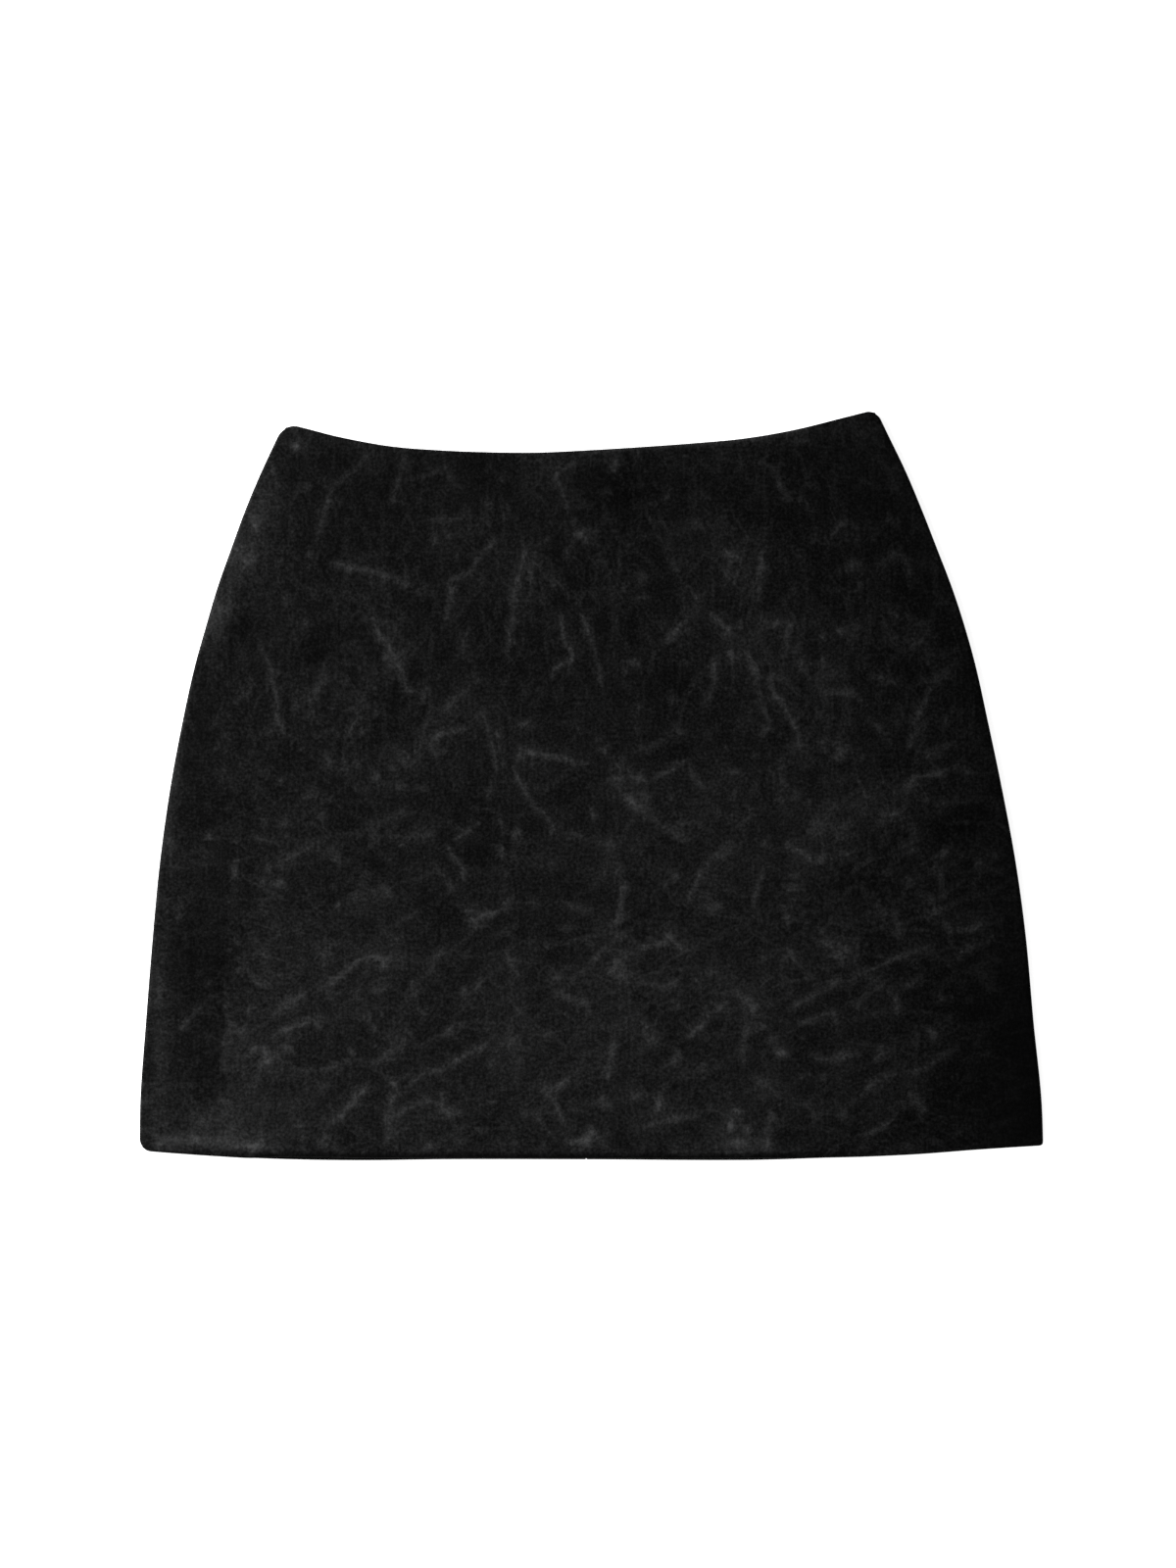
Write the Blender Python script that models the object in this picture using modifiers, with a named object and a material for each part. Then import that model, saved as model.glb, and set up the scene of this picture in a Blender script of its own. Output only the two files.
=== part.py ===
"""Leather mini skirt, laid flat with its front up.

Frame: metres, +Z up. The skirt lies on the plane z = 0, waist towards +Y, hem towards -Y,
front up (+Z). The origin is under the middle of its outline. "left" and "right" in names are
the wearer's: with the front up, the wearer's left is at +X.

The leather is one ply (1 mm); it is two plies thick where an edge is turned in and glued:
the hem, the waist edge and the seam allowances. Each panel is a grid of sections laid out
from the outline tables, moved to the height it lies at, and given its wall by Solidify.
"""

import bpy
import bmesh
import math

MM = 0.001

# ---------------------------------------------------------------- driving sizes (mm)
PLY = 1.0              # leather thickness
TURNED = 2.0           # two plies, where an edge is turned in and glued
SEAM_GAP = 0.3         # clearance between neighbouring pieces
WAIST_TURN = 12.0      # depth of the turned-in waist edge
HEM_TURN = 28.0        # depth of the turned-in hem
SEAM_TURN = 11.0       # width of a pressed-open seam allowance
SIDE_ROUND = 2.3       # radius of the leather over the side edge
SIDE_WALL = 0.4        # short upright stretch beside the side seam
SEAM_HEIGHT = 2.7      # height of the side seam above the floor
FRONT_HEIGHT = 5.1     # general height of the front's outer face above the floor
FRONT_SIDE_HEIGHT = SEAM_HEIGHT + SIDE_WALL + SIDE_ROUND   # 5.4, along the side edges
BACK_INSET = 0.4       # the back's waist edge lies this far inside the front's

CB_X = -3.0            # x of the centre back seam
CB_HALF_GAP = 0.15     # half of the clearance at the centre back seam
CB_SLOT = 1.0          # half-width of the slot that the slider's bridge passes
BRIDGE_LIFT = 2.0      # how far the back is lifted off the floor over the bridge
PULL_LIFT = 1.25       # and over the tip of the pull

ZIP_LENGTH = 176.0     # closed chain, below the slider
ZIP_TOP = 20.0         # centre of the slider below the waist edge
TAPE_WIDTH = 12.0
TAPE_THICK = 0.5
TAPE_ABOVE = 11.0      # tape end above the slider's centre
TAPE_BELOW = 9.0       # tape end below the chain
CHAIN_WIDTH = 4.0
CHAIN_THICK = 1.5

SLIDER_WIDTH = 6.6
SLIDER_LENGTH = 10.0
SLIDER_THICK = 2.4
BRIDGE_THICK = 1.2     # along X
BRIDGE_REACH = 2.8     # outer face of each leg from the pull's axis, along Y
BRIDGE_LEG = 0.8
BRIDGE_FOOT = (0.1, 0.55)  # lowest and highest z of the bridge's bar

PULL_AXIS_Z = 1.25     # height of the pull's axis
PULL_THICK = 0.7
PULL_LENGTH = 22.0     # axis to tip
PULL_HEAD = 4.8        # width beside the bridge
PULL_WIDTH = 6.6       # greatest width, near the tip
PULL_WINDOW = (2.4, 3.5)   # width, and far end from the axis
PULL_TILT = math.asin((PULL_AXIS_Z - 0.5) / PULL_LENGTH)  # its tip lies on the floor

# ---------------------------------------------------------------- outline tables (mm)
# side edges, from the hem up:  y, left edge x, right edge x
SIDES = [
    (-222.0, -267.6, 267.9),
    (-185.0, -267.1, 266.6),
    (-140.0, -263.9, 262.0),
    (-90.0, -259.9, 257.5),
    (-45.0, -255.6, 251.4),
    (0.0, -249.3, 243.0),
    (40.0, -241.8, 234.6),
    (70.0, -235.2, 228.0),
    (94.0, -228.5, 221.4),
    (117.0, -221.7, 213.9),
    (140.0, -213.6, 205.1),
    (164.0, -204.8, 195.7),
    (187.0, -195.1, 186.0),
    (210.0, -184.3, 174.9),
    (226.0, -176.9, 167.3),
]
# waist edge, before its corners are rounded:  x, y
WAIST = [
    (-190.0, 217.3), (-168.0, 211.6), (-150.0, 207.0), (-120.0, 201.5), (-90.0, 199.0),
    (-60.0, 197.8), (-30.0, 197.6), (0.0, 198.9), (30.0, 200.9), (60.0, 203.1),
    (90.0, 205.9), (120.0, 211.0), (150.0, 218.4), (180.0, 226.1),
]
# hem, before its corners are rounded:  x, y
HEM = [
    (-270.0, -215.6), (-230.0, -218.6), (-190.0, -220.8), (-140.0, -221.7), (-80.0, -221.1),
    (0.0, -221.2), (90.0, -221.6), (140.0, -220.2), (190.0, -218.1), (230.0, -215.1),
    (270.0, -212.5),
]
# how far the back's hem shows below the front's as they lie:  x, amount
HEM_SHOWS = [
    (-270.0, 0.0), (-205.0, 0.0), (-178.0, 1.7), (-120.0, 1.4), (-60.0, 0.9), (0.0, 0.8),
    (95.0, 1.2), (130.0, 0.4), (165.0, 0.0), (270.0, 0.0),
]
# corner roundings:  (side, edge) -> radius
CORNERS = {
    ("left", "waist"): 9.5, ("right", "waist"): 7.0,
    ("left", "hem"): 7.0, ("right", "hem"): 2.2,
}
# broad folds of the front as it lies:  x, y, angle of the fold's line from +X (deg),
# half-length, half-width, height (a negative height is a trough)
FOLDS = [
    (-217.0, -140.0, 88.0, 62.0, 13.0, -1.0),
    (-243.0, -110.0, 84.0, 80.0, 12.0, 0.5),
    (-150.0, 60.0, 62.0, 70.0, 26.0, -0.7),
    (-60.0, -60.0, 20.0, 80.0, 30.0, 0.6),
    (45.0, -95.0, 100.0, 75.0, 24.0, -0.6),
    (110.0, 55.0, 75.0, 80.0, 28.0, 0.6),
    (165.0, -60.0, 28.0, 85.0, 24.0, -0.6),
    (205.0, -130.0, 30.0, 60.0, 22.0, 0.5),
    (-120.0, -150.0, 35.0, 70.0, 24.0, 0.6),
    (-60.0, 110.0, 80.0, 60.0, 22.0, 0.5),
]

# ---------------------------------------------------------------- sections (mm)
# distances from a side edge where a section runs; the first ones go round the edge:
# distance, angle round the edge (deg), None once on the face; "wall" is the upright stretch
SIDE_SECTIONS = [
    (0.0, "wall"), (0.0, 0.0), (0.134 * SIDE_ROUND, 30.0), (0.5 * SIDE_ROUND, 60.0),
    (SIDE_ROUND, 90.0), (6.0, None), (SEAM_TURN, None), (SEAM_TURN + 1.4, None), (22.0, None),
]
# distances from the centre back edge
CB_SECTIONS = [0.0, 4.8, SEAM_TURN, SEAM_TURN + 1.4, 20.0, 32.0]
# the front's sections over the zip: distances from the centre back seam
OVER_ZIP = [-36.0, -23.0, -12.0, -5.0, 0.0, 5.0, 12.0, 23.0, 36.0]
# distances from the waist edge and from the hem
WAIST_SECTIONS = [0.0, 1.0, 6.0, WAIST_TURN, WAIST_TURN + 1.4, 16.5, 20.0, 23.5, 28.0,
                  35.0, 44.0, 56.0]
HEM_SECTIONS = [0.0, 1.0, 7.0, HEM_TURN, HEM_TURN + 1.4]
FRONT_BETWEEN = 6      # spaces between a side's own sections and those over the zip
BACK_BETWEEN = 6
HEIGHT_BETWEEN = 10


# ---------------------------------------------------------------- functions
def along(table, at, column=1):
    """Smooth curve through a table's rows: the column's value at `at`."""
    last = len(table) - 1
    k = 0
    while k < last - 1 and at > table[k + 1][0]:
        k += 1

    def slope(n):
        lo, hi = max(n - 1, 0), min(n + 1, last)
        return (table[hi][column] - table[lo][column]) / (table[hi][0] - table[lo][0])

    x0, x1 = table[k][0], table[k + 1][0]
    y0, y1 = table[k][column], table[k + 1][column]
    w = x1 - x0
    t = min(max((at - x0) / w, 0.0), 1.0)
    return ((2 * t ** 3 - 3 * t ** 2 + 1) * y0 + (t ** 3 - 2 * t ** 2 + t) * w * slope(k)
            + (3 * t ** 2 - 2 * t ** 3) * y1 + (t ** 3 - t ** 2) * w * slope(k + 1))


def ease(t):
    """0 to 1 with level ends."""
    t = min(max(t, 0.0), 1.0)
    return t * t * (3.0 - 2.0 * t)


def waist_y(x):
    return along(WAIST, x)


def hem_y(x):
    return along(HEM, x)


def front_hem_y(x):
    return hem_y(x) + max(along(HEM_SHOWS, x), 0.0)


SLIDER_Y = waist_y(CB_X) - ZIP_TOP     # centre of the slider, and the pull's axis


def back_rise(x, y):
    """How far the back's outer face is lifted off the floor by the pull and the bridge."""
    past = abs(x - CB_X)
    sideways = 1.0 - ease((past - 4.8) / 27.0)
    d = y - SLIDER_Y
    past_tip = -d - PULL_LENGTH - 1.0
    if d >= 0.0:
        profile = BRIDGE_LIFT * (1.0 - ease((d - 4.0) / 26.0))
    elif past_tip < 0.0:
        profile = PULL_LIFT + (BRIDGE_LIFT - PULL_LIFT) * (1.0 - ease((-d - 4.0) / 16.0))
    else:
        profile = PULL_LIFT * (1.0 - ease(past_tip / 26.0))
    return profile * sideways


def fold_height(x, y):
    """Sum of the broad folds at a point."""
    total = 0.0
    for fx, fy, turn, length, width, height in FOLDS:
        c, s = math.cos(math.radians(turn)), math.sin(math.radians(turn))
        u = (x - fx) * c + (y - fy) * s
        v = -(x - fx) * s + (y - fy) * c
        total += height * math.exp(-(u / length) ** 2 - (v / width) ** 2)
    return total


def zip_lift(x, y):
    """Height that the zip under it adds to the front."""
    past = abs(x - CB_X)
    bottom = SLIDER_Y - ZIP_LENGTH
    chain = 0.45 * (1.0 - ease((past - 4.0) / 50.0)) * ease((y - bottom + 40.0) / 40.0)
    far = math.hypot(x - CB_X, (y - SLIDER_Y) * 0.9)
    broad = 0.45 * (1.0 - ease(far / 110.0))
    slider = 2.2 * (1.0 - ease((far - 7.0) / 34.0))
    return chain + broad + slider


def ply_at(across, from_waist, from_hem):
    """Wall thickness at a point, from its distances to the edges."""
    turned = (across <= SEAM_TURN + 0.01 or from_waist <= WAIST_TURN + 0.01
              or from_hem <= HEM_TURN + 0.01)
    return TURNED if turned else PLY


def front_height(x, y, across, from_waist, from_hem):
    """Height of the front's outer face."""
    edge = min(from_hem / 30.0, from_waist / 24.0, across / 26.0, 1.0)
    h = FRONT_HEIGHT + fold_height(x, y) * ease(edge)
    h += (FRONT_SIDE_HEIGHT - FRONT_HEIGHT) * (1.0 - ease(across / 24.0))
    h = max(h, FRONT_HEIGHT - 1.2) + zip_lift(x, y)
    ply = ply_at(across, from_waist, from_hem)
    # never into the back and the zip below it
    back = back_rise(x, y) + ply_at(min(across, abs(x - CB_X)), from_waist, from_hem)
    return max(h, back + 2 * SEAM_GAP + ply)


def rounded(across, down, radius):
    """Distances from the two edges of a corner, moved in so that the corner is round."""
    if across >= radius or down >= radius:
        return across, down
    p, q = 1.0 - across / radius, 1.0 - down / radius
    return (radius * (1.0 - p * math.sqrt(1.0 - q * q / 2.0)),
            radius * (1.0 - q * math.sqrt(1.0 - p * p / 2.0)))


def place(column, row, hem=hem_y):
    """Plan position of a section crossing, with the hem curve it is measured from.

    column is (side, distance) or ("between", fraction, first side, first distance, second
    side, second distance); row is ("waist" | "hem", distance) or ("between", fraction).
    """
    side, across = column[0], column[1]
    edge, down = row
    if (side, edge) in CORNERS:
        across, down = rounded(across, down, CORNERS[side, edge])

    def edge_x(which, distance, y):
        if which == "left":
            return along(SIDES, y, 1) + distance
        if which == "right":
            return along(SIDES, y, 2) - distance
        if which == "middle":
            return CB_X + distance
        half = CB_HALF_GAP + (CB_SLOT - CB_HALF_GAP) * (
            1.0 - ease((abs(y - SLIDER_Y) - 3.4) / 8.0))
        return CB_X - half - distance if which == "cb_low" else CB_X + half + distance

    y = 0.0
    x = 0.0
    for _ in range(14):
        if side == "between":
            _, f, a_side, a, b_side, b = column
            x0, x1 = edge_x(a_side, a, y), edge_x(b_side, b, y)
            x = x0 + (x1 - x0) * f
        else:
            x = edge_x(side, across, y)
        top, bottom = waist_y(x), hem(x)
        if edge == "waist":
            y = top - down
        elif edge == "hem":
            y = bottom + down
        else:
            lo, hi = bottom + HEM_SECTIONS[-1], top - WAIST_SECTIONS[-1]
            y = lo + (hi - lo) * down
    return x, y


def rows():
    out = [("hem", d) for d in HEM_SECTIONS]
    out += [("between", k / HEIGHT_BETWEEN) for k in range(1, HEIGHT_BETWEEN)]
    out += [("waist", d) for d in reversed(WAIST_SECTIONS)]
    return out


def from_edges(row, x, y):
    """Distances to the waist edge and to the hem."""
    if row[0] == "waist":
        return row[1], y - hem_y(x)
    if row[0] == "hem":
        return waist_y(x) - y, row[1]
    return waist_y(x) - y, y - hem_y(x)


def new_object(name, mesh, material, collection):
    obj = bpy.data.objects.new(name, mesh)
    obj.data.materials.append(material)
    collection.objects.link(obj)
    return obj


def make_material(name, colour, roughness, metallic=0.0):
    material = bpy.data.materials.new(name)
    material.use_nodes = True
    shader = material.node_tree.nodes["Principled BSDF"]
    shader.inputs["Base Color"].default_value = (*colour, 1.0)
    shader.inputs["Roughness"].default_value = roughness
    shader.inputs["Metallic"].default_value = metallic
    return material


def shell(name, columns, rows_, point, wall, material, collection, face_up):
    """A grid of columns x rows moved to point(column, row), given its wall by Solidify.

    point gives x, y, z and the wall thickness there, in mm; wall is the greatest one.
    """
    across, up = len(columns), len(rows_)
    bm = bmesh.new()
    bmesh.ops.create_grid(bm, x_segments=across - 1, y_segments=up - 1, size=1.0)
    group = bm.verts.layers.deform.verify()
    for v in bm.verts:
        i = round((v.co.x + 1.0) / 2.0 * (across - 1))
        j = round((v.co.y + 1.0) / 2.0 * (up - 1))
        x, y, z, ply = point(columns[i], rows_[j])
        v.co = (x * MM, y * MM, z * MM)
        v[group][0] = ply / wall
    if not face_up:
        bmesh.ops.reverse_faces(bm, faces=bm.faces)
    mesh = bpy.data.meshes.new(name)
    bm.to_mesh(mesh)
    bm.free()
    mesh.shade_smooth()
    obj = new_object(name, mesh, material, collection)
    obj.vertex_groups.new(name="ply")
    solid = obj.modifiers.new("wall", 'SOLIDIFY')
    solid.thickness = wall * MM
    solid.offset = -1.0
    solid.use_rim = True
    solid.vertex_group = "ply"
    solid.thickness_vertex_group = 0.0
    return obj


# ---------------------------------------------------------------- panels
def side_columns(side, reverse=False):
    out = [(side, d, turn) for d, turn in SIDE_SECTIONS]
    return list(reversed(out)) if reverse else out


def between_columns(count, a_side, a, b_side, b):
    return [("between", k / count, a_side, a, b_side, b, None) for k in range(1, count)]


def across_of(column, x, y):
    """Distance to the nearer side edge."""
    return min(x - along(SIDES, y, 1), along(SIDES, y, 2) - x)


def round_edge(column, z_face, upper):
    """Height on the way round the side edge, from the seam to the face."""
    turn = column[-1]
    if turn is None:
        return z_face
    way = 1.0 if upper else -1.0
    if turn == "wall":
        return SEAM_HEIGHT + way * SEAM_GAP / 2.0
    start = SEAM_HEIGHT + way * SIDE_WALL
    return start + (z_face - start) * math.sin(math.radians(turn))


def edge_drop(row, depth=0.45):
    """The outer face turns over the fold at the hem and waist edges."""
    return depth if row[1] == 0.0 and row[0] in ("hem", "waist") else 0.0


def front_point(column, row):
    x, y = place(column[:-1], row, front_hem_y)
    from_waist, from_hem = from_edges(row, x, y)
    across = across_of(column, x, y)
    if column[0] in ("left", "right"):
        across = column[1]
    ply = ply_at(across, from_waist, from_hem)
    z = front_height(x, y, max(across, 0.0), from_waist, from_hem)
    if column[-1] is None:
        z -= edge_drop(row)
    return x, y, round_edge(column, z, True), ply


def back_point(column, row):
    x, y = place(column[:-1], row)
    from_waist, from_hem = from_edges(row, x, y)
    across = across_of(column, x, y)
    if column[0] in ("left", "right"):
        across = column[1]
    if row[0] == "waist":
        y -= BACK_INSET * (1.0 - ease(row[1] / 40.0))
    to_cb = column[1] if column[0] in ("cb_low", "cb_high") else abs(x - CB_X)
    ply = ply_at(min(across, to_cb), from_waist, from_hem)
    z = back_rise(x, y)
    if column[-1] is None:
        z += edge_drop(row)
    return x, y, round_edge(column, z, False), ply


def front_panel(material, collection):
    inner = SIDE_SECTIONS[-1][0]
    columns = (side_columns("left")
               + between_columns(FRONT_BETWEEN, "left", inner, "middle", OVER_ZIP[0])
               + [("middle", d, None) for d in OVER_ZIP]
               + between_columns(FRONT_BETWEEN, "middle", OVER_ZIP[-1], "right", inner)
               + side_columns("right", True))
    return shell("front_panel", columns, rows(), front_point, TURNED, material, collection,
                 True)


def back_panel(name, side, material, collection):
    inner = SIDE_SECTIONS[-1][0]
    cb = "cb_low" if side == "left" else "cb_high"
    columns = side_columns(side)
    columns += between_columns(BACK_BETWEEN, side, inner, cb, CB_SECTIONS[-1])
    columns += [(cb, d, None) for d in reversed(CB_SECTIONS)]
    if side == "right":
        columns.reverse()
    return shell(name, columns, rows(), back_point, TURNED, material, collection, False)


# ---------------------------------------------------------------- zip
def zip_rows(top, bottom, finest=6.0, coarsest=26.0):
    """y of the sections along the zip, closer together near the slider."""
    out = [top]
    while out[-1] > bottom + 1.0:
        step = finest + (coarsest - finest) * ease((top - out[-1]) / 90.0)
        y = out[-1] - step
        out.append(y if y > bottom + step / 2 else bottom)
    return list(reversed(out))


def inside_of_back(x, y):
    """Height of the back's inner face beside the centre back seam."""
    return back_rise(x, y) + TURNED


def tape(name, way, material, collection):
    near, far = CHAIN_WIDTH / 2 + SEAM_GAP, CHAIN_WIDTH / 2 + SEAM_GAP + TAPE_WIDTH
    widths = [CB_X + way * d for d in (near, (near + far) / 2, SEAM_TURN - 1.2, far)]
    widths.sort()
    top = SLIDER_Y + TAPE_ABOVE
    bottom = SLIDER_Y - ZIP_LENGTH - TAPE_BELOW

    def point(x, y):
        over_slider = SLIDER_LENGTH / 2 + SEAM_GAP
        shift = 0.0
        if abs(y - SLIDER_Y) < over_slider + 3.0 and abs(x - CB_X) < SLIDER_WIDTH / 2 + 0.4:
            shift = way * (SLIDER_WIDTH / 2 + 0.4 - abs(x - CB_X))
        under = inside_of_back(x + shift, y)
        return x + shift, y, under + SEAM_GAP + TAPE_THICK, TAPE_THICK

    return shell(name, widths, zip_rows(top, bottom), point, TAPE_THICK, material,
                 collection, True)


def chain(material, collection):
    half = CHAIN_WIDTH / 2
    top = SLIDER_Y - SLIDER_LENGTH / 2 - SEAM_GAP
    bottom = SLIDER_Y - ZIP_LENGTH
    profile = {-half: 0.45, -half * 0.6: 0.0, half * 0.6: 0.0, half: 0.45}
    widths = sorted(profile)

    def point(dx, y):
        under = inside_of_back(CB_X + dx, y) + SEAM_GAP
        return CB_X + dx, y, under + CHAIN_THICK - profile[dx], CHAIN_THICK - profile[dx]

    obj = shell("zip_chain", widths, zip_rows(top, bottom), point, CHAIN_THICK, material,
                collection, True)
    return obj


def box(name, lo, hi, material, collection):
    """A box from its lowest and highest corners, in mm."""
    bm = bmesh.new()
    bmesh.ops.create_cube(bm, size=1.0)
    for v in bm.verts:
        v.co = [(lo[k] + (hi[k] - lo[k]) * (v.co[k] + 0.5)) * MM for k in range(3)]
    mesh = bpy.data.meshes.new(name)
    bm.to_mesh(mesh)
    bm.free()
    return new_object(name, mesh, material, collection)


def bevel(obj, width, segments):
    m = obj.modifiers.new("edges", 'BEVEL')
    m.width = width * MM
    m.segments = segments
    m.limit_method = 'ANGLE'
    m.angle_limit = math.radians(40)
    return m


def slider(material, collection, cutters):
    low = back_rise(CB_X, SLIDER_Y) + TURNED + SEAM_GAP
    body = box("zip_slider",
               (CB_X - SLIDER_WIDTH / 2, SLIDER_Y - SLIDER_LENGTH / 2, low),
               (CB_X + SLIDER_WIDTH / 2, SLIDER_Y + SLIDER_LENGTH / 2, low + SLIDER_THICK),
               material, collection)
    bevel(body, 0.8, 2)
    # the bridge: two legs through the slot and a bar below the leather
    frame = box("slider_bridge",
                (CB_X - BRIDGE_THICK / 2, SLIDER_Y - BRIDGE_REACH, BRIDGE_FOOT[0]),
                (CB_X + BRIDGE_THICK / 2, SLIDER_Y + BRIDGE_REACH, low + 1.0),
                material, cutters)
    inner = BRIDGE_REACH - BRIDGE_LEG
    window = box("slider_bridge_window",
                 (CB_X - BRIDGE_THICK, SLIDER_Y - inner, BRIDGE_FOOT[1]),
                 (CB_X + BRIDGE_THICK, SLIDER_Y + inner, low - 0.4),
                 material, cutters)
    for guide in (frame, window):
        guide.hide_render = True
        guide.display_type = 'WIRE'
    cut = frame.modifiers.new("window", 'BOOLEAN')
    cut.operation = 'DIFFERENCE'
    cut.object = window
    join = body.modifiers.new("bridge", 'BOOLEAN')
    join.operation = 'UNION'
    join.object = frame
    return body


def pull(material, collection):
    """Flat drop-shaped tab with a window round the bridge, hinged on an axis along X."""
    def spline(curve, points, smooth):
        s = curve.splines.new('POLY')
        s.points.add(len(points) - 1)
        for p, (x, y) in zip(s.points, points):
            p.co = (x * MM, y * MM, 0.0, 1.0)
        s.use_cyclic_u = True

    half_head, half_wide = PULL_HEAD / 2, PULL_WIDTH / 2
    bar = PULL_THICK / 2
    centre = -(PULL_LENGTH - half_wide)
    outline = [(half_head - 0.4, bar), (half_head, bar - 0.4), (half_head, -PULL_WINDOW[1])]
    outline.append((half_head * 0.86, -PULL_WINDOW[1] - 3.0))
    steps = 10
    for k in range(steps + 1):
        a = math.radians(20.0 - 220.0 * k / steps)
        outline.append((half_wide * math.cos(a), centre + half_wide * math.sin(a)))
    outline.append((-half_head * 0.86, -PULL_WINDOW[1] - 3.0))
    outline += [(-half_head, -PULL_WINDOW[1]), (-half_head, bar - 0.4),
                (-half_head + 0.4, bar)]
    w = PULL_WINDOW[0] / 2
    window = [(-w, -bar), (w, -bar), (w, -PULL_WINDOW[1]), (-w, -PULL_WINDOW[1])]

    curve = bpy.data.curves.new("zip_pull", 'CURVE')
    curve.dimensions = '2D'
    curve.fill_mode = 'BOTH'
    curve.extrude = PULL_THICK / 2 * MM
    spline(curve, outline, False)
    spline(curve, window, False)
    obj = new_object("zip_pull", curve, material, collection)
    obj.location = (CB_X * MM, SLIDER_Y * MM, PULL_AXIS_Z * MM)
    obj.rotation_euler = (PULL_TILT, 0.0, 0.0)
    return obj


# ---------------------------------------------------------------- build
def main():
    for obj in list(bpy.data.objects):
        bpy.data.objects.remove(obj, do_unlink=True)
    scene = bpy.context.scene
    scene.unit_settings.system = 'METRIC'
    part = bpy.data.collections.new("leather_mini_skirt")
    cutters = bpy.data.collections.new("cutters")
    scene.collection.children.link(part)
    scene.collection.children.link(cutters)

    leather_front = make_material("leather_front", (0.012, 0.012, 0.0125), 0.62)
    leather_back_left = make_material("leather_back_left", (0.012, 0.012, 0.0125), 0.62)
    leather_back_right = make_material("leather_back_right", (0.012, 0.012, 0.0125), 0.62)
    tape_left = make_material("tape_left", (0.014, 0.014, 0.015), 0.85)
    tape_right = make_material("tape_right", (0.014, 0.014, 0.015), 0.85)
    coil = make_material("coil", (0.02, 0.02, 0.021), 0.45)
    slider_paint = make_material("slider_paint", (0.02, 0.02, 0.021), 0.35)
    pull_paint = make_material("pull_paint", (0.02, 0.02, 0.021), 0.35)

    front_panel(leather_front, part)
    back_panel("back_panel_right", "left", leather_back_right, part)
    back_panel("back_panel_left", "right", leather_back_left, part)
    tape("zip_tape_right", -1.0, tape_right, part)
    tape("zip_tape_left", 1.0, tape_left, part)
    chain(coil, part)
    slider(slider_paint, part, cutters)
    pull(pull_paint, part)


main()
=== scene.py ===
"""Leather mini skirt, laid flat with its front up: the looks.

Everything is built in the CAD's own frame, in millimetres, and turned into metres as each
mesh is made. The three leather panels are closed skins on the outline and the heights of
their CAD solids, with the turned edges, the seam allowances and the creases modelled. The
creases are listed in the tables below: they raise the leather, and they carry their
own distance with them, so that the pale wax that a fold breaks follows them exactly.
"""
import math

import bmesh
import bpy
import numpy as np
from mathutils import Matrix, Vector, noise


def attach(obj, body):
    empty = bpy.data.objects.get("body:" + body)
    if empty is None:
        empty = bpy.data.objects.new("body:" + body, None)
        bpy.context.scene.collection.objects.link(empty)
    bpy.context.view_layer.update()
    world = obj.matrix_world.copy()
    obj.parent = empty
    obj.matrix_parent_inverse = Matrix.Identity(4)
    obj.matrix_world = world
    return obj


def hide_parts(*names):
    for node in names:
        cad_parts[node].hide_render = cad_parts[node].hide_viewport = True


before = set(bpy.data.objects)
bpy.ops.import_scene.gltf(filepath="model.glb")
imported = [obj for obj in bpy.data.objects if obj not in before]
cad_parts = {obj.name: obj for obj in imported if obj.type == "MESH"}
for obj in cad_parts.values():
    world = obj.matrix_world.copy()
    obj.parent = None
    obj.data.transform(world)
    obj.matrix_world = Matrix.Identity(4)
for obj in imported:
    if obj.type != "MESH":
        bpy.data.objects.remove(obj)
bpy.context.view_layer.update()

MM = 0.001

# ---------------------------------------------------------------- sizes (mm), as the CAD has them
PLY, TURNED, SEAM_GAP = 1.0, 2.0, 0.3
WAIST_TURN, HEM_TURN, SEAM_TURN = 12.0, 28.0, 11.0
SIDE_ROUND, SIDE_WALL, SEAM_HEIGHT = 2.3, 0.4, 2.7
FRONT_HEIGHT, FRONT_SIDE_HEIGHT, BACK_INSET = 5.1, 5.4, 0.4
CB_X, CB_HALF_GAP, CB_SLOT, CB_TOUCH = -3.0, 0.15, 1.0, 0.02
BRIDGE_LIFT, PULL_LIFT = 2.0, 1.25
ZIP_LENGTH, ZIP_TOP = 176.0, 20.0
CHAIN_WIDTH, CHAIN_THICK = 4.0, 1.5
SLIDER_WIDTH, SLIDER_LENGTH, SLIDER_THICK = 6.6, 10.0, 2.4
BRIDGE_THICK, BRIDGE_REACH, BRIDGE_LEG, BRIDGE_FOOT = 1.2, 2.8, 0.8, (0.1, 0.55)
PULL_AXIS_Z, PULL_THICK, PULL_LENGTH = 1.25, 0.7, 22.0
PULL_HEAD, PULL_WIDTH, PULL_WINDOW = 4.8, 6.6, (2.4, 3.5)
PULL_TILT = math.asin((PULL_AXIS_Z - 0.5) / PULL_LENGTH)

SIDES = [
    (-222.0, -267.6, 267.9), (-185.0, -267.1, 266.6), (-140.0, -263.9, 262.0),
    (-90.0, -259.9, 257.5), (-45.0, -255.6, 251.4), (0.0, -249.3, 243.0),
    (40.0, -241.8, 234.6), (70.0, -235.2, 228.0), (94.0, -228.5, 221.4),
    (117.0, -221.7, 213.9), (140.0, -213.6, 205.1), (164.0, -204.8, 195.7),
    (187.0, -195.1, 186.0), (210.0, -184.3, 174.9), (226.0, -176.9, 167.3),
]
WAIST = [
    (-190.0, 217.3), (-168.0, 211.6), (-150.0, 207.0), (-120.0, 201.5), (-90.0, 199.0),
    (-60.0, 197.8), (-30.0, 197.6), (0.0, 198.9), (30.0, 200.9), (60.0, 203.1),
    (90.0, 205.9), (120.0, 211.0), (150.0, 218.4), (180.0, 226.1),
]
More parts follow.
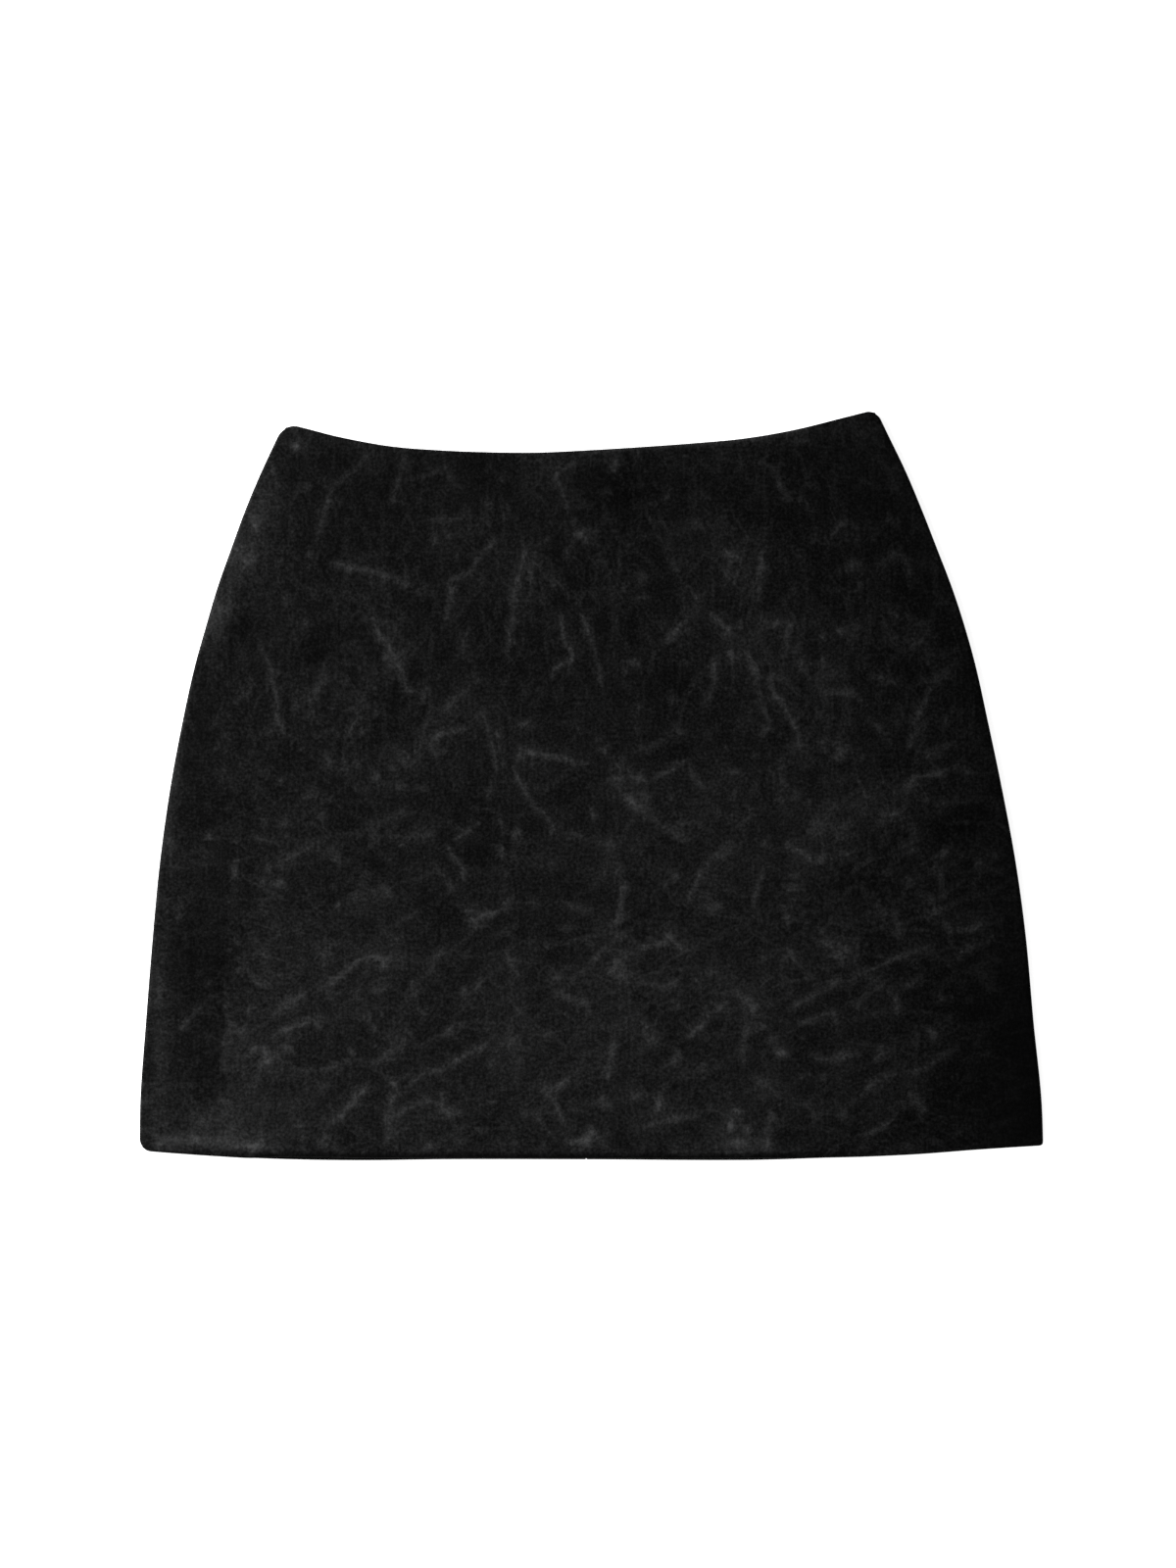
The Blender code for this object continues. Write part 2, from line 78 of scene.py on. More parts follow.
HEM = [
    (-270.0, -215.6), (-230.0, -218.6), (-190.0, -220.8), (-140.0, -221.7), (-80.0, -221.1),
    (0.0, -221.2), (90.0, -221.6), (140.0, -220.2), (190.0, -218.1), (230.0, -215.1),
    (270.0, -212.5),
]
HEM_SHOWS = [
    (-270.0, 0.0), (-205.0, 0.0), (-178.0, 1.7), (-120.0, 1.4), (-60.0, 0.9), (0.0, 0.8),
    (95.0, 1.2), (130.0, 0.4), (165.0, 0.0), (270.0, 0.0),
]
CORNERS = {
    ("left", "waist"): 9.5, ("right", "waist"): 7.0,
    ("left", "hem"): 7.0, ("right", "hem"): 2.2,
}
FOLDS = [
    (-217.0, -140.0, 88.0, 62.0, 13.0, -1.0), (-243.0, -110.0, 84.0, 80.0, 12.0, 0.5),
    (-150.0, 60.0, 62.0, 70.0, 26.0, -0.7), (-60.0, -60.0, 20.0, 80.0, 30.0, 0.6),
    (45.0, -95.0, 100.0, 75.0, 24.0, -0.6), (110.0, 55.0, 75.0, 80.0, 28.0, 0.6),
    (165.0, -60.0, 28.0, 85.0, 24.0, -0.6), (205.0, -130.0, 30.0, 60.0, 22.0, 0.5),
    (-120.0, -150.0, 35.0, 70.0, 24.0, 0.6), (-60.0, 110.0, 80.0, 60.0, 22.0, 0.5),
]

# ---------------------------------------------------------------- how the leather lies (mm)
# softer swells between those folds:  x, y, angle (deg), half-length, half-width, height
SWELLS = [
    (-205.0, 112.0, 72.0, 60.0, 9.0, 0.9), (-228.0, 20.0, 80.0, 60.0, 8.0, 0.5),
    (-222.0, -108.0, 88.0, 62.0, 5.0, 0.7), (-182.0, 40.0, 70.0, 42.0, 9.0, 0.4),
    (-120.0, 20.0, 118.0, 48.0, 8.0, 0.4), (-84.0, 36.0, 20.0, 30.0, 7.0, 0.4),
    (-88.0, 120.0, 64.0, 55.0, 9.0, 0.35), (-30.0, 60.0, 74.0, 46.0, 8.0, 0.4),
    (-2.0, 92.0, 100.0, 50.0, 8.0, -0.35), (30.0, 20.0, 8.0, 34.0, 8.0, 0.45),
    (72.0, 66.0, 96.0, 60.0, 9.0, 0.4), (98.0, 48.0, 110.0, 46.0, 7.0, 0.45),
    (140.0, 66.0, 12.0, 30.0, 9.0, 0.35), (176.0, 60.0, 150.0, 30.0, 9.0, 0.35),
    (150.0, -20.0, 14.0, 48.0, 9.0, 0.35), (206.0, -20.0, 40.0, 40.0, 8.0, 0.4),
    (-176.0, -50.0, 30.0, 34.0, 8.0, 0.4), (-150.0, -115.0, 34.0, 46.0, 8.0, 0.5),
    (-78.0, -66.0, 6.0, 40.0, 8.0, 0.4), (-92.0, -166.0, 30.0, 46.0, 8.0, 0.5),
    (20.0, -60.0, 84.0, 36.0, 8.0, 0.45), (46.0, -96.0, 16.0, 36.0, 8.0, 0.4),
    (12.0, -150.0, 98.0, 34.0, 8.0, 0.4), (92.0, -140.0, 84.0, 48.0, 9.0, 0.45),
    (160.0, -116.0, 24.0, 60.0, 9.0, 0.5), (178.0, -170.0, 30.0, 60.0, 8.0, 0.5),
    (232.0, -88.0, 22.0, 30.0, 8.0, 0.35), (-40.0, -30.0, 122.0, 34.0, 7.0, 0.35),
    (64.0, -34.0, 30.0, 30.0, 7.0, 0.3), (118.0, -70.0, 70.0, 36.0, 8.0, 0.35),
    (-140.0, 150.0, 110.0, 40.0, 9.0, 0.3), (20.0, 165.0, 96.0, 30.0, 9.0, 0.3),
    (110.0, 160.0, 120.0, 40.0, 9.0, 0.3), (160.0, 140.0, 128.0, 36.0, 9.0, 0.3),
]
# broad lighter and darker places, mostly painted light and shade of the lie (the right side and the top painted darker,
# the left edge, its swells, the lower left and the bottom painted lighter, the trough near the left seam painted dark)
# with some of the hide's own colouring:  x, y, angle, half-length, half-width, amount
PAINTED_LIGHT_AND_HIDE_TONE = [
    (-225.0, -78.0, 80.0, 44.0, 15.0, -1.5), (-231.0, -146.0, 88.0, 40.0, 11.0, -1.6),
    (-216.0, -203.0, 3.0, 44.0, 12.0, 1.7), (-150.0, 95.0, 84.0, 62.0, 50.0, -0.5),
    (16.0, -112.0, 90.0, 74.0, 74.0, 0.6),
    (-214.0, 118.0, 72.0, 62.0, 13.0, 0.9), (-236.0, 20.0, 80.0, 70.0, 8.0, 0.5),
    (-257.5, -120.0, 88.0, 96.0, 7.0, 1.2), (276.0, -188.0, 92.0, 120.0, 50.0, -7.6),
    (244.0, 20.0, 104.0, 120.0, 40.0, -1.1), (176.0, 190.0, 120.0, 80.0, 46.0, -1.8),
    (-110.0, 205.0, 0.0, 130.0, 22.0, -0.4), (20.0, -60.0, 0.0, 190.0, 120.0, 0.4),
    (-20.0, -225.0, 0.0, 210.0, 110.0, 1.0), (-180.0, -170.0, 20.0, 56.0, 70.0, 0.55),
    (-216.0, -196.0, 2.0, 40.0, 14.0, 0.5),
    (-228.0, 45.0, 80.0, 34.0, 9.0, -0.5), (-238.0, 12.0, 80.0, 20.0, 8.0, -0.4),
    (-160.0, 190.0, -10.0, 24.0, 10.0, -0.6), (-121.0, 191.0, 0.0, 12.0, 8.0, -0.7),
    (-25.0, 172.0, 90.0, 8.0, 6.0, -0.7), (10.0, 78.0, 100.0, 30.0, 6.0, -0.9),
    (-32.0, 30.0, 0.0, 12.0, 8.0, -0.7), (42.0, 19.0, 0.0, 8.0, 6.0, -0.9),
    (113.0, -26.0, 0.0, 14.0, 7.0, -0.8), (110.0, -62.0, 0.0, 14.0, 10.0, -0.8),
    (21.0, -9.0, 0.0, 12.0, 4.0, -0.8), (-2.0, -138.0, 0.0, 10.0, 8.0, -0.6),
    (132.0, -152.0, -20.0, 14.0, 6.0, -0.7), (165.0, -167.0, 30.0, 14.0, 8.0, -0.7),
    (163.0, -196.0, 0.0, 12.0, 10.0, -0.7), (-172.0, -162.0, -15.0, 16.0, 6.0, -0.6),
    (-126.0, -186.0, 90.0, 20.0, 8.0, -0.5), (187.0, 165.0, 0.0, 14.0, 8.0, -0.7),
    (-100.0, -19.0, 30.0, 16.0, 6.0, -0.7),
]
# creases:  strength, width of the pale line, the points it runs through
CREASES = [
    (0.8, 2.9, [(-131.9, 198.5), (-136.5, 189.8), (-145.8, 182.9), (-152.8, 176.5), (-156.3, 166.6), (-158, 160.3)]),
    (0.9, 2.9, [(-173.7, 207.2), (-174.2, 201.4), (-177.1, 195.1)]),
    (0.5, 4.6, [(-143.5, 160.3), (-144.1, 152.1)]),
    (1, 3.5, [(-157.4, 131.8), (-149.9, 131.3), (-141.2, 128.9), (-130.7, 127.8), (-118, 123.1), (-103.5, 117.3)]),
    (0.7, 3.5, [(-110.4, 195.6), (-113.3, 184), (-116.2, 172.4), (-119.1, 163.7)]),
    (0.6, 2.3, [(-107.5, 181.1), (-94.8, 184.6), (-86.1, 188.1), (-84.3, 185.2), (-80.9, 178.8), (-71.6, 175.3)]),
    (0.5, 3.5, [(-98.3, 157.9), (-89, 157.9), (-77.4, 159.1), (-69.8, 162)]),
    (0.8, 3.5, [(-54.2, 149.2), (-60, 142.3), (-66.9, 134.7), (-72.7, 126), (-82, 122), (-83.2, 110.4), (-86.1, 99.4), (-87.8, 92.4)]),
    (0.9, 3.5, [(-42.6, 142.3), (-37.9, 140.5), (-40.8, 131.8), (-43.7, 120.2), (-46.1, 107.5), (-47.2, 97), (-49, 87.8), (-50.1, 76.2)]),
    (0.7, 4.1, [(-33.9, 135.9), (-35, 126), (-36.2, 117.3)]),
    (0.5, 1.7, [(-32.7, 174.2), (-29.2, 169.5), (-25.2, 163.7)]),
    (0.8, 2.3, [(-5.5, 193.9), (-11.8, 190.4), (-15.9, 186.9), (-21.7, 184), (-19.4, 179.4), (-17.1, 175.3), (-15.3, 168.4), (-13.6, 160.8)]),
    (1, 2.9, [(-11.8, 152.1), (-8.9, 148.7), (-2, 152.1), (0.9, 155)]),
    (1, 2.9, [(-4.9, 147.5), (-1.4, 142.9)]),
    (0.5, 2.9, [(-26.9, 127.8), (-22.3, 123.1)]),
    (1, 3.5, [(15.4, 197.4), (14.3, 189.8), (11.9, 184)]),
    (0.6, 2.9, [(6.7, 175.3), (12.5, 173.6)]),
    (0.6, 2.9, [(49.1, 178.2), (45, 172.4), (43.3, 166.6)]),
    (0.6, 2.9, [(29.9, 151), (34, 145.2)]),
    (0.8, 2.9, [(46.2, 134.7), (49.1, 130.1), (53.1, 126)]),
    (0.7, 2.3, [(55.4, 155), (60.7, 156.2), (65.3, 153.3), (68.8, 146.3)]),
    (1, 3.5, [(78.1, 142.3), (81.5, 137.6), (87.9, 134.7), (89.7, 131.8)]),
    (0.8, 3.5, [(100.7, 140.5), (100.1, 128.9), (98.9, 117.3), (99.5, 105.7)]),
    (0.5, 2.9, [(87.9, 198.5), (87.9, 184)]),
    (0.8, 3.5, [(102.4, 192.7), (107.1, 186.9), (111.1, 181.1), (115.8, 172.4), (119.8, 166.6)]),
    (0.6, 4.6, [(114, 201.4), (122.7, 204.3), (131.4, 204.3)]),
    (0.5, 2.9, [(125.6, 177.1), (132.6, 178.2), (136.1, 175.3)]),
    (0.7, 2.9, [(24.1, 110.4), (32.8, 112.7), (37.5, 111.5)]),
    (0.7, 2.9, [(56, 197.4), (54.9, 192.7)]),
    (0.6, 2.9, [(141.3, 146.3), (145.9, 152.1), (151.7, 156.2), (157.5, 152.1), (158.7, 140.5)]),
    (0.9, 3.5, [(150, 134.7), (157.5, 131.8), (158.7, 126)]),
    (0.7, 2.9, [(143, 126), (148.8, 127.8)]),
    (0.6, 2.9, [(169.1, 149.2), (174.9, 157.9), (179, 155), (183.6, 152.1)]),
    (0.7, 3.5, [(166.2, 130.1), (174.9, 133.6), (180.7, 138.8), (186.5, 133), (189.4, 124.3), (195.2, 118.5)]),
    (0.6, 2.9, [(160.4, 123.1), (158.7, 115.6)]),
    (0.5, 2.9, [(159.3, 213), (162.7, 204.3)]),
    (0.5, 2.9, [(174.9, 185.2), (180.7, 175.3), (183.6, 170.7)]),
    (0.9, 2.3, [(-199.2, 92.4), (-196.3, 85.4), (-193.4, 78.5), (-189.9, 70.4), (-188.7, 62.2), (-186.4, 55.3), (-185.3, 47.2), (-185.8, 40.2), (-183.5, 35), (-179.5, 28.6)]),
    (0.7, 2.9, [(-208.5, 84.3), (-207.3, 78.5), (-205.6, 72.7)]),
    (0.6, 2.9, [(-205, 66.9), (-201.5, 62.2), (-202.7, 55.3), (-208.5, 51.8), (-212.5, 47.2)]),
    (0.5, 2.3, [(-217.7, 46), (-213.1, 40.2)]),
    (0.5, 2.9, [(-211.9, 34.4), (-215.4, 29.8), (-222.4, 21.6), (-227.6, 19.9)]),
    (0.5, 2.9, [(-170.2, 93.6), (-166.7, 98.2)]),
    (0.7, 4.6, [(-157.4, 68), (-159.7, 59.9), (-166.7, 54.1), (-172.5, 50.6)]),
    (0.6, 2.9, [(-132.5, 57.6), (-137.7, 49.5)]),
    (0.7, 2.9, [(-140, 49.5), (-139.4, 42.5), (-141.2, 34.4), (-144.7, 28.6), (-147, 25.7)]),
    (0.5, 2.3, [(-151.6, 34.4), (-149.3, 27.4)]),
    (0.5, 2.3, [(-164.4, 33.2), (-161.5, 27.4)]),
    (0.6, 2.9, [(-185.3, 5.4), (-182.4, -0.4)]),
    (0.5, 2.3, [(-198, 10), (-188.7, 8.9)]),
    (0.5, 2.3, [(-218.9, 6.6), (-219.5, 0.8)]),
    (1, 2.9, [(-132.5, 102.8), (-129, 98.2), (-125.5, 91.2), (-122, 86.6), (-119.1, 81.4), (-116.2, 75), (-112.8, 69.2), (-109.3, 62.2), (-107.5, 56.4), (-103.5, 55.3)]),
    (0.9, 2.3, [(-119.1, 80.8), (-123.2, 72.7)]),
    (0.6, 2.3, [(-125.5, 93.6), (-118.6, 99.4)]),
    (0.9, 2.9, [(-96.5, 62.2), (-98.8, 53), (-99.4, 47.7)]),
    (0.5, 2.9, [(-69.8, 94.7), (-74.5, 90.1), (-75.6, 83.1), (-75.1, 75)]),
    (0.8, 4.1, [(-72.7, 58.8), (-80.3, 51.8), (-84.9, 47.2), (-89.6, 42.5)]),
    (1, 2.3, [(-72.2, 35.6), (-78, 32.7), (-82.6, 32.1), (-88.4, 30.9), (-93, 28.6), (-95.4, 25.1), (-96.5, 21.1)]),
    (0.6, 2.3, [(-94.2, 18.2), (-86.1, 22.8)]),
    (0.8, 2.3, [(-69.8, 37.9), (-65.2, 43.7), (-62.9, 39), (-60, 29.8), (-58.2, 22.8), (-57.1, 15.8), (-54.8, 5.4)]),
    (0.6, 2.3, [(-57.1, 34.4), (-54.8, 26.3)]),
    (0.9, 2.3, [(-18.8, 105.2), (-17.6, 95.9), (-15.9, 88.9), (-15.3, 84.3), (-11.3, 78.5), (-11.8, 75), (-16.5, 72.7), (-22.3, 68.6), (-22.9, 59.9)]),
    (0.9, 2.3, [(-6, 104), (-3.7, 95.9), (-0.2, 87.8), (2.1, 78.5), (4.4, 70.4), (6.1, 58.8)]),
    (0.6, 2.9, [(-55.9, 61.1), (-50.1, 62.2), (-52.4, 66.9)]),
    (0.5, 2.3, [(-43.2, 63.4), (-39.7, 57.6), (-39.1, 49.5)]),
    (1, 2.3, [(-42, 25.1), (-42.6, 18.2), (-45.5, 14.7)]),
    (0.7, 2.3, [(-44.3, 35.6), (-39.7, 36.7), (-35, 40.2)]),
    (1, 2.9, [(-40.8, 22.8), (-35, 19.3), (-28.1, 18.2), (-21.1, 17), (-15.3, 16.4), (-9.5, 14.1), (-3.7, 13.5), (-0.2, 15.8)]),
    (0.6, 2.3, [(2.1, 29.8), (5.6, 25.7)]),
    (0.9, 2.9, [(-46.6, 12.4), (-43.2, 4.2), (-38.5, -3.9), (-33.9, -11.4), (-28.1, -16.1), (-23.4, -23), (-21.7, -27.7)]),
    (0.5, 2.3, [(-117.4, 17), (-111.6, 20.5), (-107, 15.8)]),
    (0.5, 2.3, [(-118.6, 8.9), (-117.4, 14.7)]),
    (0.8, 2.3, [(-129, 1.9), (-125.5, 6.6)]),
    (0.8, 4.1, [(-117.4, -0.4), (-111.6, -0.4), (-108.1, 0.8)]),
    (0.5, 2.3, [(-75.6, 6.6), (-80.3, -0.4), (-82.6, -3.9)]),
    (0.5, 4.6, [(-127.8, 53), (-127.8, 39)]),
    (1, 2.9, [(68.2, 105.2), (72.3, 99.4), (76.9, 95.9), (81.5, 92.4), (85, 88.9), (87.3, 85.4)]),
    (0.7, 2.3, [(80.4, 91.2), (76.9, 86.6)]),
    (0.7, 2.3, [(88.5, 99.4), (89.7, 92.4)]),
    (0.9, 3.5, [(74.6, 80.8), (72.3, 70.4), (72.3, 61.1), (69.9, 50.6), (69.4, 43.7)]),
    (0.9, 3.5, [(82.7, 83.1), (82.7, 71.5)]),
    (0.9, 2.9, [(90.8, 83.1), (93.1, 77.3), (96.6, 69.2), (98.4, 62.2), (99.5, 54.1), (101.3, 47.2), (104.7, 40.2), (108.8, 35)]),
    (0.7, 2.3, [(108.8, 35), (102.4, 32.7), (96.6, 27.4)]),
    (1, 2.9, [(106.5, 65.7), (107.1, 58.8), (111.7, 51.8), (116.3, 43.7), (119.8, 36.7), (122.7, 28.6), (124.5, 19.3)]),
    (1, 3.5, [(103.6, 95.3), (111.7, 97), (117.5, 95.9), (115.2, 87.8), (116.3, 84.3)]),
    (0.9, 3.5, [(57.2, 99.4), (51.4, 93.6), (46.7, 87.8), (42.1, 83.1)]),
    (0.6, 2.9, [(37.5, 82), (35.1, 72.7)]),
    (0.6, 2.9, [(16.6, 64.6), (21.2, 59.9), (24.7, 54.1)]),
    (0.8, 2.9, [(57.2, 15.8), (52.5, 12.4), (46.7, 8.9), (40.9, 6.6), (35.1, 5.4)]),
    (0.9, 3.5, [(57.2, 13.5), (60.7, 5.4), (65.3, -0.4), (68.8, -3.3)]),
    (0.8, 2.9, [(24.7, -1.6), (28.2, 5.4), (32.8, 0.8)]),
    (0.7, 4.1, [(6.1, 25.1), (8.5, 17)]),
    (0.6, 2.9, [(133.7, 90.1), (140.7, 86.6)]),
    (0.6, 2.9, [(133.7, 54.1), (140.7, 56.4)]),
    (0.4, 2.9, [(122.1, 77.3), (123.3, 69.2)]),
    (0.8, 3.5, [(175.5, 104), (180.7, 99.4), (185.4, 97)]),
    (0.6, 4.1, [(147.1, 98.2), (151.7, 93.6), (156.9, 90.7)]),
    (0.6, 2.9, [(186.5, 83.1), (191.2, 83.1), (195.8, 86.6), (198.1, 84.3)]),
    (0.9, 4.1, [(163.3, 66.9), (169.1, 64.6), (177.2, 62.2), (181.9, 58.8)]),
    (0.9, 4.1, [(140.1, 56.4), (147.1, 55.9), (152.9, 54.7), (158.7, 55.9)]),
    (0.8, 4.6, [(214.4, 72.7), (209.7, 68), (203.9, 63.4), (197, 64.6)]),
    (0.8, 3.5, [(202.8, 61.1), (199.3, 55.3), (197, 48.3), (191.2, 39), (193.5, 34.4), (188.8, 26.3), (185.9, 19.3)]),
    (0.7, 2.9, [(161, 43.7), (165.1, 39), (170.3, 34.4), (174.9, 28.6), (178.4, 22.8)]),
    (0.7, 2.3, [(216.7, 27.4), (209.7, 22.8), (201.6, 19.3), (194.6, 14.7)]),
    (0.9, 2.3, [(212, 10), (206.2, 8.3), (199.3, 6), (192.3, 5.4), (187.7, 0.8)]),
    (0.6, 4.6, [(219, 12.4), (226, 5.4)]),
    (0.8, 4.6, [(140.1, 27.4), (144.8, 24), (148.2, 17), (151.7, 15.8)]),
    (0.5, 2.9, [(162.2, 19.3), (158.7, 13.5)]),
    (0.7, 2.9, [(163.3, -2.7), (161, -6.2)]),
    (0.5, 2.9, [(174.9, -3.9), (188.8, -2.7)]),
    (0.7, 2.3, [(-209.6, -40.4), (-210.8, -48.5), (-211.9, -57.8)]),
    (0.6, 3.5, [(-177.1, -16.1), (-181.8, -21.9), (-187.6, -26.5)]),
    (0.6, 2.9, [(-211.9, -30), (-206.1, -32.3)]),
    (0.6, 2.9, [(-201.5, -27.7), (-196.9, -31.1), (-187.6, -33.5), (-184.1, -38.1)]),
    (0.8, 2.3, [(-162.1, -34), (-169, -37.5), (-177.1, -41.6), (-182.9, -44.5), (-185.3, -48.5)]),
    (0.7, 2.9, [(-153.9, -33.5), (-153.9, -41.6), (-145.8, -45.1)]),
    (0.9, 2.9, [(-150.5, -67.1), (-149.3, -76.4)]),
    (0.5, 2.9, [(-140, -61.3), (-137.7, -69.4)]),
    (0.5, 2.9, [(-135.4, -50.9), (-131.9, -55.5)]),
    (0.9, 2.9, [(-118, -103.1), (-133.1, -100.7), (-141.2, -106.5), (-148.1, -112.3), (-155.1, -118.1), (-162.1, -120.5)]),
    (0.9, 2.9, [(-166.7, -120.5), (-172.5, -124.5), (-177.1, -127.4), (-180.6, -130.3), (-184.1, -132.6), (-187.6, -135), (-191.6, -136.7)]),
    (0.7, 4.1, [(-159.7, -13.7), (-162.1, -19.5)]),
    (0.6, 2.9, [(-243.3, -64.8), (-243.8, -74.1), (-245.6, -83.3)]),
    (0.5, 5.8, [(-249.1, -26.5), (-247.9, -45.1)]),
    (0.6, 2.9, [(-193.4, -92.6), (-196.9, -98.4), (-189.9, -103.1)]),
    (0.5, 2.9, [(-210.8, -106), (-206.1, -111.2)]),
    (0.4, 2.9, [(-194.5, -67.1), (-194.5, -76.4)]),
    (0.4, 2.9, [(-173.7, -78.7), (-171.3, -84.5)]),
    (0.5, 2.9, [(-224.7, -25.3), (-228.2, -32.3)]),
    (0.6, 4.1, [(-109.3, -12.6), (-116.2, -17.2), (-125.5, -23), (-132.5, -27.7)]),
    (0.6, 3.5, [(-89.6, -24.2), (-95.4, -27.7), (-101.2, -29.4), (-108.1, -27.7)]),
    (0.8, 4.1, [(-68.7, -25.3), (-74.5, -27.7), (-79.1, -31.1), (-82.6, -31.1)]),
    (0.9, 2.3, [(-86.1, -32.3), (-83.8, -38.1), (-80.3, -42.7), (-76.8, -47.4), (-75.1, -54.3), (-74.5, -57.8)]),
    (0.7, 3.5, [(-94.2, -45.1), (-88.4, -52), (-83.8, -59), (-81.4, -64.8)]),
    (0.7, 2.9, [(-55.9, -16.1), (-52.4, -25.3), (-51.3, -30)]),
    (0.9, 2.9, [(-53.6, -32.3), (-52.4, -41.6), (-53.6, -43.9)]),
    (0.8, 2.3, [(-50.1, -48.5), (-51.3, -55.5)]),
    (0.5, 2.9, [(-46.6, -43.9), (-43.2, -39.3)]),
    (0.5, 2.9, [(-16.5, -27.7), (-9.5, -30), (-4.9, -33.5)]),
    (1, 3.5, [(-75.6, -69.4), (-73.3, -72.9), (-69.8, -79.9), (-65.2, -77.5), (-58.2, -75.2), (-51.3, -72.9), (-45.5, -70.6)]),
    (0.5, 2.9, [(-40.8, -78.7), (-46.6, -83.3), (-53.6, -86.8), (-60.6, -90.3)]),
    (0.9, 3.5, [(-18.8, -71.2), (-11.8, -70.6), (-4.9, -72.9), (2.1, -74.1)]),
    (0.5, 2.9, [(-16.5, -79.9), (-10.7, -86.8)]),
    (0.8, 3.5, [(-52.4, -99.6), (-49, -101.9), (-47.8, -104.2), (-45.5, -108.9), (-39.7, -113.5)]),
    (0.7, 3.5, [(-10.7, -105.4), (-16.5, -108.9), (-21.1, -113.5), (-28.1, -115.8)]),
    (0.6, 3.5, [(-83.8, -96.1), (-91.9, -100.7), (-94.2, -108.9), (-98.8, -114.7)]),
    (0.5, 2.9, [(-35, -62.5), (-32.7, -74.1)]),
    (0.4, 2.9, [(-66.4, -45.1), (-66.9, -50.9)]),
    (1, 3.5, [(16.6, -9.1), (21.2, -7.9), (27, -12.6), (30.5, -13.7)]),
    (0.7, 2.3, [(39.8, -23), (44.4, -25.3), (50.2, -30), (56, -32.9), (61.8, -28.8)]),
    (0.5, 2.3, [(49.1, -19.5), (56, -21.9), (64.1, -18.4)]),
    (0.7, 4.1, [(85, -32.3), (78.1, -40.4), (71.1, -43.9)]),
    (0.7, 2.3, [(64.1, -46.2), (63, -54.3), (59.5, -62.5), (56, -70.6)]),
    (0.9, 2.9, [(101.8, -46.2), (100.1, -55.5), (97.8, -63.6), (95.5, -71.7)]),
    (0.8, 4.1, [(98.9, -32.3), (105.9, -35.8)]),
    (0.7, 2.9, [(111.7, -33.5), (119.8, -36.9), (126.8, -40.4), (132.6, -45.1), (141.9, -42.7)]),
    (0.7, 2.9, [(136.1, -19.5), (131.4, -24.2), (126.8, -28.8)]),
    (0.6, 2.9, [(116.3, -53.2), (125.6, -50.9)]),
    (0.6, 2.9, [(110.5, -59), (129.1, -60.1)]),
    (0.7, 2.9, [(114, -69.4), (115.2, -76.4), (118.7, -83.3)]),
    (0.5, 2.9, [(102.4, -81), (104.7, -89.1)]),
    (1, 3.5, [(18.9, -54.3), (20.1, -59), (17.7, -67.1), (17.2, -74.1), (15.4, -79.9), (14.3, -85.7)]),
    (0.6, 2.9, [(14.3, -86.8), (20.1, -91.5)]),
    (1, 2.9, [(25.9, -97.3), (32.8, -95.5), (37.5, -93.8), (43.3, -91.5), (46.7, -88), (51.4, -93.8), (54.9, -100.7)]),
    (1, 2.9, [(18.9, -99.6), (15.4, -104.2), (12.5, -110), (18.9, -112.3), (23.5, -113.5)]),
    (0.8, 2.3, [(16.6, -103.1), (20.1, -111.2)]),
    (0.5, 3.5, [(68.8, -108.9), (78.1, -112.3)]),
    (0.6, 2.9, [(129.1, -7.9), (127.9, -11.4)]),
    (0.5, 2.9, [(108.2, -9.1), (112.9, -5.6)]),
    (0.7, 4.6, [(169.1, -15.5), (177.2, -16.6), (184.2, -14.9)]),
    (0.6, 2.9, [(151.7, -24.2), (157.5, -23)]),
    (0.5, 2.9, [(202.8, -7.9), (206.2, -14.9), (199.3, -18.4)]),
    (0.5, 2.9, [(212, -7.9), (207.4, -13.7)]),
    (0.6, 2.9, [(195.8, -35.8), (190, -38.1), (183, -40.4), (179.6, -38.1)]),
    (0.6, 2.9, [(214.4, -36.9), (209.7, -39.3), (205.1, -41.6), (199.3, -42.7)]),
    (0.8, 2.3, [(202.8, -43.9), (205.1, -49.7), (207.4, -56.7), (208.6, -62.5), (210.9, -68.3)]),
    (0.7, 4.1, [(197, -61.3), (200.4, -68.3), (205.1, -74.1), (209.7, -79.9), (212, -85.7), (215.5, -89.1)]),
    (0.9, 2.3, [(236.4, -79.9), (230.6, -82.2), (224.8, -84.5), (219, -83.3)]),
    (0.7, 4.1, [(241, -88), (235.2, -91.5), (228.3, -94.9), (221.3, -97.3), (215.5, -101.9)]),
    (0.5, 2.9, [(230.6, -41.6), (230.6, -50.9)]),
    (0.5, 2.9, [(173.8, -48.5), (174.9, -55.5)]),
    (0.5, 2.9, [(168, -64.8), (172.6, -72.9), (174.9, -78.7)]),
    (0.5, 2.9, [(171.4, -111.2), (166.8, -115.8), (162.2, -124.5), (158.7, -128), (152.9, -130.3)]),
    (0.5, 4.1, [(231.8, -108.9), (235.2, -115.8), (239.9, -119.3), (244.5, -122.2)]),
    (0.8, 2.3, [(-226.4, -123.4), (-230.5, -130.3), (-234, -133.8), (-238.6, -138.4), (-242.7, -142.5), (-246.2, -144.8)]),
    (0.8, 2.9, [(-221.2, -125.7), (-217.7, -128.6), (-214.8, -132.6)]),
    (0.6, 3.5, [(-213.1, -136.1), (-214.3, -143.1), (-216, -150)]),
    (1, 3.5, [(-166.1, -135), (-169, -139), (-172.5, -140.8), (-177.1, -142.5), (-181.8, -144.2), (-185.8, -146), (-188.7, -148.9)]),
    (0.9, 3.5, [(-165.5, -135.5), (-162.1, -141.9), (-158, -147.1)]),
    (1, 2.9, [(-196.3, -152.4), (-193.4, -155.8), (-192.2, -160.5), (-189.9, -162.8)]),
    (0.8, 2.9, [(-196.3, -152.4), (-201.5, -158.2)]),
    (0.9, 2.9, [(-194.5, -162.8), (-187.6, -160.5), (-182.9, -158.2)]),
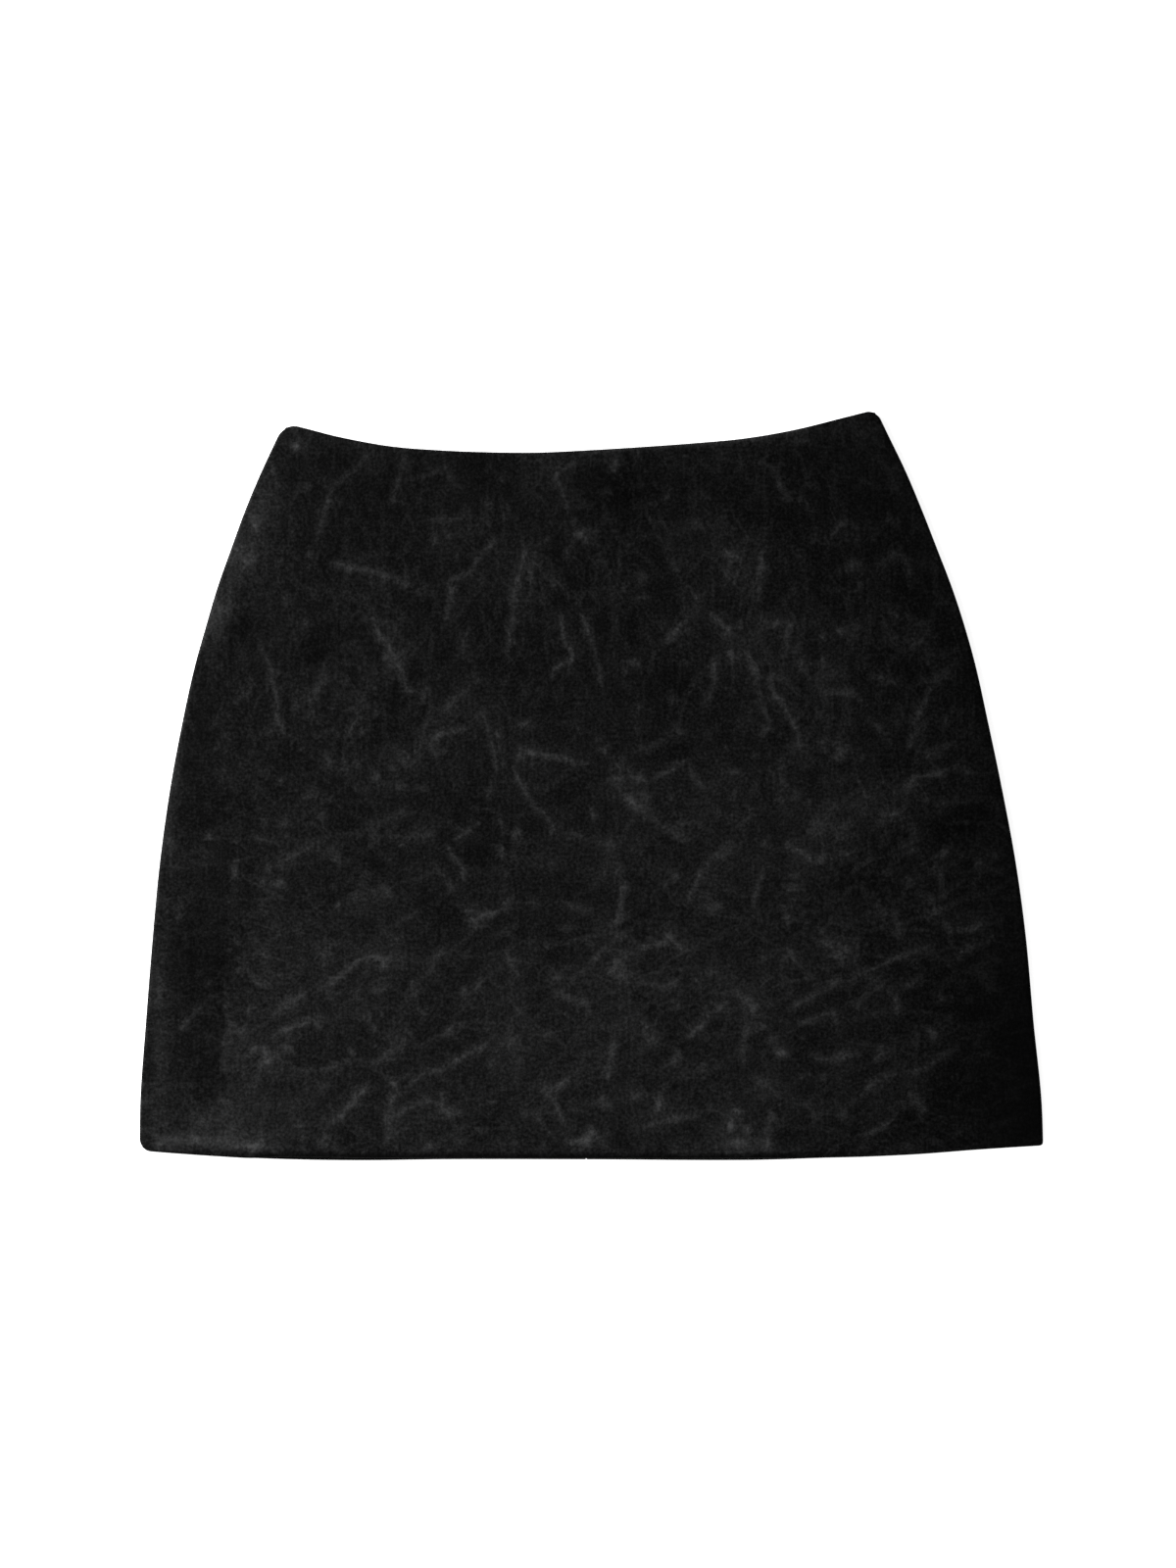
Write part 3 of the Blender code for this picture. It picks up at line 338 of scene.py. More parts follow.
    (0.5, 2.9, [(-187.6, -152.4), (-180.6, -154.7), (-173.7, -155.8)]),
    (0.8, 2.9, [(-173.7, -167.4), (-167.9, -168.6), (-162.6, -168), (-157.4, -169.2), (-152.8, -165.7), (-145.8, -162.8)]),
    (0.7, 2.9, [(-144.7, -155.8), (-138.9, -159.3)]),
    (1, 3.5, [(-130.2, -173.2), (-135.4, -180.2), (-141.2, -187.2), (-145.8, -191.8), (-150.5, -197.6), (-156.3, -199.9)]),
    (0.7, 2.9, [(-141.2, -187.2), (-137.7, -190.6)]),
    (0.8, 2.9, [(-156.3, -203.4), (-158.6, -209.2), (-160.9, -216.2)]),
    (0.7, 2.9, [(-158.6, -194.1), (-157.4, -198.8)]),
    (0.5, 4.1, [(-160.9, -180.2), (-156.3, -175.6)]),
    (0.5, 2.9, [(-169, -176.7), (-166.7, -182.5)]),
    (0.7, 4.6, [(-171.3, -196.4), (-173.7, -203.4)]),
    (0.6, 4.1, [(-216.6, -147.7), (-217.7, -166.3), (-215.4, -172.1)]),
    (0.9, 4.1, [(-200.3, -210.4), (-201.5, -217.3)]),
    (0.6, 2.9, [(-237.5, -206.9), (-230.5, -209.2)]),
    (0.5, 2.9, [(-232.2, -195.9), (-228.2, -198.8), (-231.1, -201.7)]),
    (1, 2.9, [(-60.6, -150), (-64, -153.5), (-69.8, -156.4), (-76.8, -160.5), (-83.8, -165.1), (-91.9, -168.6), (-98.8, -169.8), (-104.6, -174.4), (-110.4, -179)]),
    (1, 3.5, [(-122, -174.4), (-117.4, -176.1), (-113.3, -177.9)]),
    (0.9, 4.1, [(-115.1, -180.2), (-118.6, -187.2), (-119.7, -196.4), (-120.3, -203.4), (-120.9, -212.7)]),
    (0.9, 2.9, [(-118.6, -196.4), (-111.6, -193), (-107, -189.5), (-102.3, -187.7), (-96.5, -186), (-93, -181.4)]),
    (0.9, 4.1, [(-93, -180.8), (-88.4, -183.7), (-87.2, -189.5), (-84.9, -193), (-80.3, -191.8), (-78, -196.4)]),
    (0.7, 3.5, [(-110.4, -144.2), (-111.6, -151.2), (-117.4, -155.8), (-122, -159.3), (-126.7, -163.4), (-130.2, -166.3)]),
    (0.7, 3.5, [(-131.3, -140.8), (-127.8, -146.6)]),
    (0.6, 4.1, [(-132.5, -121), (-120.9, -121)]),
    (0.7, 4.1, [(-106.4, -121), (-102.3, -125.7)]),
    (1, 2.9, [(-75.6, -117.6), (-74.5, -124.5)]),
    (0.6, 2.9, [(-69.8, -129.2), (-69.3, -132.6)]),
    (0.7, 3.5, [(-86.1, -141.9), (-81.4, -148.9)]),
    (0.8, 4.1, [(-51.3, -153.5), (-46.6, -152.4), (-43.2, -146.6)]),
    (0.7, 2.9, [(-54.8, -151.2), (-51.3, -153.5)]),
    (0.6, 2.9, [(-44.3, -161.6), (-39.7, -162.2)]),
    (0.7, 2.9, [(-58.2, -186), (-56.5, -188.3)]),
    (0.8, 4.1, [(-25.8, -121), (-18.8, -122.2), (-11.8, -125.7), (-4.9, -128), (-1.4, -132.6)]),
    (0.9, 3.5, [(-13, -170.9), (-16.5, -175), (-21.1, -177.9), (-26.9, -179)]),
    (0.9, 2.9, [(-29.2, -175.6), (-26.9, -181.4), (-22.3, -186), (-20, -191.8), (-18.2, -195.3), (-17.6, -201.1)]),
    (1, 4.1, [(-15.3, -205.7), (-11.8, -210.4), (-7.2, -209.2), (-2.6, -209.2), (0.9, -204.6), (-1.4, -198.8)]),
    (0.8, 2.9, [(-1.4, -203.4), (-2.6, -216.2)]),
    (0.6, 2.3, [(-36.2, -191.8), (-31.6, -196.4), (-25.8, -203.4), (-21.1, -208)]),
    (0.7, 4.6, [(-101.2, -213.8), (-93, -213.8), (-90.7, -216.2)]),
    (0.6, 4.1, [(-82.6, -210.4), (-72.2, -209.2)]),
    (0.5, 2.9, [(-69.8, -202.2), (-62.9, -205.7)]),
    (0.9, 4.1, [(14.3, -147.7), (12.5, -157), (11.4, -164), (9.6, -170.9), (8.5, -175.6)]),
    (0.7, 3.5, [(3.8, -187.2), (9.6, -189.5), (14.3, -190.6)]),
    (1, 4.6, [(42.1, -181.4), (40.9, -184.8), (39.8, -190.6), (37.5, -194.1)]),
    (0.8, 2.9, [(64.1, -197.6), (59.5, -195.3), (53.7, -196.4), (47.9, -197.6), (40.9, -198.8), (35.1, -200.5), (29.3, -203.4)]),
    (0.7, 2.9, [(29.3, -137.3), (32.8, -145.4), (37.5, -151.2)]),
    (0.7, 4.1, [(53.7, -154.7), (50.2, -160.5), (47.9, -168.6)]),
    (0.9, 3.5, [(82.7, -123.4), (78.1, -129.2), (73.4, -133.8), (68.8, -137.3), (66.5, -140.8), (61.8, -144.2), (58.3, -147.7), (53.7, -148.9)]),
    (0.9, 3.5, [(82.7, -123.4), (88.5, -124.5), (94.3, -128), (96.6, -132.6), (94.3, -136.1)]),
    (0.9, 3.5, [(93.1, -138.4), (92, -146.6), (89.7, -154.7), (90.2, -164), (91.4, -167.4)]),
    (0.6, 2.9, [(100.1, -128), (105.9, -131.5)]),
    (0.6, 2.9, [(98.9, -139.6), (103.6, -143.1)]),
    (0.9, 3.5, [(117.5, -133.8), (122.1, -129.2), (129.1, -125.7), (137.2, -121), (144.2, -117), (151.1, -113.5)]),
    (0.9, 3.5, [(121, -140.8), (126.8, -139.6), (132.6, -137.9), (137.2, -135), (141.9, -131.5)]),
    (0.9, 3.5, [(103.6, -154.7), (105.9, -151.2), (110.5, -147.7), (113.4, -147.7)]),
    (1, 4.6, [(108.2, -152.4), (111.7, -158.2), (117.5, -157)]),
    (0.6, 2.9, [(121, -143.1), (116.3, -145.4)]),
    (0.7, 3.5, [(126.8, -155.8), (132.6, -160.5), (138.4, -162.2), (143, -162.8), (147.1, -159.3), (154, -158.2), (162.2, -158.2)]),
    (0.7, 4.6, [(134.9, -169.8), (139.5, -174.4)]),
    (0.7, 4.1, [(87.3, -187.2), (87.3, -196.4)]),
    (0.7, 2.9, [(68.8, -187.2), (70.5, -194.1)]),
    (0.9, 3.5, [(89.7, -203.4), (95.5, -205.7)]),
    (0.9, 4.6, [(85, -208), (85, -213.8)]),
    (0.8, 4.6, [(107.1, -189.5), (105.9, -198.8), (104.7, -208), (103.6, -217.3)]),
    (0.6, 2.9, [(46.7, -213.8), (50.2, -217.3)]),
    (0.7, 5.2, [(43.3, -128), (54.9, -126.8)]),
    (0.5, 2.9, [(13.1, -118.7), (11.9, -124.5)]),
    (0.8, 4.1, [(140.1, -131.5), (143.6, -135), (145.9, -141.9)]),
    (0.8, 4.1, [(179.6, -119.9), (180.7, -126.8), (180.7, -133.8), (181.3, -138.4)]),
    (0.7, 3.5, [(206.2, -123.4), (206.8, -130.3)]),
    (0.6, 3.5, [(213.8, -135), (209.7, -139.6)]),
    (0.6, 4.6, [(190, -150), (194.6, -154.7)]),
    (0.7, 4.6, [(173.8, -153.5), (169.1, -160.5), (165.6, -162.8)]),
    (0.9, 3.5, [(219, -153.5), (215.5, -155.8), (209.7, -158.7), (205.1, -161.6), (201.6, -164), (195.8, -167.4), (191.2, -168.6), (185.4, -169.8)]),
    (0.45, 3.5, [(181.9, -168), (176.1, -170.9), (170.3, -174.4), (165.6, -176.7), (162.2, -180.2), (158.7, -184.8), (155.2, -187.2), (149.4, -190.6)]),
    (0.7, 4.6, [(147.1, -187.2), (149.4, -191.8), (147.1, -201.1)]),
    (1, 4.1, [(186.5, -180.8), (191.2, -183.7), (193.5, -188.3), (197, -193), (200.4, -195.3)]),
    (0.8, 2.9, [(187.7, -187.2), (180.7, -187.2)]),
    (0.9, 3.5, [(179.6, -196.4), (174.9, -199.9), (170.3, -203.4), (164.5, -205.1), (159.8, -209.2)]),
    (0.5, 2.9, [(198.1, -210.4), (203.9, -209.2)]),
    (0.5, 4.6, [(157.5, -212.7), (165.6, -216.2)]),
    (0.4, 3.5, [(224.8, -189.5), (226, -194.1)]),
    (0.5, 2.9, [(215.5, -204.6), (219, -206.9)]),
    (0.7, 3.5, [(168, -107.1), (180.7, -101.9), (195.2, -96.1), (206.8, -91.5)]),
    (0.6, 2.9, [(245.7, -77), (241.6, -80.4), (237, -82.8)]),
    (0.5, 3.5, [(-257.2, -106), (-255.4, -117.6), (-256, -132.1)]),
    (0.6, 4.1, [(-168.4, 180), (-166.7, 173.6)]),
    (0.7, 3.5, [(-196.9, 160.3), (-198, 155), (-200.3, 151.6)]),
    (0.7, 4.1, [(-209, 144.6), (-210.8, 133)]),
    (0.5, 2.9, [(-188.7, 134.2), (-181.8, 134.7)]),
    (0.6, 3.5, [(-167.3, 140.5), (-166.1, 133)]),
    (0.7, 3.5, [(-180, 117.3), (-180.6, 110.4), (-182.4, 102.8)]),
    (0.7, 2.9, [(-131.9, 124.3), (-129.6, 119.7), (-130.2, 115.6)]),
    (0.4, 2.3, [(-132.5, 115), (-133.1, 104.6)]),
    (0.4, 2.9, [(-144.1, 115), (-140.6, 106.9)]),
    (0.6, 2.9, [(-103.5, 117.3), (-100.6, 111.5)]),
    (0.5, 2.9, [(-98.8, 122), (-98.3, 115)]),
    (0.5, 2.3, [(-111, 131.3), (-109.3, 123.1)]),
    (0.4, 2.3, [(-194.5, 181.1), (-189.9, 186.4), (-185.3, 189.3)]),
    (0.5, 3.5, [(-158, 160.3), (-160.3, 154.5), (-158.6, 147.5)]),
    (0.5, 4.1, [(-171.9, 90.7), (-169.6, 95.3), (-166.1, 98.8)]),
    (0.4, 2.9, [(-189.9, 117.3), (-185.8, 123.1), (-184.1, 128.9)]),
    (0.5, 2.9, [(-118.6, 99.9), (-115.7, 94.1), (-116.8, 87.2)]),
    (0.5, 3.5, [(-156.8, 74.4), (-158.6, 65.1)]),
    (0.4, 2.9, [(-145.8, 74.4), (-140.6, 69.8)]),
    (0.4, 2.9, [(-165.5, 117.3), (-163.8, 108.1)]),
    (0.5, 2.9, [(-162.6, 109.2), (-159.7, 111.5)]),
    (0.6, 2.9, [(-91.3, 149.2), (-94.2, 140.5)]),
    (0.4, 2.3, [(-205, 130.7), (-198, 134.2), (-192.2, 132.4)]),
    (0.4, 2.9, [(-176, 172.4), (-178.3, 163.7)]),
    (0.4, 3.5, [(-149.9, 123.1), (-145.8, 117.3), (-148.7, 111.5)]),
    (0.4, 3.5, [(-53, 186.9), (-51.9, 178.2)]),
    (0.5, 2.9, [(-65.2, 168.4), (-60.6, 164.9), (-57.7, 160.3)]),
    (0.4, 2.9, [(-57.1, 156.8), (-51.3, 159.1), (-44.3, 161.4)]),
    (0.6, 3.5, [(-86.1, 145.8), (-82, 148.7)]),
    (0.4, 2.9, [(-72.7, 139.4), (-73.9, 133.6)]),
    (0.5, 2.9, [(-25.2, 149.2), (-26.9, 142.9)]),
    (0.5, 3.5, [(-11.8, 142.3), (-13.6, 134.7), (-11.3, 130.1)]),
    (0.5, 3.5, [(-11.8, 117.3), (-8.9, 110.4), (-6.6, 104.6)]),
    (0.4, 2.9, [(-6.6, 162.6), (-4.3, 170.7)]),
    (0.5, 2.9, [(-11.8, 157.9), (-7.8, 155)]),
    (0.5, 2.3, [(8.5, 142.9), (10.8, 140.5)]),
    (0.5, 2.9, [(14.3, 102.8), (15.4, 91.2), (14.3, 85.4)]),
    (0.4, 2.9, [(16.6, 110.4), (20.1, 118.5), (24.1, 123.1)]),
    (0.4, 3.5, [(24.1, 127.8), (31.7, 124.3), (37.5, 123.1)]),
    (0.4, 2.9, [(32.8, 157.9), (39.8, 156.2), (45.6, 157.9)]),
    (0.4, 2.9, [(21.2, 175.3), (28.2, 179.4), (34, 177.1)]),
    (0.5, 4.1, [(83.9, 135.9), (81.5, 128.9), (80.4, 122)]),
    (0.5, 2.9, [(65.3, 116.2), (63, 109.2), (58.9, 103.4)]),
    (0.4, 2.9, [(29.9, 91.2), (35.1, 87.2), (38.6, 80.2)]),
    (0.6, 3.5, [(26.4, 74.4), (23, 70.9)]),
    (0.6, 2.9, [(22.4, 69.8), (18.9, 66.3)]),
    (0.4, 2.3, [(-29.2, 134.7), (-32.1, 128.9)]),
    (0.5, 2.9, [(-24, 125.5), (-21.7, 117.3)]),
    (0.4, 2.3, [(9.6, 128.9), (8.5, 119.7)]),
    (0.4, 2.9, [(-36.8, 94.1), (-34.5, 101.1), (-36.8, 105.7)]),
    (0.4, 2.9, [(42.1, 95.3), (45.6, 98.8)]),
    (0.4, 2.9, [(36.3, 75.6), (34, 65.1)]),
    (0.7, 3.5, [(98.9, 192.2), (101.8, 189.8)]),
    (0.8, 4.6, [(105.9, 188.1), (110, 185.2)]),
    (0.4, 2.9, [(118.7, 199.7), (122.7, 197.4)]),
    (0.4, 2.9, [(160.4, 184.6), (162.7, 180), (166.2, 174.2)]),
    (0.4, 2.9, [(155.8, 178.8), (160.4, 176.5)]),
    (0.4, 3.5, [(122.7, 141.7), (124.5, 133.6)]),
    (0.6, 3.5, [(130.3, 147.5), (132, 143.4)]),
    (0.4, 2.9, [(115.2, 152.1), (119.8, 147.5)]),
    (0.5, 2.9, [(130.3, 163.2), (132, 160.8)]),
    (0.4, 2.9, [(86.2, 170.7), (92, 168.4), (95.5, 174.2)]),
    (0.5, 4.1, [(180.7, 154.5), (179, 157.9), (175.5, 155.6)]),
    (0.4, 2.9, [(163.9, 145.2), (169.1, 149.2)]),
    (0.6, 4.1, [(152.3, 131.3), (155.8, 127.8)]),
    (0.4, 2.9, [(90.8, 149.2), (89.1, 142.9)]),
    (0.4, 2.9, [(195.2, 117.3), (197.5, 111.5)]),
    (0.5, 3.5, [(172, 96.5), (179, 88.3), (182.5, 82.5)]),
    (0.4, 3.5, [(189.4, 96.5), (198.1, 96.5), (206.8, 98.8)]),
    (0.5, 2.9, [(187.1, 82.5), (184.8, 77.9)]),
    (0.4, 2.9, [(150, 89.5), (144.2, 93)]),
    (0.5, 2.9, [(140.7, 77.9), (136.1, 73.3), (140.1, 68.6)]),
    (0.6, 3.5, [(114, 88.3), (115.8, 83.7), (114.6, 77.9)]),
    (0.4, 2.9, [(211.5, 105.7), (215.5, 102.3)]),
    (0.4, 2.3, [(125.6, 77.9), (123.3, 65.1)]),
    (0.5, 2.9, [(216.1, 76.7), (213.8, 69.8)]),
    (0.4, 2.9, [(168, 75.6), (160.4, 77.9)]),
    (0.6, 4.6, [(-170.8, 45.4), (-167.3, 40.8), (-169, 36.1)]),
    (0.4, 2.9, [(-176, 52.4), (-172.5, 46.6)]),
    (0.5, 2.9, [(-130.2, 50.6), (-133.1, 44.3)]),
    (0.5, 4.1, [(-162.1, 18.7), (-156.3, 15.3), (-157.4, 8.3)]),
    (0.6, 4.1, [(-147.6, 17.6), (-144.7, 12.9), (-147, 8.3)]),
    (0.5, 3.5, [(-163.2, 2.5), (-166.1, -3.3), (-167.9, -9.1)]),
    (0.5, 2.9, [(-141.2, -2.1), (-134.2, -2.1), (-128.4, 1.3)]),
    (0.6, 4.1, [(-160.9, -14.9), (-162.6, -20.7)]),
    (0.4, 2.9, [(-152.8, -13.7), (-149.3, -17.2)]),
    (0.4, 2.9, [(-194.5, -11.4), (-198, -14.9)]),
    (0.6, 3.5, [(-115.1, 17.6), (-108.7, 14.1), (-104.1, 15.3)]),
    (0.5, 4.1, [(-104.1, 1.3), (-101.7, -4.5)]),
    (0.4, 2.9, [(-137.7, 29.2), (-133.1, 33.8)]),
    (0.4, 2.9, [(-124.9, 9.5), (-127.3, 6)]),
    (0.7, 4.1, [(-193.4, -48), (-188.7, -49.1)]),
    (0.9, 5.2, [(-196.9, -55.5), (-192.2, -57.8)]),
    (1, 5.2, [(-188.7, -58.4), (-184.1, -57.8), (-179.5, -55.5)]),
    (0.5, 3.5, [(-124.9, -57.8), (-120.3, -62.5), (-115.7, -63.6)]),
    (0.5, 2.9, [(-115.7, -36.9), (-112.2, -33.5), (-116.8, -28.8)]),
    (0.5, 2.9, [(-122.6, -40.4), (-118, -45.1)]),
    (0.4, 3.5, [(-231.1, -9.1), (-225.9, -13.7), (-221.2, -17.2)]),
    (0.4, 2.9, [(-213.1, -65.4), (-215.4, -71.2)]),
    (0.5, 2.9, [(-194.5, -65.4), (-193.4, -69.4)]),
    (0.4, 2.9, [(-251.4, -45.1), (-244.4, -48.5), (-239.8, -47.4)]),
    (0.4, 2.9, [(-222.4, 39), (-217.7, 33.2)]),
    (0.4, 2.9, [(-198, 24.5), (-201.5, 18.7), (-200.3, 14.1)]),
    (0.5, 2.9, [(-185.8, 10), (-189.3, 12.9)]),
    (0.4, 2.9, [(-131.9, -5.6), (-129.6, -13.7)]),
    (0.5, 2.9, [(-101.7, 30.3), (-100.6, 35)]),
    (0.4, 2.9, [(-216.6, 7.1), (-218.9, 11.8)]),
    (0.7, 3.5, [(-58.2, 4.2), (-60, -3.3), (-63.5, -9.1)]),
    (0.5, 2.9, [(-65.8, -11.4), (-69.3, -16.1)]),
    (0.6, 2.3, [(-68.1, -20.7), (-65.8, -23)]),
    (0.6, 4.6, [(-39.1, -24.8), (-44.9, -28.8), (-49.5, -28.8)]),
    (0.5, 3.5, [(-31, 2.5), (-33.9, -4.5)]),
    (0.5, 3.5, [(-57.1, -38.1), (-53, -34.6)]),
    (0.6, 4.1, [(-25.2, -27.7), (-21.7, -24.8)]),
    (0.5, 3.5, [(21.2, 7.1), (16.6, 3.7), (10.8, 6)]),
    (0.6, 2.9, [(17.7, 17.6), (21.2, 15.8)]),
    (0.4, 3.5, [(29.9, 18.7), (35.7, 21.6), (44.4, 27.4)]),
    (0.5, 2.9, [(50.2, 30.3), (54.3, 32.7)]),
    (0.5, 4.6, [(44.4, 56.4), (47.9, 52.4), (46.7, 46.6)]),
    (0.5, 3.5, [(29.9, 50.6), (27, 44.8)]),
    (0.4, 4.1, [(24.7, 36.1), (29.9, 31.5)]),
    (0.5, 2.9, [(-8.9, 50.1), (-6.6, 46.6)]),
    (0.4, 3.5, [(-3.1, -13.2), (1.5, -16.1), (0.3, -21.9)]),
    (0.5, 2.9, [(37.5, -3.3), (32.8, -5.6), (27, -3.3)]),
    (0.5, 2.9, [(43.3, -5.6), (50.2, -6.8)]),
    (0.4, 2.9, [(29.9, -17.2), (35.1, -20.7)]),
    (0.5, 3.5, [(0.9, -31.1), (8.5, -34.6), (10.8, -40.4)]),
    (0.4, 3.5, [(21.2, -34.6), (27, -39.3), (30.5, -34.6)]),
    (0.4, 3.5, [(-28.1, -43.9), (-21.7, -46.2), (-17.1, -50.9)]),
    (0.5, 3.5, [(45.6, -50.9), (50.2, -53.8), (46.7, -57.8)]),
    (0.4, 2.9, [(12.5, -53.8), (16.6, -49.7), (21.2, -48.5)]),
    (0.5, 3.5, [(78.1, -68.3), (72.3, -72.9), (69.9, -77.5)]),
    (0.6, 3.5, [(-54.2, -71.2), (-47.2, -67.1), (-42.6, -63.6)]),
    (0.5, 2.9, [(-72.7, -71.2), (-69.3, -74.1), (-65.8, -77)]),
    (0.5, 2.9, [(78.1, 21.1), (82.1, 24.5)]),
    (0.4, 2.9, [(67.6, 33.2), (72.3, 27.4)]),
    (0.5, 3.5, [(87.9, 1.3), (83.9, -5.6), (79.2, -10.3)]),
    (0.6, 4.1, [(85, 11.2), (82.7, 7.1)]),
    (0.5, 2.9, [(71.7, -16.1), (76.3, -19)]),
    (0.4, 2.9, [(-32.1, 59.3), (-27.5, 52.4)]),
    (0.4, 2.9, [(-57.1, 50.6), (-53, 44.8)]),
    (0.4, 2.9, [(-36.8, 33.2), (-32.1, 38.5)]),
    (0.5, 2.9, [(125.6, 17.6), (128.5, 11.8), (131.4, 8.3)]),
    (0.6, 4.6, [(140.1, 29.2), (136.1, 23.4), (139.5, 18.7)]),
    (0.4, 2.9, [(136.1, 44.8), (133.7, 39)]),
    (0.5, 2.9, [(153.5, 48.9), (152.3, 39), (154, 30.3)]),
    (0.5, 4.1, [(206.8, 41.9), (210.3, 38.5), (213.8, 35)]),
    (0.5, 3.5, [(112.9, 2.5), (115.8, -2.1)]),
    (0.6, 4.1, [(123.3, 0.2), (121, -5.6), (125.6, -10.3)]),
    (0.4, 3.5, [(136.1, -7.4), (143, -11.4), (150, -14.9)]),
    (0.5, 2.9, [(162.7, -4.5), (160.4, -9.1), (155.8, -12.6)]),
    (0.5, 4.1, [(215.5, 15.8), (220.2, 11.8)]),
    (0.4, 2.9, [(228.3, 1.3), (230, -5.6)]),
    (0.4, 3.5, [(224.2, -19), (220.7, -24.8)]),
    (0.6, 4.1, [(189.4, -53.8), (186.5, -58.4)]),
    (0.5, 4.1, [(179, -11.4), (182.5, -17.2)]),
    (0.5, 3.5, [(153.5, -19), (148.8, -24.8), (145.9, -30.6)]),
    (0.5, 3.5, [(143, -65.4), (146.5, -61.3)]),
    (0.5, 4.1, [(162.7, -61.3), (160.4, -65.9)]),
    (0.4, 2.9, [(102.4, 12.9), (107.1, 7.1), (110.5, 1.3)]),
    (0.4, 2.9, [(95.5, 21.6), (97.8, 15.8)]),
    (0.5, 2.9, [(105.3, -34.6), (108.2, -38.1)]),
    (0.4, 2.9, [(154.6, -45.1), (159.3, -49.7)]),
    (0.5, 3.5, [(238.1, -38.1), (240.5, -43.9)]),
    (0.4, 2.9, [(174.9, 15.8), (180.7, 18.7)]),
    (0.4, 2.9, [(195.2, -4.5), (201, -10.3)]),
    (0.5, 2.9, [(87.9, 33.2), (92, 29.2)]),
    (0.4, 2.9, [(88.5, -7.4), (93.7, -13.2), (96.6, -19)]),
    (0.5, 2.9, [(101.3, -14.9), (104.7, -11.4)]),
    (0.5, 3.5, [(-160.9, -94.4), (-164.4, -101.9)]),
    (0.7, 4.6, [(-155.1, -96.1), (-158.6, -100.7), (-151.6, -98.4)]),
    (0.5, 2.9, [(-176, -88.6), (-173.7, -85.7)]),
    (0.5, 2.9, [(-196.3, -106), (-192.2, -101.9)]),
    (0.4, 2.9, [(-202.1, -114.7), (-194.5, -117), (-187.6, -115.8)]),
    (0.4, 2.9, [(-228.2, -108.9), (-236.3, -111.8)]),
    (0.5, 2.9, [(-229.3, -115.8), (-223.5, -117)]),
    (0.5, 3.5, [(-203.8, -130.9), (-200.3, -134.4)]),
    (0.5, 2.9, [(-209, -143.7), (-206.1, -146)]),
    (0.9, 4.6, [(-126.7, -104.8), (-118, -105.4)]),
    (0.5, 3.5, [(-105.2, -113.5), (-102.9, -119.3), (-100.6, -123.4)]),
    (0.5, 2.9, [(-132.5, -132.1), (-129.6, -139)]),
    (0.6, 4.1, [(-193.4, -164), (-187.6, -164)]),
    (0.4, 3.5, [(-181.8, -161.1), (-176, -164.5)]),
    (0.5, 2.9, [(-147, -164), (-143.5, -161.1)]),
    (0.4, 3.5, [(-161.5, -183.1), (-157.4, -178.5), (-152.8, -175)]),
    (0.4, 2.9, [(-205, -178.5), (-198, -176.1)]),
    (0.4, 3.5, [(-225.3, -190.1), (-218.9, -187.7), (-210.8, -186.6)]),
    (0.5, 2.9, [(-210.8, -198.8), (-213.1, -204.6)]),
    (0.4, 2.9, [(-257.2, -184.3), (-251.4, -179.6)]),
    (0.4, 3.5, [(-100.6, -132.1), (-97.1, -139)]),
    (0.5, 2.9, [(-120.9, -149.5), (-116.8, -144.8)]),
    (0.4, 2.9, [(-109.3, -79.9), (-103.5, -75.2)]),
    (0.6, 3.5, [(-74.5, -77), (-70.4, -81)]),
    (0.5, 3.5, [(-66.9, -92.6), (-63.5, -94.9)]),
    (0.4, 3.5, [(-77.4, -101.9), (-72.7, -99.6)]),
    (0.6, 4.1, [(-64.6, -110), (-66.9, -117.6), (-63.5, -121.6)]),
    (0.5, 3.5, [(-45.5, -114.7), (-48.4, -119.3)]),
    (0.5, 3.5, [(-43.7, -126.3), (-40.3, -132.1), (-44.9, -135.5)]),
    (0.4, 3.5, [(-36.8, -88.6), (-32.1, -92.6)]),
    (0.5, 3.5, [(-24, -88.6), (-26.3, -94.4), (-22.9, -97.3)]),
    (0.6, 4.1, [(-17.1, -82.8), (-13.6, -86.8)]),
    (0.5, 2.9, [(0.3, -101.3), (5, -101.9)]),
    (0.4, 2.9, [(-4.9, -90.3), (0.3, -94.4), (3.8, -98.4)]),
    (0.6, 3.5, [(44.4, -116.4), (51.4, -118.1)]),
    (0.5, 2.9, [(58.9, -115.8), (64.7, -113.5)]),
    (0.4, 2.9, [(29.9, -121.6), (37.5, -125.1)]),
    (0.5, 4.1, [(-28.1, -143.7), (-22.3, -148.3)]),
    (0.5, 3.5, [(35.7, -143.7), (39.8, -148.3), (37.5, -152.9)]),
    (0.6, 4.1, [(-80.3, -140.8), (-76.2, -144.8)]),
    (0.5, 4.6, [(-61.7, -161.1), (-56.5, -166.9)]),
    (0.4, 3.5, [(-16.5, -164), (-10.7, -168)]),
    (0.5, 4.1, [(67.6, -164), (65.3, -169.8)]),
    (0.5, 3.5, [(25.9, -181.4), (29.9, -184.3)]),
    (0.6, 4.1, [(5, -183.1), (8.5, -186.6)]),
    (0.4, 3.5, [(-36.8, -190.1), (-40.3, -198.8)]),
    (0.8, 4.6, [(-4.3, -210.9), (1.5, -207.5)]),
    (1, 5.2, [(80.4, -200.5), (85, -201.7)]),
    (0.5, 2.9, [(-86.1, -190.1), (-82, -192.4)]),
    (0.4, 2.9, [(-72.7, -172.7), (-68.1, -176.1)]),
    (0.6, 4.1, [(114, -97.3), (117.5, -103.1)]),
    (0.9, 5.2, [(140.1, -97.3), (146.5, -100.2), (152.3, -96.1)]),
    (0.6, 4.1, [(145.9, -106), (150, -103.1)]),
    (0.5, 3.5, [(101.3, -100.2), (103.6, -104.2)]),
    (0.5, 3.5, [(180.7, -82.8), (183.6, -88.6)]),
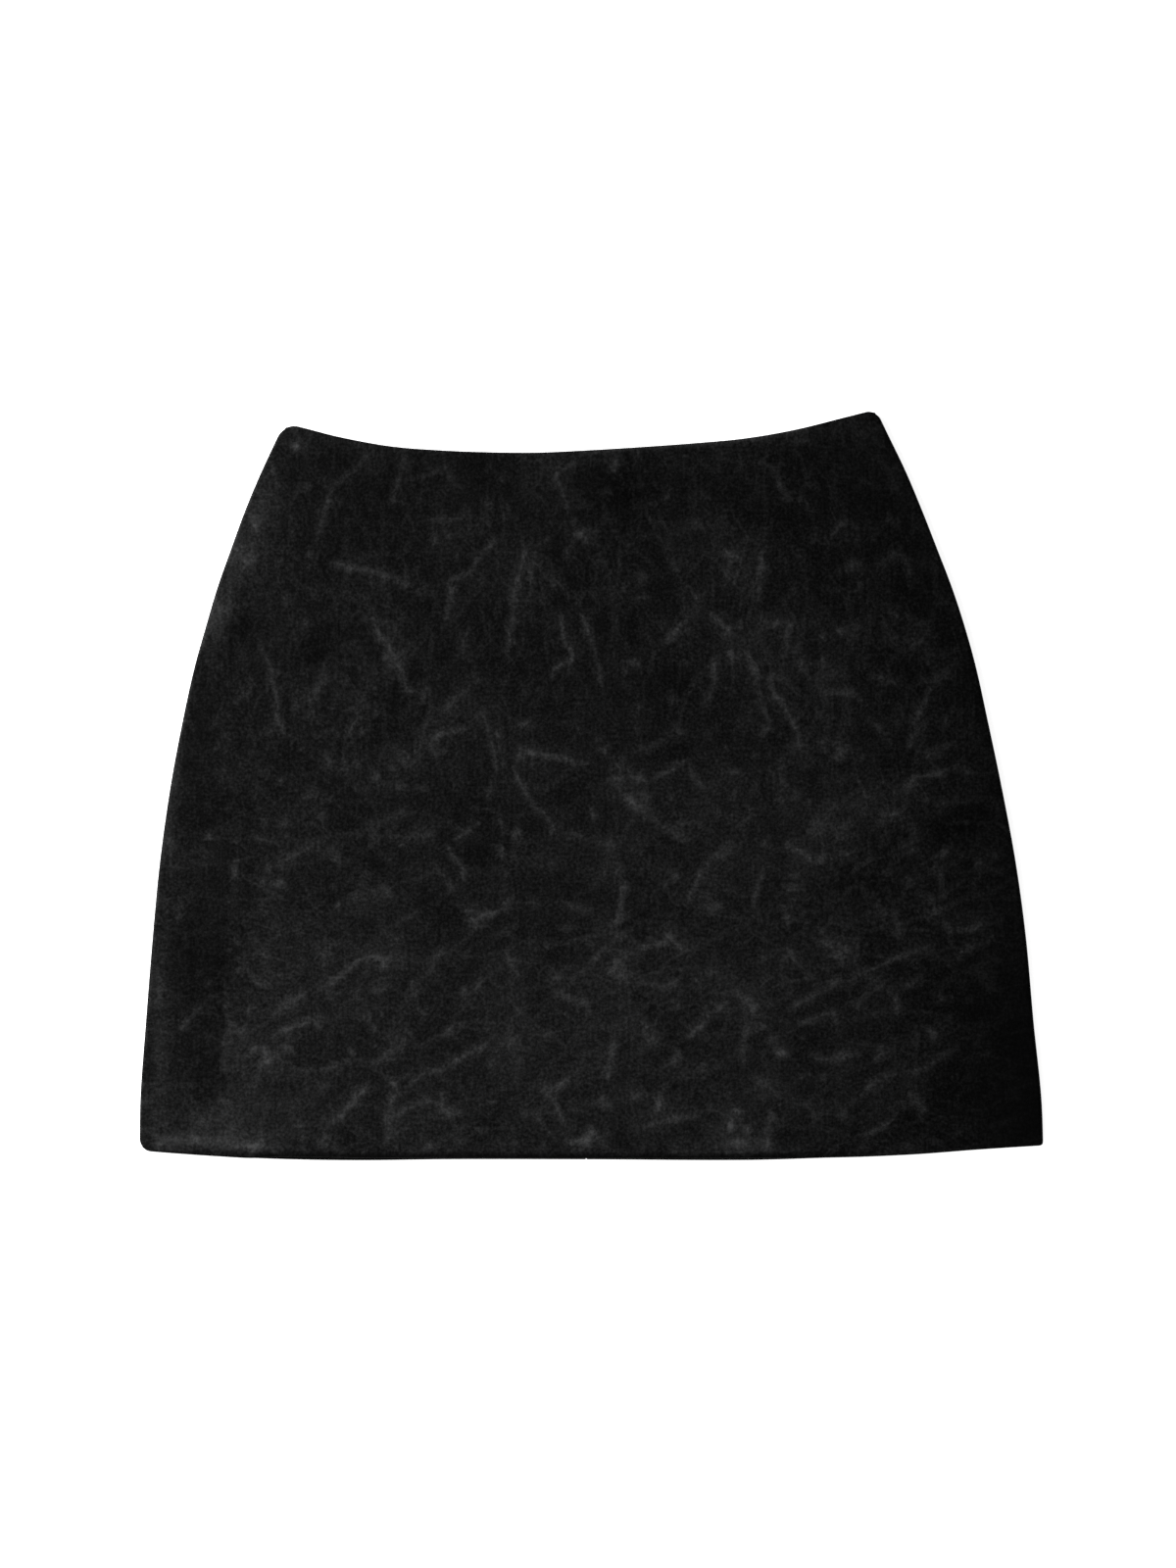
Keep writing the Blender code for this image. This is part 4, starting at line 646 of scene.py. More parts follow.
    (0.5, 3.5, [(184.8, -98.4), (188.3, -101.9)]),
    (0.4, 3.5, [(186.5, -120.5), (192.3, -114.7), (197.5, -110)]),
    (0.5, 3.5, [(205.7, -106), (202.2, -108.9)]),
    (0.5, 3.5, [(221.3, -123.4), (225.4, -129.2)]),
    (0.5, 3.5, [(234.7, -137.9), (230, -142.5)]),
    (0.5, 4.1, [(198.1, -140.8), (202.2, -146.6), (206.8, -149.5)]),
    (0.5, 3.5, [(170.9, -152.4), (174.9, -159.9)]),
    (0.5, 4.1, [(147.7, -169.8), (143, -172.7)]),
    (0.6, 4.6, [(132.6, -193), (130.3, -197)]),
    (0.4, 3.5, [(94.3, -178.5), (102.4, -175.6), (108.2, -179.6)]),
    (0.5, 3.5, [(96.6, -140.8), (100.1, -144.8)]),
    (0.4, 3.5, [(253.2, -181.4), (252.1, -187.2)]),
    (0.4, 3.5, [(224.2, -169.8), (220.7, -172.7)]),
    (0.4, 3.5, [(232.9, -155.3), (237, -159.9)]),
    (0.4, 3.5, [(122.7, -149.5), (129.1, -148.3)]),
    (0.6, 3.5, [(87.9, -201.7), (93.7, -205.1)]),
    (0.5, 3.5, [(174.9, -193), (179, -188.9)]),
    (0.55, 3.5, [(222.5, 13.5), (209.7, 9.5), (199.9, 6)]),
    (0.5, 4.1, [(195.2, 3.7), (187.1, -0.4), (179, -3.3)]),
    (0.35, 3.5, [(175.5, -5), (165.1, -6.2)]),
    (0.4, 3.5, [(159.3, -9.7), (150, -13.2)]),
    (0.4, 2.9, [(144.2, -16.6), (137.2, -20.1), (130.3, -27.7)]),
    (0.4, 3.5, [(134.3, -44.5), (145.9, -41.6), (156.9, -38.1)]),
    (0.6, 2.9, [(210.3, -82.2), (217.8, -85.1), (227.1, -83.3), (238.7, -80.4)]),
    (0.5, 2.9, [(230.6, -40.4), (230, -47.4), (230.6, -54.3)]),
    (0.4, 2.3, [(201.6, -9.7), (205.7, -6.8), (210.3, -5)]),
    (0.5, 2.9, [(219, 26.9), (205.1, 23.4), (194.1, 15.8)]),
    (0.55, 2.9, [(242.2, -88), (232.9, -92.6), (221.9, -96.7), (216.1, -102.5)]),
    (0.5, 2.9, [(193.5, -110.6), (189.4, -116.4), (183.6, -121)]),
    (0.6, 2.9, [(230.6, -110.6), (234.7, -117.6), (243.9, -123.4)]),
    (0.5, 2.3, [(206.8, -119.9), (207.4, -125.1), (208, -130.3)]),
    (0.5, 2.9, [(152.3, -115.8), (162.7, -110), (173.8, -106)]),
    (0.5, 2.9, [(157.5, -128), (165.1, -122.8), (175.5, -113.5)]),
    (0.55, 2.9, [(127.9, -159.9), (140.7, -162.2), (152.3, -159.3), (161, -157.6)]),
    (0.45, 2.9, [(190.6, -140.2), (192.9, -147.1), (194.1, -154.1)]),
    (0.5, 2.9, [(177.8, -77.5), (180.1, -82.2), (183, -86.2)]),
    (0.6, 2.3, [(13.7, -102.5), (12.5, -108.3), (16.6, -113.5), (22.4, -113.5), (24.1, -108.9)]),
    (0.45, 2.9, [(-8.4, -126.3), (-3.1, -130.9), (1.5, -137.9)]),
    (0.45, 3.5, [(32.8, -115.8), (42.1, -119.3), (50.2, -118.1)]),
    (0.2, 2.9, [(-29.2, 128.9), (-19.4, 119.7), (-8.9, 109.2)]),
    (0.4, 2.3, [(-102.9, 156.8), (-89, 157.9), (-76.2, 159.1)]),
    (0.5, 2.3, [(-209, 91.2), (-207.3, 79.6), (-205.6, 68.6)]),
    (0.4, 2.9, [(137.2, -34.6), (147.7, -31.1), (158.1, -27.1)]),
    (0.3, 2.9, [(165.1, -24.2), (172, -20.7), (178.4, -17.8)]),
    (0.35, 2.9, [(151.1, -50.3), (160.4, -46.2), (168, -42.7)]),
    (0.3, 2.9, [(175.5, -39.3), (185.4, -35.2), (198.7, -28.2)]),
    (0.4, 2.9, [(80.4, -27.7), (90.2, -20.7), (97.8, -14.3)]),
    (0.4, 2.9, [(28.2, -14.3), (37.5, -20.7), (46.7, -25.3), (59.5, -31.1)]),
    (0.35, 2.3, [(-17.6, -24.8), (-8.9, -28.2), (-0.8, -32.3)]),
    (0.4, 2.3, [(140.7, 26.9), (146.5, 29.2), (151.1, 24.5), (150, 18.2), (144.2, 15.8), (139.5, 19.9)]),
    (0.35, 2.3, [(122.1, 88.3), (123.3, 75.6), (125, 64)]),
    (0.45, 3.5, [(8.5, 8.3), (15.4, 11.8), (22.4, 8.9), (27, 1.9)]),
    (0.45, 2.9, [(10.8, 5.4), (16.6, -1.6), (21.8, -7.9), (28.8, -12.6)]),
    (0.35, 2.9, [(20.6, 17), (28.2, 21.6), (36.3, 25.1), (46.7, 29.2)]),
    (0.35, 4.1, [(109.4, 19.9), (112.9, 7.1), (114, -5.6), (111.7, -17.2)]),
    (0.35, 3.5, [(165.6, -2.1), (155.8, -5.6), (145.3, -11.4), (136.1, -18.4), (129.1, -26.5)]),
    (0.3, 3.5, [(121, -32.3), (131.4, -28.8), (140.7, -26.5), (154.6, -24.2)]),
    (0.3, 3.5, [(166.2, -21.9), (177.8, -19.5), (188.3, -16.6)]),
    (0.25, 3.5, [(201, -12.6), (211.5, -8.5), (224.2, 0.8)]),
    (0.35, 3.5, [(115.8, -45.6), (129.1, -43.9), (143, -41.6), (165.1, -34.6)]),
    (0.3, 3.5, [(89.1, -28.2), (79.2, -35.8), (71.1, -43.9), (64.1, -52.6)]),
    (0.3, 2.9, [(-21.1, -28.2), (-11.8, -29.4), (-2.6, -30.6), (13.1, -34)]),
    (0.4, 2.9, [(193.5, -67.1), (199.9, -75.2), (206.8, -81.6)]),
    (0.3, 3.5, [(169.7, -71.2), (174.3, -79.9), (180.1, -89.1)]),
]
# pale knots where creases meet:  x, y, radius, strength
PATCHES = [
    (-168.4, 137.6, 2.9, 0.5),
    (-184.1, 134.7, 2.9, 0.5),
    (-194.5, 167.8, 2.9, 0.5),
    (-167.9, 176.5, 2.9, 0.5),
    (-87.8, 146.3, 5.8, 0.5),
    (-111, 196.8, 2.9, 0.6),
    (-42.6, 195.6, 8.1, 0.4),
    (-6.6, 147.5, 5.8, 0.6),
    (82.1, 123.1, 4.6, 0.8),
    (153.5, 130.1, 5.2, 0.6),
    (-167.9, 44.8, 4.1, 0.7),
    (-152.8, 12.4, 7.5, 0.6),
    (-67.5, 63.4, 4.1, 0.8),
    (-101.7, 34.4, 2.3, 0.8),
    (26.4, 73.8, 3.5, 0.9),
    (28.2, 44.8, 4.1, 0.5),
    (47.9, 51.8, 4.1, 0.5),
    (17.7, 15.8, 2.9, 0.5),
    (10.8, 4.2, 2.9, 0.5),
    (52, 32.1, 2.9, 0.5),
    (85, 8.9, 5.8, 0.5),
    (139.5, 27.4, 4.1, 0.8),
    (108.2, 94.1, 7, 0.7),
    (209.7, 40.2, 5.8, 0.5),
    (-215.4, -64.8, 2.3, 0.7),
    (-192.2, -48.5, 3.5, 0.7),
    (-187.6, -58.4, 4.6, 1),
    (-196.9, -54.3, 2.9, 0.5),
    (-156.8, -94.4, 7, 0.6),
    (-254.9, -69.4, 3.5, 0.6),
    (-256, -100.7, 4.6, 0.8),
    (-43.2, -28.8, 4.1, 0.6),
    (-21.7, -26.5, 3.5, 0.8),
    (3.2, -100.7, 2.3, 0.8),
    (-122, -103.6, 7, 0.9),
    (-104.6, -74.1, 2.9, 0.6),
    (-98.8, -83.3, 2.3, 0.5),
    (-122, -62.5, 4.6, 0.6),
    (24.1, -10.3, 5.2, 0.9),
    (89.7, -27.7, 2.9, 0.8),
    (121, -61.3, 5.2, 1),
    (72.3, -70.6, 4.1, 0.5),
    (88.5, -79.9, 4.1, 0.5),
    (100.1, -100.7, 5.8, 0.5),
    (117.5, -99.6, 4.6, 0.8),
    (44.4, -53.2, 3.5, 0.5),
    (85, -115.8, 4.1, 0.5),
    (47.9, -118.1, 4.1, 0.5),
    (141.9, -93.8, 8.1, 0.9),
    (223.6, -19.5, 2.9, 0.5),
    (183, -84.5, 4.1, 0.5),
    (181.9, -99.6, 4.1, 0.5),
    (163.3, -62.5, 4.1, 0.5),
    (190, -54.3, 4.1, 0.5),
    (152.9, -96.1, 8.1, 0.9),
    (144.8, -99.6, 3.5, 0.5),
    (151.7, -117, 3.5, 0.5),
    (188.8, -115.8, 3.5, 0.5),
    (-198, 159.1, 5.8, 0.8),
    (-207.3, 134.7, 8.1, 0.7),
    (-209, -144.2, 2.9, 0.9),
    (-203.8, -132.6, 4.1, 0.5),
    (-189.9, -163.4, 5.2, 1),
    (-202.1, -158.2, 3.5, 0.8),
    (-256, -158.2, 3.5, 0.8),
    (-252.5, -212.1, 4.6, 1),
    (-217.7, -203.4, 3.5, 0.5),
    (-80.3, -144.2, 5.2, 0.8),
    (-57.1, -167.4, 5.8, 0.6),
    (-53.6, -180.2, 4.6, 0.5),
    (-45.5, -129.2, 5.2, 0.5),
    (-5.5, -210.9, 3.5, 0.8),
    (-36.8, -194.7, 5.8, 0.5),
    (4.4, -186, 4.6, 0.8),
    (-46.6, -215, 4.6, 0.5),
    (-28.1, -212.7, 4.1, 0.6),
    (-67.5, -176.7, 2.9, 0.5),
    (7.3, -216.2, 3.5, 0.8),
    (25.3, -181.4, 4.1, 0.6),
    (28.2, -203.4, 4.6, 0.6),
    (37.5, -150, 4.6, 0.8),
    (63, -167.4, 7, 0.6),
    (89.7, -177.9, 5.8, 0.6),
    (98.9, -176.7, 5.2, 0.6),
    (108.2, -180.2, 4.1, 0.6),
    (81.5, -201.1, 5.2, 1),
    (78.1, -217.3, 3.5, 0.7),
    (131.4, -190.6, 5.2, 0.8),
    (140.7, -197.6, 3.5, 0.5),
    (202.2, -147.1, 4.6, 0.7),
    (235.2, -144.2, 7, 0.5),
    (229.4, -155.8, 5.8, 0.6),
    (187.1, -212.1, 4.1, 0.9),
    (253.8, -181.4, 5.8, 0.5),
    (243.4, -198.8, 5.8, 0.4),
    (164.5, -176.7, 3.5, 0.9),
    (110, -155.3, 5.2, 0.7),
    (-118, -175.6, 4.1, 0.7),
    (-153.9, -197.6, 4.1, 0.7),
    (147.1, -190.6, 4.1, 0.6),
]
# broad and small lighter and darker places, part painted light and shade (lighter strips along the left edge, the hem
# and the lower left corner, a darker zone below the waist) and part the hide's own patchy colouring:  middle, lie in
# degrees, half length, half width, strength
PATCHY_TONE_AND_PAINTED_LIGHT = [
    (-192.2, 172.4, 68, 37.1, 8.7, 1.2), (-221.2, 102.8, 75, 17.4, 8.1, 2),
    (-243.3, 18.7, 83, 44.1, 3.5, 1.2), (-184.7, 131.8, 0, 10.4, 9.3, 0.6),
    (-112.2, 130.1, -15, 23.2, 7, 0.6), (-68.7, 76.7, 0, 23.2, 12.8, 0.6),
    (-164.4, 18.7, -20, 12.8, 5.8, 0.9), (-129.6, 39, 60, 9.3, 5.8, 0.6),
    (-16.5, 114.4, 0, 9.3, 7, 0.6), (70.5, 204.9, 6, 75.4, 3.5, 1.4),
    (-106.4, 199.1, -4, 34.8, 2.9, 0.8), (0.9, 195.1, 0, 12.8, 5.8, 0.8),
    (114, 79.6, -60, 23.2, 12.8, 1), (141.9, 66.3, 80, 23.2, 8.1, 1.6),
    (134.3, 88.3, 0, 15.1, 8.1, 0.8), (97.8, 105.7, 0, 8.1, 8.1, 0.8),
    (76.3, 118.5, 0, 9.3, 8.1, 0.5), (121, 19.9, -70, 11.6, 5.2, 0.9),
    (35.7, 12.9, 0, 17.4, 8.1, 0.7), (29.9, -10.3, 0, 7.5, 7.5, 1.6),
    (15.4, 1.3, 0, 10.4, 8.1, 0.7), (21.2, -97.3, 80, 11.6, 7, 1.1),
    (93.7, -137.9, 80, 10.4, 6.4, 1.3), (108.2, -152.4, -20, 11.6, 7, 0.6),
    (61.8, -159.9, 0, 17.4, 5.8, 0.6), (82.1, -195.9, -60, 16.2, 8.1, 1.4),
    (90.8, -211.5, 2, 20.9, 5.2, 2), (5, -209.2, 0, 8.7, 6.4, 0.8),
    (137.2, -92.6, 0, 11.6, 7, 0.8), (152.3, -94.9, 80, 7, 4.6, 0.9),
    (-115.1, -65.4, 30, 23.2, 10.4, 0.5), (-45.5, -149.5, 80, 20.9, 10.4, 1.1),
    (-72.7, -120.5, 0, 8.1, 7, 0.5), (-190.5, -155.3, -35, 19.7, 10.4, 1.3),
    (-221.2, -116.4, 85, 19.7, 4.6, 0.9), (-253.7, -157, 86, 19.7, 4.1, 1.2),
    (-220.1, -183.1, 80, 12.8, 5.8, 0.7), (-227, -210.9, -4, 38.3, 4.1, 1.6),
    (131.4, -193, 0, 12.8, 8.1, 0.5), (230, -149.5, 0, 15.1, 10.4, 0.5),
    (212.6, -126.3, 0, 8.1, 7, 0.5), (21.2, 76.7, 0, 13.9, 9.3, 0.4),
    (108.2, -114.7, 0, 17.4, 7, 0.3), (154.6, -137.9, 20, 17.4, 5.8, 0.3),
    (-16.5, -74.1, 0, 11.6, 8.1, 0.4), (-230.5, 48.9, 86, 32.5, 5.2, -2.4),
    (-184.7, 101.1, -75, 19.7, 6.4, -0.9), (-194.5, 82.5, 0, 22, 13.9, -1.3),
    (-155.7, 172.4, 0, 8.7, 6.4, -0.9), (-134.2, 181.1, -60, 16.2, 7, -0.6),
    (-79.7, 175.3, 80, 22, 9.3, -1.4), (-118, 73.8, 0, 8.1, 5.2, -0.7),
    (-84.3, 53.5, 0, 9.3, 5.8, -0.6), (-36.8, 131.8, 0, 5.8, 5.2, -0.9),
    (-6.6, 149.2, 0, 5.8, 5.2, -0.8), (-65.8, 140.5, 0, 7, 4.6, -0.5),
    (56, 149.2, 0, 13.9, 9.9, -1.2), (75.2, 166.6, 0, 9.3, 7.5, -0.8),
    (99.5, 134.7, 0, 7.5, 5.8, -0.9), (89.1, 185.8, 0, 12.8, 7.5, -0.5),
    (134.3, 110.4, 80, 17.4, 8.1, -0.6), (-243.8, -97.3, 0, 7, 7, -1),
    (-245.6, -185.4, 88, 13.9, 5.2, -1.2), (-196.3, -198.8, 0, 19.7, 4.6, -1.1),
    (-198, -126.3, 0, 7, 5.8, -1.3), (-118, -14.9, 0, 9.3, 7, -1.2),
    (-101.7, -27.7, 0, 8.1, 4.6, -0.8), (-67.5, -75.2, 0, 8.7, 4.1, -0.9),
    (-127.8, -100.2, 0, 7.5, 3.5, -0.9), (-115.1, -132.1, 0, 7, 8.1, -0.9),
    (-120.9, -154.1, 0, 8.1, 7, -0.9), (-148.7, -126.3, 85, 15.1, 5.8, -0.6),
    (-202.1, -65.4, 0, 7, 7, -0.8), (10.8, -27.7, 0, 9.3, 7, -0.7),
    (73.4, -33.5, 0, 8.7, 5.8, -0.8), (9.6, -155.3, 0, 7, 5.8, -0.9),
    (56, -62.5, 0, 10.4, 4.6, -0.6), (92, -11.4, 0, 5.8, 5.8, -0.8),
    (-8.9, -207.5, 0, 4.6, 4.6, -0.7), (183.6, -50.9, 0, 9.9, 5.8, -0.6),
    (198.1, -97.3, 0, 9.3, 4.6, -0.5), (172, -171.5, 30, 9.3, 5.8, -0.5),
    (21.2, 175.3, 0, 17.4, 11.6, -0.3), (56, 111.5, 0, 9.3, 5.8, -0.5),
    (-234, -50.9, 0, 11.6, 8.1, -0.5), (-225.3, 30.3, 85, 17.4, 4.6, -0.5),
    (-236.9, 11.8, 86, 23.2, 7, -1.6), (-196.9, 12.9, 0, 20.9, 15.1, -0.8),
    (-196.3, 44.8, 0, 9.3, 9.3, -0.9), (-246.7, -103.1, 0, 8.1, 8.1, -0.7),
    (-230.5, -194.7, 0, 17.4, 5.2, 1), (-218.3, -172.7, 88, 11.6, 3.5, 0.5),
    (-165.5, 204.3, 0, 19.7, 4.6, 0.68), (-176, 192.7, 80, 12.8, 4.6, 0.42),
    (-107.5, 118.5, -20, 10.4, 5.2, 0.59), (-158.6, 168.4, 60, 10.4, 5.8, -0.59),
    (-97.7, 173.6, 0, 8.1, 8.1, -0.51), (-73.3, 157.9, 80, 15.1, 4.6, -0.59),
    (-77.4, 117.3, 0, 5.8, 4.6, 0.51), (-124.9, 88.3, -60, 5.8, 4.6, -0.51),
    (-149.9, 65.1, 0, 5.8, 5.8, -0.51), (-190.5, 105.7, 80, 8.1, 4.6, -0.42),
    (-149.9, 110.4, 80, 8.1, 4.6, -0.34), (-190.5, 130.1, 0, 10.4, 7, 0.42),
    (-71.6, 94.1, 80, 12.8, 7, 0.51), (-65.8, 65.1, 0, 11.6, 8.1, 0.42),
    (-68.7, 35, 0, 11.6, 5.8, 0.68), (-100.6, 47.7, 60, 9.3, 3.5, 0.42),
    (-129.6, 53.5, -70, 11.6, 3.5, 0.34), (-229.3, 85.4, 72, 17.4, 2.9, 1.27),
    (-219.5, 47.7, 0, 10.4, 8.1, -0.42), (-219.5, 76.7, 60, 9.3, 7, -0.26),
    (-181.8, 65.1, 0, 9.3, 4.6, -0.34), (-86.1, 59.3, 0, 7, 5.8, -0.42),
    (-48.4, 196.2, 0, 12.8, 2.9, 1.02), (-48.4, 181.1, 88, 11.6, 5.2, 0.59),
    (-16.5, 175.3, -60, 12.8, 5.2, -0.42), (-37.9, 160.8, 50, 9.3, 5.8, 0.51),
    (-7.8, 192.7, 80, 8.1, 5.2, 0.68), (17.7, 200.9, 10, 9.3, 3.5, 1.02),
    (14.3, 176.5, 0, 7, 7, 0.59), (1.5, 160.8, 0, 5.8, 7, 0.51),
    (-4.9, 149.2, 0, 5.8, 4.6, -0.42), (-62.9, 134.7, 80, 15.1, 4.6, 0.51),
    (-60, 172.4, 0, 5.8, 5.8, -0.42), (-19.4, 111.5, -60, 11.6, 4.6, 0.59),
    (-37.9, 120.2, 0, 7, 4.6, 0.42), (-48.4, 99.9, 80, 13.9, 4.1, -0.42),
    (-54.2, 64, 0, 13.9, 5.8, 0.51), (-24, 50.6, 80, 11.6, 4.1, 0.77),
    (-36.8, 30.3, 0, 7, 5.8, 0.42), (64.7, 175.3, -30, 11.6, 4.6, -0.42),
    (77.5, 157.9, 0, 5.2, 8.1, -0.51), (21.2, 131.8, 0, 5.8, 5.8, 0.34),
    (35.7, 123.1, 0, 17.4, 8.1, 0.34), (51.4, 131.8, -45, 11.6, 4.6, 0.42),
    (76.3, 117.3, 0, 15.1, 7, 0.42), (76.3, 82.5, -50, 16.2, 4.1, 0.68),
    (87.9, 82.5, 80, 11.6, 4.6, 0.51), (21.2, 169.5, 0, 10.4, 4.6, -0.34),
    (25.9, 94.1, 80, 17.4, 4.6, -0.34), (5, 70.9, 80, 12.8, 4.6, -0.42),
    (-2, 50.6, 85, 10.4, 3.5, -0.42), (38.6, 79.6, 0, 10.4, 5.8, 0.42),
    (73.4, 44.8, 50, 11.6, 3.5, 0.42), (128.5, 207.2, 0, 8.1, 5.8, 0.85),
    (102.4, 204.3, 10, 12.8, 4.6, 0.51), (145.9, 192.7, 70, 15.1, 4.6, -0.51),
    (156.4, 181.1, 0, 4.6, 8.1, 0.34), (126.8, 145.2, 60, 15.1, 5.8, 0.77),
    (121, 163.7, 0, 12.8, 8.1, 0.51), (148.8, 126, 0, 13.9, 3.5, 0.51),
    (154.6, 143.4, 0, 15.1, 5.8, 0.26), (180.7, 131.8, 0, 8.1, 3.5, 0.42),
    (180.7, 155, 0, 11.6, 3.5, 0.34), (186.5, 166.6, 0, 9.3, 4.6, -0.42),
    (148.8, 94.1, -50, 5.8, 3.5, -0.51), (160.4, 88.3, 80, 15.1, 4.6, -0.42),
    (119.8, 97, 0, 7, 4.6, -0.68), (183.6, 97, 0, 4.1, 4.1, 0.68),
    (180.7, 108.6, 0, 7, 3.5, -0.42), (134.3, 82.5, 0, 15.1, 9.3, 0.51),
    (209.7, 73.8, 0, 8.1, 8.1, 0.51), (134.3, 65.1, 0, 15.1, 5.8, 0.68),
    (132.6, 44.8, 80, 17.4, 5.8, 0.68), (107.1, 56.4, -50, 8.1, 4.6, -0.77),
    (102.4, 33.2, 0, 9.3, 8.1, 0.51), (143, 36.1, 80, 13.9, 5.8, -0.42),
    (191.2, 44.8, 80, 15.1, 5.8, -0.51), (198.1, 62.2, 0, 11.6, 4.6, 0.42),
    (172, 50.6, 30, 8.1, 5.8, 0.42), (174.9, 76.7, 0, 9.3, 8.1, -0.26),
    (-246.7, 1.3, 82, 31.9, 2.9, 1.02), (-250.2, -24.8, 82, 8.1, 3.5, 0.68),
    (-211.9, 3.1, 0, 4.1, 5.2, -0.51), (-196.3, -21.9, 0, 4.6, 4.6, -0.42),
    (-184.7, 1.3, -40, 12.8, 4.6, 0.51), (-176, -13.2, 0, 5.8, 4.6, 0.51),
    (-153.9, 7.1, 0, 7, 9.3, 0.51), (-164.4, 18.7, 0, 8.1, 5.8, 0.42),
    (-135.4, 12.9, -45, 11.6, 4.1, -0.59), (-120.9, -23, 0, 17.4, 5.2, -0.51),
    (-94.8, 21.6, 60, 9.3, 4.6, 0.59), (-120.9, -39.3, 50, 9.3, 9.3, 0.51),
    (-80.3, -33.5, -60, 9.3, 3.5, 0.85), (-118, -65.4, 30, 23.2, 10.4, 0.51),
    (-77.4, -68.3, 0, 9.3, 5.8, 0.42), (-120.9, -74.1, 30, 12.8, 4.6, 0.26),
    (-144.1, -77, 80, 11.6, 4.6, 0.34), (-200.3, -65.4, 0, 9.3, 8.1, -0.42),
    (-210.8, -88.6, -50, 8.1, 4.1, -0.68), (-251.4, -53.8, 0, 8.1, 7, -0.42),
    (-167.3, -77, 0, 4.6, 5.8, -0.34), (-252.5, -94.4, 80, 9.3, 5.2, 0.85),
    (-257.2, -108.9, 80, 7, 2.9, -0.85), (-248.5, -125.1, 0, 10.4, 5.8, -0.68),
    (-216.6, -106, -60, 12.8, 4.1, 0.68), (-221.2, -123.4, 80, 10.4, 4.1, 0.51),
    (-126.7, -101.3, -30, 7, 3.5, -0.68), (-89, -30.6, 0, 8.1, 4.6, -0.42),
    (-103.5, -88.6, 0, 9.3, 4.6, 0.51), (-193.4, -106, 0, 9.3, 4.6, 0.26),
    (-196.3, -126.3, 60, 9.3, 4.6, -0.42), (-170.2, -135, 0, 10.4, 5.8, 0.42),
    (-94.8, -140.8, -20, 12.8, 4.6, 0.68), (-152.8, -94.4, 0, 9.3, 4.1, 0.42),
    (-170.2, -123.4, 0, 17.4, 4.6, -0.34), (-152.8, -123.4, 0, 5.8, 5.8, -0.34),
    (-39.7, 33.2, 80, 8.1, 4.6, 0.42), (-42.6, 3.1, 0, 5.2, 5.2, -0.85),
    (-33.9, 19.9, 0, 4.6, 3.5, -0.51), (-51.3, -30.6, -50, 5.8, 4.1, 0.51),
    (-56.5, -36.4, 0, 4.6, 4.1, -0.51), (-10.7, 24.5, 0, 15.1, 9.3, 0.42),
    (21.2, 7.1, -10, 17.4, 11.6, 0.77), (31.1, -12, 0, 5.8, 5.8, 0.85),
    (61.8, 18.7, 50, 13.9, 4.6, 0.77), (50.2, -4.5, 0, 12.8, 12.8, 0.34),
    (-19.4, -50.9, 0, 5.8, 8.1, 0.42), (-47.2, -65.4, -45, 16.2, 10.4, 0.68),
    (-2, -71.2, 0, 9.3, 7, 0.51), (17.2, -62.5, 0, 4.6, 9.3, -0.42),
    (19.5, -78.7, 0, 3.5, 4.6, -0.42), (0.9, -88.6, 0, 9.3, 4.1, -0.68),
    (-45.5, -94.4, 80, 12.8, 5.8, -0.59), (-54.2, -112.9, 0, 5.8, 8.1, -0.42),
    (-69.8, -108.9, 0, 8.1, 7, 0.59), (13.7, -106, 0, 5.8, 4.6, -0.85),
    (0.9, -106, 0, 4.6, 7, -0.34), (-26.3, -117.6, -40, 8.1, 4.1, 0.59),
    (56, -97.3, 0, 7, 5.8, 0.59), (76.3, -88.6, 0, 10.4, 5.8, 0.34),
    (48.5, -113.5, 10, 12.8, 4.1, -0.51), (76.3, -119.3, 45, 8.1, 4.6, -0.59),
    (85, -9.1, -50, 8.1, 4.6, 0.59), (70.5, -27.7, 0, 12.8, 4.6, -0.42),
    (3.8, -135, 0, 12.8, 4.1, 0.42), (-71.6, -135, 40, 7, 4.6, 0.51),
    (-115.1, -136.7, 0, 7, 4.6, -0.51), (-36.8, -143.7, -30, 15.1, 4.6, 0.59),
    (44.4, -137.9, 80, 13.9, 8.1, 0.42), (96.6, 27.4, 30, 9.3, 5.8, 0.42),
    (116.9, 15.8, 60, 17.4, 9.3, 0.59), (125.6, 17.6, -50, 8.1, 5.2, 0.34),
    (105.3, -10.3, 70, 15.1, 4.6, 0.68), (93.7, -10.3, 70, 8.1, 3.5, -0.42),
    (124.5, -10.3, 0, 5.2, 4.1, -0.42), (134.3, -10.3, 0, 4.6, 5.8, -0.34),
    (122.7, -27.7, -40, 7, 4.6, 0.42), (108.2, -27.7, 0, 15.1, 8.1, 0.42),
    (119.8, -50.9, 0, 13.9, 7, 0.42), (96.6, -40.4, 0, 3.5, 5.8, -0.42),
    (186.5, 23.4, 70, 9.3, 4.1, 0.42), (198.1, 21.6, 80, 9.3, 3.5, -0.42),
    (212.6, 10, 0, 7, 4.6, 0.59), (192.3, 1.3, 0, 10.4, 4.6, 0.51),
    (177.8, -13.2, 0, 5.8, 4.6, -0.42), (163.3, -36.4, 50, 12.8, 5.2, 0.42),
    (180.7, -36.4, 0, 5.8, 7, 0.34), (140.1, -77, 60, 13.9, 5.8, 0.59),
    (154.6, -71.2, 40, 13.9, 5.8, 0.26), (79.2, -79.9, 80, 15.1, 5.8, 0.51),
    (93.7, -106, 0, 10.4, 8.1, 0.59), (118.7, -106, 0, 4.6, 4.6, 0.68),
    (143, -91.5, 0, 16.2, 11.6, 0.26), (217.3, -87.4, 40, 8.1, 5.2, 0.77),
    (195.2, -97.3, -20, 12.8, 5.2, -0.68), (201, -110, 0, 7, 4.6, 0.34),
    (209.7, -71.2, 30, 12.8, 5.2, -0.34), (192.3, -43.3, 60, 7, 4.6, -0.42),
